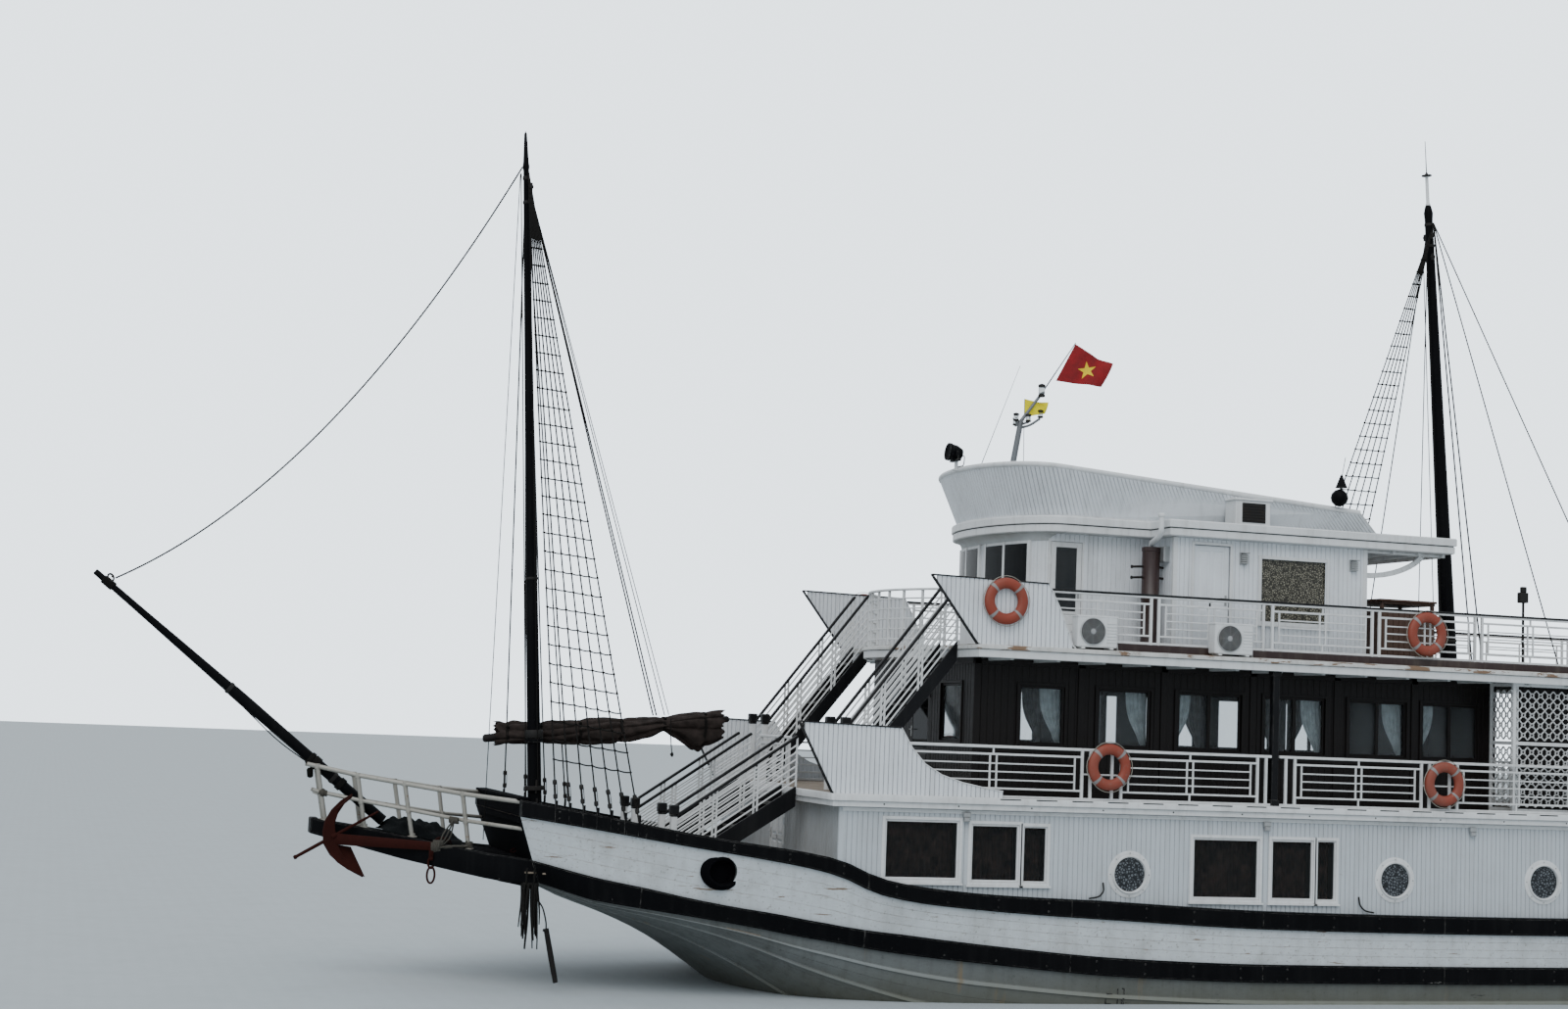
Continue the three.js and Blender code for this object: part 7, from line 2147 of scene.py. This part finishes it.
def roof():
    x0, x1, half = -4.80, 0.60, 2.77
    outline = [(x0, half), (x0, -half), (x1, -half), (x1, -2.05), *reversed(nose(2.15, 0.88, 2.05)), (x1, 2.05),
               (x1, half)]
    lower, upper, line_between = Shape(), Shape(), Shape()
    swept(lower, outline, [(-0.03, ROOF + 0.005), (0.012, ROOF + 0.005), (0.02, ROOF + 0.013), (0.02, 7.695),
                           (0.012, 7.703), (-0.03, 7.703)], closed=True)
    swept(line_between, outline, [(-0.03, 7.70), (0.006, 7.70), (0.006, 7.722), (-0.03, 7.722)], closed=True)
    swept(upper, outline, [(-0.05, 7.72), (0.036, 7.718), (0.044, 7.726), (0.044, 7.83), (0.03, 7.85), (-0.05, 7.85)],
          closed=True)
    piece("roof_lower_band", lower, trim_white, smooth=30)
    piece("roof_shadow_line", line_between, black_paint)
    piece("roof_upper_band", upper, trim_white, smooth=30)
    under = Shape()
    outer, inner = nose(2.15, 0.86, 2.03), nose(BRIDGE_START, BRIDGE_REACH, BRIDGE_HALF)
    rings = []
    for (xo, yo), (xi, yi) in zip(outer, inner):
        ring = [(xo, yo, ROOF + 0.01)]
        for t in np.linspace(0, 1, 7):
            drop = 0.13 * (1 - math.cos(t * math.pi / 2))
            ring.append((xo + (xi + 0.015 - xo) * math.sin(t * math.pi / 2),
                         yo + (yi - yo) * math.sin(t * math.pi / 2), ROOF - 0.004 - drop))
        ring.append((xi, yi, ROOF + 0.01))
        rings.append(ring)
    under.loft(rings)
    piece("roof_soffit", under, soffit, smooth=50)
    felt = Shape()
    for k, y in enumerate(np.arange(-2.7, 2.6, 0.9)):
        felt.box(x0 + 0.05, x1 - 0.05, y, y + 0.897, ROOF_TOP, ROOF_TOP + 0.008 + 0.002 * (k % 2), ease=0.002)
    for y in np.arange(-1.8, 1.7, 0.9):
        felt.box(x1 - 0.05, 2.3, y, y + 0.897, ROOF_TOP, ROOF_TOP + 0.008, ease=0.002)
    piece("roof_sheeting", felt, soffit)
    braces = Shape()
    for s in (1, -1):
        for k in range(9):
            a, b = k / 9 * math.pi / 2, (k + 1) / 9 * math.pi / 2
            p = [(-3.21 - 1.15 * math.sin(t), s * 2.5, ROOF - 0.42 * math.cos(t) ** 1.4 - 0.02) for t in (a, b)]
            braces.beam(p[0], p[1], 0.05, 0.09, ease=0.006)
        braces.box(-4.75, -3.19, s * 2.47, s * 2.53, ROOF - 0.05, ROOF - 0.005, ease=0.006)
    for x in (-3.75, -4.25, -4.72):
        braces.box(x - 0.03, x + 0.03, -2.6, 2.6, ROOF - 0.06, ROOF - 0.002, ease=0.006)
    piece("roof_aft_brackets", braces, trim_white)


def parapet():
    base = ROOF_TOP
    top = lambda x: 8.48 + 0.073 * max(-3.4, min(3.3, x))
    straight_low, straight_high = np.linspace(-3.84, 2.0, 30), np.linspace(-3.31, 2.35, 30)

    def plan(inset=0.0):
        low = [(x, 1.95 - inset) for x in straight_low] + nose(2.0, 1.0 - inset,
                1.95 - inset)[1:] + [(x, inset - 1.95) for x in straight_low[::-1]][1:]
        high = [(x, 2.2 - inset) for x in straight_high] + nose(2.35, 0.95 - inset,
                2.2 - inset)[1:] + [(x, inset - 2.2) for x in straight_high[::-1]][1:]
        return low, high

    low, high = plan()
    lines = list(zip(low, high))
    outer = Plan([p[::1] for p in low], high, base, lambda x: top(x))
    flip = lambda place: (lambda u, o, z: place(u, -o, z))
    skin, cap, foot = Shape(), Shape(), Shape()
    end = outer.run[-1]
    edge = lambda u: top(outer.at(outer.points, u)[0].x) - 0.01
    boards(skin, flip(outer), 0, end, lambda u: base + 0.01, edge, pitch=0.075, gap=0.010, thick=0.016)
    low_in, high_in = plan(0.06)
    inner = Plan(low_in, high_in, base, lambda x: top(x))
    edge_in = lambda u: top(inner.at(inner.points, u)[0].x) - 0.01
    boards(skin, inner, 0, inner.run[-1], lambda u: base + 0.01, edge_in, pitch=0.15, thick=0.010)
    piece("parapet_boards", skin, lit_upper_white)
    rim = []
    for (_, (xh, yh)), _ in zip(lines, low):
        rim.append(Vector((xh, yh * 0.988, top(xh) + 0.005)))
    shape = Shape()
    shape.tube(rim, 0.048, 12)
    swept_low = [(x, y) for x, y in reversed(low)]
    swept(foot, swept_low, [(0.0, base + 0.004), (0.032, base + 0.004), (0.032, base + 0.045), (0.012, base + 0.06),
                            (0.0, base + 0.06)])
    ends = Shape()
    for s in (1, -1):
        ends.beam((-3.84, s * 1.93, base + 0.02), (-3.31, s * 2.17, top(-3.31)), 0.09, 0.03, up=(-1, 0, 0.5),
                  ease=0.006)
    piece("parapet_cap", shape, trim_white, smooth=60)
    piece("parapet_foot", foot, trim_white, smooth=30)
    piece("parapet_ends", ends, trim_white)


roof()
parapet()


# Gear


def life_ring(name, x, y, z, s):
    """Four quarters of orange with pale bands and a grab line."""
    body, bands, line_ = Shape(), Shape(), Shape()
    at, axis = Vector((x, s * y, z)), Vector((0, s, 0))
    section = [(0.285 + 0.088 * math.cos(a), 0.062 * math.sin(a)) for a in np.linspace(0, TAU, 14, endpoint=False)]
    body.ring(section, at, axis, 48)
    for k in range(4):
        a0 = TAU * (k + 0.5) / 4 - 0.075
        rings = []
        for a in np.linspace(a0, a0 + 0.15, 5):
            out = Vector((math.cos(a), 0, math.sin(a)))
            rings.append([at + out * (0.285 + 0.092 * math.cos(b)) + axis * 0.066 * math.sin(b)
                          for b in np.linspace(0, TAU, 14, endpoint=False)])
        bands.loft(rings)
        mid, nxt = TAU * (k + 0.5) / 4, TAU * (k + 1.5) / 4
        arc = []
        for t in np.linspace(0, 1, 9):
            a = mid + (nxt - mid) * t
            arc.append(at + Vector((math.cos(a), 0,
                                    math.sin(a))) * (0.383 + 0.018 * math.sin(math.pi * t)) + axis * 0.01)
        line_.tube(arc, 0.006, 6)
    piece(name, body, orange, smooth=60)
    piece(name + "_bands", bands, ring_band, smooth=60)
    piece(name + "_line", line_, pale_rope, smooth=60)


def air_con(name, x, s):
    """A split unit's outer box: casing, round grille over a fan, side louvres and feet."""
    z0, z1 = DECK3 + 0.05, DECK3 + 0.56
    y0, y1 = 3.09, 3.33
    case, grille, fan = Shape(), Shape(), Shape()
    case.box(x - 0.35, x + 0.35, s * y0, s * y1, z0, z1, ease=0.018)
    case.box(x - 0.36, x + 0.36, s * (y0 - 0.005), s * (y1 + 0.004), z1 - 0.03, z1, ease=0.01)
    face = side_wall(y1, s)
    for k in range(7):
        bar_on(case, face, x - 0.33, x - 0.16, z0 + 0.08 + 0.05 * k, z0 + 0.105 + 0.05 * k, 0.0, 0.008, 0.003)
    for dx in (-0.25, 0.25):
        case.box(x + dx - 0.03, x + dx + 0.03, s * (y0 - 0.0), s * (y1 + 0.005), DECK3 + 0.024, z0, ease=0.004)
    cx, cz = x + 0.09, (z0 + z1) / 2
    at, axis = (cx, s * (y1 + 0.001), cz), (0, s, 0)
    fan.lathe([(0.208, -0.002), (0.208, 0.003), (0.02, 0.003)], at, axis, 32)
    for k in range(5):
        a = TAU * k / 5
        out, turn = Vector((math.cos(a), 0, math.sin(a))), Vector((-math.sin(a), 0, math.cos(a)))
        c = Vector(at) + Vector((0, s * 0.006, 0))
        fan.prism([c + out * 0.05 + turn * 0.02, c + out * 0.18 + turn * 0.09, c + out * 0.19 - turn * 0.03,
                   c + out * 0.06 - turn * 0.03],
                  [p + Vector((0, s * 0.004, 0)) for p in (c + out * 0.05 + turn * 0.02, c + out * 0.18 + turn * 0.09,
                          c + out * 0.19 - turn * 0.03, c + out * 0.06 - turn * 0.03)])
    for r in np.arange(0.045, 0.21, 0.027):
        grille.ring([(r - 0.003, 0.014), (r + 0.003, 0.014), (r + 0.003, 0.021), (r - 0.003, 0.021)], at, axis, 32)
    grille.ring([(0.205, 0.0), (0.222, 0.0), (0.22, 0.02), (0.207, 0.024)], at, axis, 32)
    for k in range(8):
        a = TAU * k / 8
        out = Vector((math.cos(a), 0, math.sin(a)))
        c = Vector(at) + Vector((0, s * 0.018, 0))
        grille.tube([c + out * 0.03, c + out * 0.21], 0.0035, 5)
    grille.lathe([(0.04, 0.012), (0.04, 0.024), (0.03, 0.028)], at, axis, 20)
    pipe = Shape()
    pipe.tube(arc_line([(x - 0.33, s * y0, z0 + 0.12), (x - 0.42, s * (y0 + 0.02), z0 + 0.10),
                        (x - 0.47, s * (y0 - 0.02), z0 - 0.02), (x - 0.5, s * (y0 - 0.10), DECK3 + 0.045)], 12), 0.02,
                        8)
    stands = {"fore": "aircon_fore", "aft": "aircon_aft"}
    piece(f"{name}_case", case, trim_white, smooth=35,
          stands_for=(stands[name.split("_")[1]],) if s > 0 else ())
    piece(f"{name}_fan", fan, dark_iron)
    piece(f"{name}_grille", grille, grey_metal, smooth=40)
    piece(f"{name}_pipe", pipe, soffit, smooth=50)


def gear():
    for k, (x, y, z) in enumerate(((3.76, 3.36, 6.30), (1.92, 3.42, 3.74), (-4.06, 3.145, 6.16),
                                   (-4.25, 3.42, 3.65))):
        for name, s in SIDES:
            life_ring(f"life_ring_{k + 1}_{name}", x, y, z, s)
    air_con("aircon_fore", 2.14, 1)
    air_con("aircon_aft", -0.31, 1)
    duct, arms, elbow, vent, hole = (Shape() for _ in range(5))
    duct.lathe([(0.15, 0), (0.158, 0.02), (0.158, 0.06), (0.148, 0.08), (0.148, 0.9), (0.156, 0.91), (0.156, 0.95),
                (0.148, 0.96), (0.148, 1.72),
                (0.158, 1.73), (0.158, 1.79), (0.12, 1.80)], (0.67, 2.2, DECK3 + 0.02), sides=28)
    for z in (6.9, 7.08):
        for a in (-1, 1):
            arms.tube([(0.67 + a * 0.12, 2.2, z), (0.67 + a * 0.36, 2.24, z - 0.02)], 0.02, 8)
            arms.lathe([(0.03, 0), (0.03, 0.02)], (0.67 + a * 0.36, 2.24, z - 0.02), (a, 0, 0), 10)
    elbow.tube(arc_line([(0.67, 2.2, 7.38), (0.68, 2.22, 7.44), (0.72, 2.40, 7.50), (0.74, 2.62, 7.56),
                         (0.75, 2.72, 7.70), (0.75, 2.72, 7.93)], 26), 0.045, 12)
    elbow.lathe([(0.055, 0), (0.06, 0.015), (0.06, 0.05), (0.05, 0.06)], (0.75, 2.72, 7.88), sides=16)
    vent.box(-1.40, -0.74, 2.12, 2.50, ROOF_TOP + 0.02, 8.29, ease=0.015)
    vent.box(-1.43, -0.71, 2.09, 2.53, 8.28, 8.315, ease=0.01)
    hole.box(-1.30, -0.86, 2.49, 2.512, ROOF_TOP + 0.08, 8.24, ease=0.004)
    for k in range(6):
        hole.beam((-1.29, 2.512, 7.95 + 0.048 * k), (-0.87, 2.512, 7.95 + 0.048 * k), 0.02, 0.006, up=(0, 0.6, 1))
    piece("vent_duct", duct, maroon, smooth=40)
    piece("vent_duct_arms", arms, dark_iron, smooth=40)
    piece("vent_elbow", elbow, trim_white, smooth=50)
    piece("roof_vent_box", vent, trim_white, smooth=35)
    piece("roof_vent_louvre", hole, dark_iron)
    lamp, post = Shape(), Shape()
    post.lathe([(0.07, 0), (0.07, 0.02), (0.032, 0.04), (0.032, 0.16), (0.05, 0.18)], (3.35, 0, 8.71), sides=16)
    p, axis = Vector((3.40, 0.0, 9.02)), Vector((1, 0, 0.12)).normalized()
    lamp.lathe([(0.03, -0.16), (0.09, -0.14), (0.135, -0.04), (0.145, 0.06), (0.155, 0.07), (0.155, 0.12),
                (0.14, 0.125), (0.13, 0.10), (0.03, 0.09)], p, axis, 24)
    for s in (1, -1):
        lamp.beam((3.38, s * 0.17, 8.90), (3.40, s * 0.17, 9.04), 0.02, 0.03, up=(1, 0, 0), ease=0.004)
    lamp.box(3.33, 3.41, -0.18, 0.18, 8.87, 8.90, ease=0.006)
    lamp.tube(arc_line([p - axis * 0.12, p + Vector((-0.2, 0, -0.06)), p + Vector((-0.16, 0.03, -0.22)),
                        (3.33, 0.03, 8.78)], 12), 0.010, 6)
    piece("searchlight", lamp, black_paint, smooth=40)
    piece("searchlight_post", post, trim_white, smooth=40)
    knob = Shape()
    knob.lathe([(0.03, 0), (0.03, 0.03), (0.012, 0.04), (0.02, 0.07), (0.01, 0.09)], (1.04, 0.4, 8.50), sides=12)
    knob.tube([(1.04, 0.4, ROOF_TOP), (1.04, 0.4, 8.52)], 0.014, 8)
    piece("roof_light_stub", knob, dark_iron, smooth=40)
    mast_, lamps, glass = Shape(), Shape(), Shape()
    knee, tip = Vector((2.16, 0, 9.67)), Vector((1.15, 0, 11.15))
    mast_.tube([(2.46, 0, ROOF_TOP), (2.36, 0, 8.46), knee], [0.062, 0.056, 0.048], 16)
    mast_.tube([knee, (1.80, 0, 10.16)], [0.032, 0.026], 12)
    mast_.tube([(1.80, 0, 10.16), tip], [0.014, 0.008], 10)
    mast_.box(2.34, 2.58, -0.09, 0.09, ROOF_TOP + 0.001, ROOF_TOP + 0.05, ease=0.008)
    mast_.tube(arc_line([(2.25, 0, 9.66), (2.16, 0, 9.56), (2.02, 0, 9.60), (1.80, 0, 9.74)], 14), 0.022, 10)
    mast_.tube([(2.14, -0.28, 9.62), (2.14, 0.28, 9.62)], 0.018, 10)
    for x, y, z in ((2.25, 0, 9.66), (1.79, 0, 9.75), (2.14, 0.28, 9.62), (2.14, -0.28, 9.62)):
        lamps.lathe([(0.02, 0), (0.05, 0.01), (0.055, 0.03), (0.03, 0.04)], (x, y, z), sides=16)
        glass.lathe([(0.03, 0.035), (0.045, 0.045), (0.045, 0.10), (0.03, 0.11)], (x, y, z), sides=16)
        lamps.lathe([(0.03, 0.10), (0.055, 0.115), (0.05, 0.14), (0.01, 0.155)], (x, y, z), sides=16)
    lamps.lathe([(0.05, 0), (0.06, 0.01), (0.06, 0.04), (0.045, 0.05)], (1.80, 0.05, 10.12), sides=16)
    glass.lathe([(0.045, 0.045), (0.055, 0.06), (0.055, 0.17), (0.045, 0.18)], (1.80, 0.05, 10.12), sides=16)
    lamps.lathe([(0.045, 0.17), (0.065, 0.185), (0.06, 0.22), (0.01, 0.24)], (1.80, 0.05, 10.12), sides=16)
    mast_.tube([(2.10, 0, 10.07), (2.095, 0, 9.5), (2.06, 0, ROOF_TOP)], 0.006, 6)
    piece("light_mast_tubes", mast_, pole_grey, smooth=45, stands_for=("light_mast",))
    piece("light_mast_lamps", lamps, dark_iron, smooth=40)
    piece("light_mast_lenses", glass, clear_glass, smooth=40)
    aerial("whip_aerial", (2.96, 0.06, 8.70), (2.23, 0.06, 10.64), 0.007)
    bracket = Shape()
    bracket.beam((3.22, 0.06, 8.66), (2.95, 0.06, 8.69), 0.04, 0.03, ease=0.005)
    piece("aerial_bracket", bracket, trim_white)
    ball = Shape()
    ball.lathe([(0.02, -0.15), (0.075, -0.13), (0.13, -0.075), (0.15, 0), (0.13, 0.075), (0.075, 0.13), (0.02, 0.15)],
               (-2.86, 2.26, 8.47), sides=24)
    ball.lathe([(0.11, -0.11), (0.10, -0.105), (0.02, 0.10), (0.008, 0.12)], (-2.90, 2.25, 8.76), sides=20)
    ball.tube([(-2.86, 2.26, 8.60), (-2.90, 2.25, 8.80), (-3.05, 2.12, 9.20)], 0.006, 6)
    piece("day_signals", ball, black_paint, smooth=50)
    pole = Shape()
    pole.tube([(-6.07, 2.98, DECK3 + 0.02), (-6.07, 2.98, 6.82)], 0.022, 10)
    pole.lathe([(0.05, 0), (0.05, 0.02), (0.024, 0.03)], (-6.07, 2.98, DECK3 + 0.02), sides=12)
    pole.box(-6.14, -5.98, 2.92, 3.04, 6.80, 6.98, ease=0.012)
    pole.box(-6.12, -6.02, 2.94, 3.02, 6.98, 7.08, ease=0.012)
    piece("deck_lamp_pole", pole, dark_iron, smooth=35)


def flags():
    corners = [Vector(p) for p in ((1.155, 0, 11.13), (1.515, 0, 10.44), (0.43, 0, 10.83), (0.63, 0, 10.40))]
    for name, (a, b, c, d), material, deep in (
        ("ensign", corners, flag_red, 0.055),
        ("pennant", [Vector(p) for p in ((2.10, 0, 10.07), (2.095, 0, 9.75), (1.65, 0, 10.04), (1.70, 0, 9.84))],
         flag_yellow, 0.03),
    ):
        rings = []
        for i in range(31):
            u = i / 30
            ring = []
            for j in range(21):
                v = j / 20
                p = a.lerp(b, v).lerp(c.lerp(d, v), u)
                wave = math.sin(7.5 * u + 2.2 * v) * deep * (0.15 + 0.85 * u) + 0.4 * deep * math.sin(15 * u - 3 * v + 1) * u
                p.y += wave
                p.z -= 0.05 * math.sin(math.pi * u) * (1 - v) * deep / 0.055 * 0.6
                ring.append(p)
            rings.append(ring)
        shape = Shape()
        shape.loft(rings, ends=False, closed=False)
        made = sheet_piece(name, shape, rings, material)


def hut():
    box_, top = Shape(), Shape()
    x0, x1, y0, y1, z0, z1 = -4.80, -3.80, 1.15, 2.15, DECK3 + 0.025, 6.62
    for x, facing in ((x0, -1), (x1, 1)):
        boards(box_, lambda u, o, z: (x + facing * o, u, z), y0, y1, lambda u: z0 + 0.05, lambda u: z1, pitch=0.11)
    for y, facing in ((y0, -1), (y1, 1)):
        boards(box_, lambda u, o, z: (u, y + facing * o, z), x0, x1, lambda u: z0 + 0.05, lambda u: z1, pitch=0.11)
    box_.box(x0, x1, y0, y1, z0, z1)
    for x in (x0, x1):
        for y in (y0, y1):
            box_.box(x - 0.03, x + 0.03, y - 0.03, y + 0.03, z0, z1 + 0.12, ease=0.006)
    top.box(x0 - 0.04, x1 + 0.10, y0 - 0.10, y1 + 0.10, z1 + 0.12, z1 + 0.16, ease=0.012)
    top.box(x0 - 0.04, x1 + 0.04, y0 - 0.04, y1 + 0.04, z1 + 0.08, z1 + 0.12, ease=0.008)
    piece("deck_bar_counter", box_, hut_wood)
    piece("deck_bar_top", top, hut_wood)


gear()
flags()
hut()
folded_cover()


def steering():
    shape = Shape()
    fore, aft, foot = -12.5, -13.5, -1.38
    for k in range(5):
        t0, t1 = k / 5, (k + 1) / 5
        edge = lambda t, z0, z1: (fore + (aft - fore) * t, z0 + (z1 - z0) * t)
        a, b = edge(t0 + 0.006, foot, foot), edge(t1 - 0.006, foot, foot)
        c, d = edge(t1 - 0.006, -0.52, -0.17), edge(t0 + 0.006, -0.52, -0.17)
        shape.plate([a, b, c, d], lambda u, o, z: (u, o, z), -0.042, 0.042)
    shape.tube([(-12.65, 0, -0.85), (-12.65, 0, -0.2)], 0.06, 20)
    straps = Shape()
    for z in (-0.65, -0.95, -1.22):
        for s in (1, -1):
            straps.box(-12.72, -13.38, s * 0.042, s * 0.052, z - 0.035, z + 0.035, ease=0.003)
            for x in (-12.85, -13.05, -13.25):
                straps.lathe([(0.014, 0), (0.012, 0.008), (0.005, 0.011)], (x, s * 0.051, z), (0, s, 0), 8)
    piece("rudder_blade", shape, bottom_paint, body="rudder", smooth=35, stands_for=("rudder",))
    piece("rudder_straps", straps, bronze, body="rudder", smooth=35)
    screw = Shape()
    x0 = -11.8003
    screw.lathe([(0.08, 0), (0.086, 0.03), (0.08, 0.16), (0.062, 0.22), (0.03, 0.24)], (x0, 0, -1.08), (-1, 0, 0), 24)
    for k in range(4):
        turn = Quaternion((1, 0, 0), TAU * k / 4)
        rings = []
        for r in np.linspace(0.06, 0.38, 12):
            pitch = math.atan2(0.10, r)
            chord = 0.105 * math.sin(math.pi * min(1, (r - 0.02) / 0.40)) ** 0.6 + 0.008
            sweep = 0.25 * (r - 0.06)
            thick = 0.013 * (1 - (r - 0.06) / 0.42)
            ring = []
            for t, side in ((-1, 0), (-0.5, 1), (0, 1), (0.5, 1), (1, 0), (0.5, -1), (0, -1), (-0.5, -1)):
                along = t * chord + sweep
                p = Vector((-math.sin(pitch) * t * chord + side * thick * math.cos(pitch) * (1 - t * t),
                            along * math.cos(pitch) + side * thick * math.sin(pitch) * (1 - t * t), r))
                ring.append(turn @ p + Vector((x0 - 0.12, 0, -1.08)))
            rings.append(ring)
        screw.loft(rings)
    piece("propeller_blades", screw, bronze, body="propeller", smooth=45, stands_for=("propeller",))


steering()


# Loose ropes at the bow and the boom
def free_cord(name, route, radius, material, body, sides=8):
    """A rope along smooth route points."""
    made = Shape()
    made.tube(route, radius, sides)
    made = piece(name, made, material, body, smooth=60)
    return made


def knotted(name, at, radius, body, material=dark_rope):
    shape = Shape()
    at = Vector(at)
    for k, turn in enumerate((0.3, 1.4, 2.5)):
        axis = Vector((math.cos(turn), math.sin(turn), 0.5)).normalized()
        shape.ring([(radius * 1.5 + radius * math.cos(a), radius * math.sin(a)) for a in np.linspace(0, TAU, 8,
                endpoint=False)], at - Vector((0, 0, radius * (1 + k))), axis, 16)
    return piece(name, shape, material, body, smooth=60)


def loose_ropes():
    tail = [Vector((8.245 - 0.035 * t + 0.012 * math.sin(4 * t), -0.092 + 0.01 * math.sin(5 * t),
                    4.22 - 0.56 * t)) for t in np.linspace(0, 1, 20)]
    knot = knotted("sail_tail_knot", tail[-1], 0.012, "boom")
    free_cord("sail_tail", tail, 0.009, dark_rope, "boom")
    rag, pole = Shape(), Shape()
    rng = random.Random(41)
    for k in range(34):
        x0, y0 = rng.uniform(10.79, 11.04), rng.uniform(1.95, 2.12)
        drop = rng.uniform(0.60, 0.86) if k > 3 else 0.98
        part = 0.05 if x0 < 10.91 else -0.02
        line_ = [Vector((x0 - part * t + 0.01 * math.sin(5 * t + k), y0 + 0.012 * math.cos(4 * t + k),
                         1.64 - drop * t)) for t in np.linspace(0, 1, 9)]
        rag.tube(line_, [0.020 * (1 - 0.55 * t) for t in np.linspace(0, 1, 9)], 6)
    rag.tube([(10.80, 2.03, 1.60), (11.03, 2.03, 1.62)], 0.045, 10)
    rag.tube([(10.86, 2.05, 1.61), (10.86, 2.06, 1.86)], 0.016, 8)
    rag.tube([(10.98, 2.05, 1.62), (10.98, 2.06, 1.88)], 0.016, 8)
    piece("bow_fender_strands", rag, dark_rope, smooth=60)
    pole.tube([(10.64, 2.06, 0.97), (10.55, 2.08, 0.55), (10.465, 2.11, 0.16)], [0.040, 0.044, 0.038], 14)
    pole.lathe([(0.046, 0), (0.048, 0.03), (0.041, 0.04)], (10.64, 2.06, 0.955), (0.3, 0, -1), 14)
    piece("bow_pole", pole, timber_black, smooth=45)
    route = arc_line([(10.84, 2.10, 1.57), (10.815, 2.125, 1.44), (10.72, 2.13, 1.28), (10.675, 2.12, 1.14),
                      (10.645, 2.075, 1.02), (10.641, 2.062, 0.975)], 22)
    free_cord("pole_lanyard", route, 0.012, dark_rope, "ship")


loose_ropes()

# The solids that stay in view keep their shape and take their finish here.
CORES = {
    "lower_house": (shaded_house_white, "white_paint"), "house_door": (shaded_house_white, "white_paint"),
    "deck_2": (trim_white, "white_paint"), "deck_3": (trim_white, "white_paint"),
    "saloon": (saloon_wood, "dark_wood"), "saloon_door": (saloon_wood, "dark_wood"),
    "deck_house": (lit_upper_white, "white_paint"), "roof": (trim_white, "white_paint"),
    "parapet": (lit_upper_white, "white_paint"),
    "wheelhouse_door_port": (trim_white, "white_paint"), "wheelhouse_door_starboard": (trim_white, "white_paint"),
    "cabin_door_port": (lit_upper_white, "white_paint"), "cabin_door_starboard": (lit_upper_white, "white_paint"),
    "saloon_glass_port": (saloon_glass, "window_glass"), "saloon_glass_starboard": (saloon_glass, "window_glass"),
}
for name, (material, slot) in CORES.items():
    core = bpy.data.objects.get(name)
    if core is not None:
        core.data.materials.clear()
        core.data.materials.append(material)


def add_lights():
    world = bpy.data.worlds.new("soft sky")
    bpy.context.scene.world = world
    world.use_nodes = True
    back = next(n for n in world.node_tree.nodes if n.type == "BACKGROUND")
    back.inputs["Color"].default_value = (0.78, 0.86, 0.93, 1)
    g = Graph(world.node_tree)
    # the sky is drawn brighter than the light it gives
    seen = g("ShaderNodeLightPath").outputs["Is Camera Ray"]
    world.node_tree.links.new(g.span(seen, 0, 1, 0.88, 3.0), back.inputs["Strength"])
    for name, strength, spread, turn in (("key", 1.5, 50, (42, 0, 150)), ("fill", 0.5, 90, (60, 0, -20))):
        light = bpy.data.lights.new(name, "SUN")
        light.energy, light.angle = strength, math.radians(spread)
        made = bpy.data.objects.new(name, light)
        made.rotation_euler = [math.radians(a) for a in turn]
        bpy.context.scene.collection.objects.link(made)


def add_floor():
    reach = 260
    mesh = bpy.data.meshes.new("floor")
    mesh.from_pydata([(-reach, -reach, 0), (reach, -reach, 0), (reach, reach, 0), (-reach, reach, 0)], [],
                     [(0, 1, 2, 3)])
    mesh.materials.append(painted("floor paint", (0.44, 0.485, 0.505), 0.75, 0.0, 0.05, 0.0, 0.0, (0.5, 0.5, 0.5),
                                  0.0))
    made = bpy.data.objects.new("floor", mesh)
    bpy.context.scene.collection.objects.link(made)


add_lights()
add_floor()
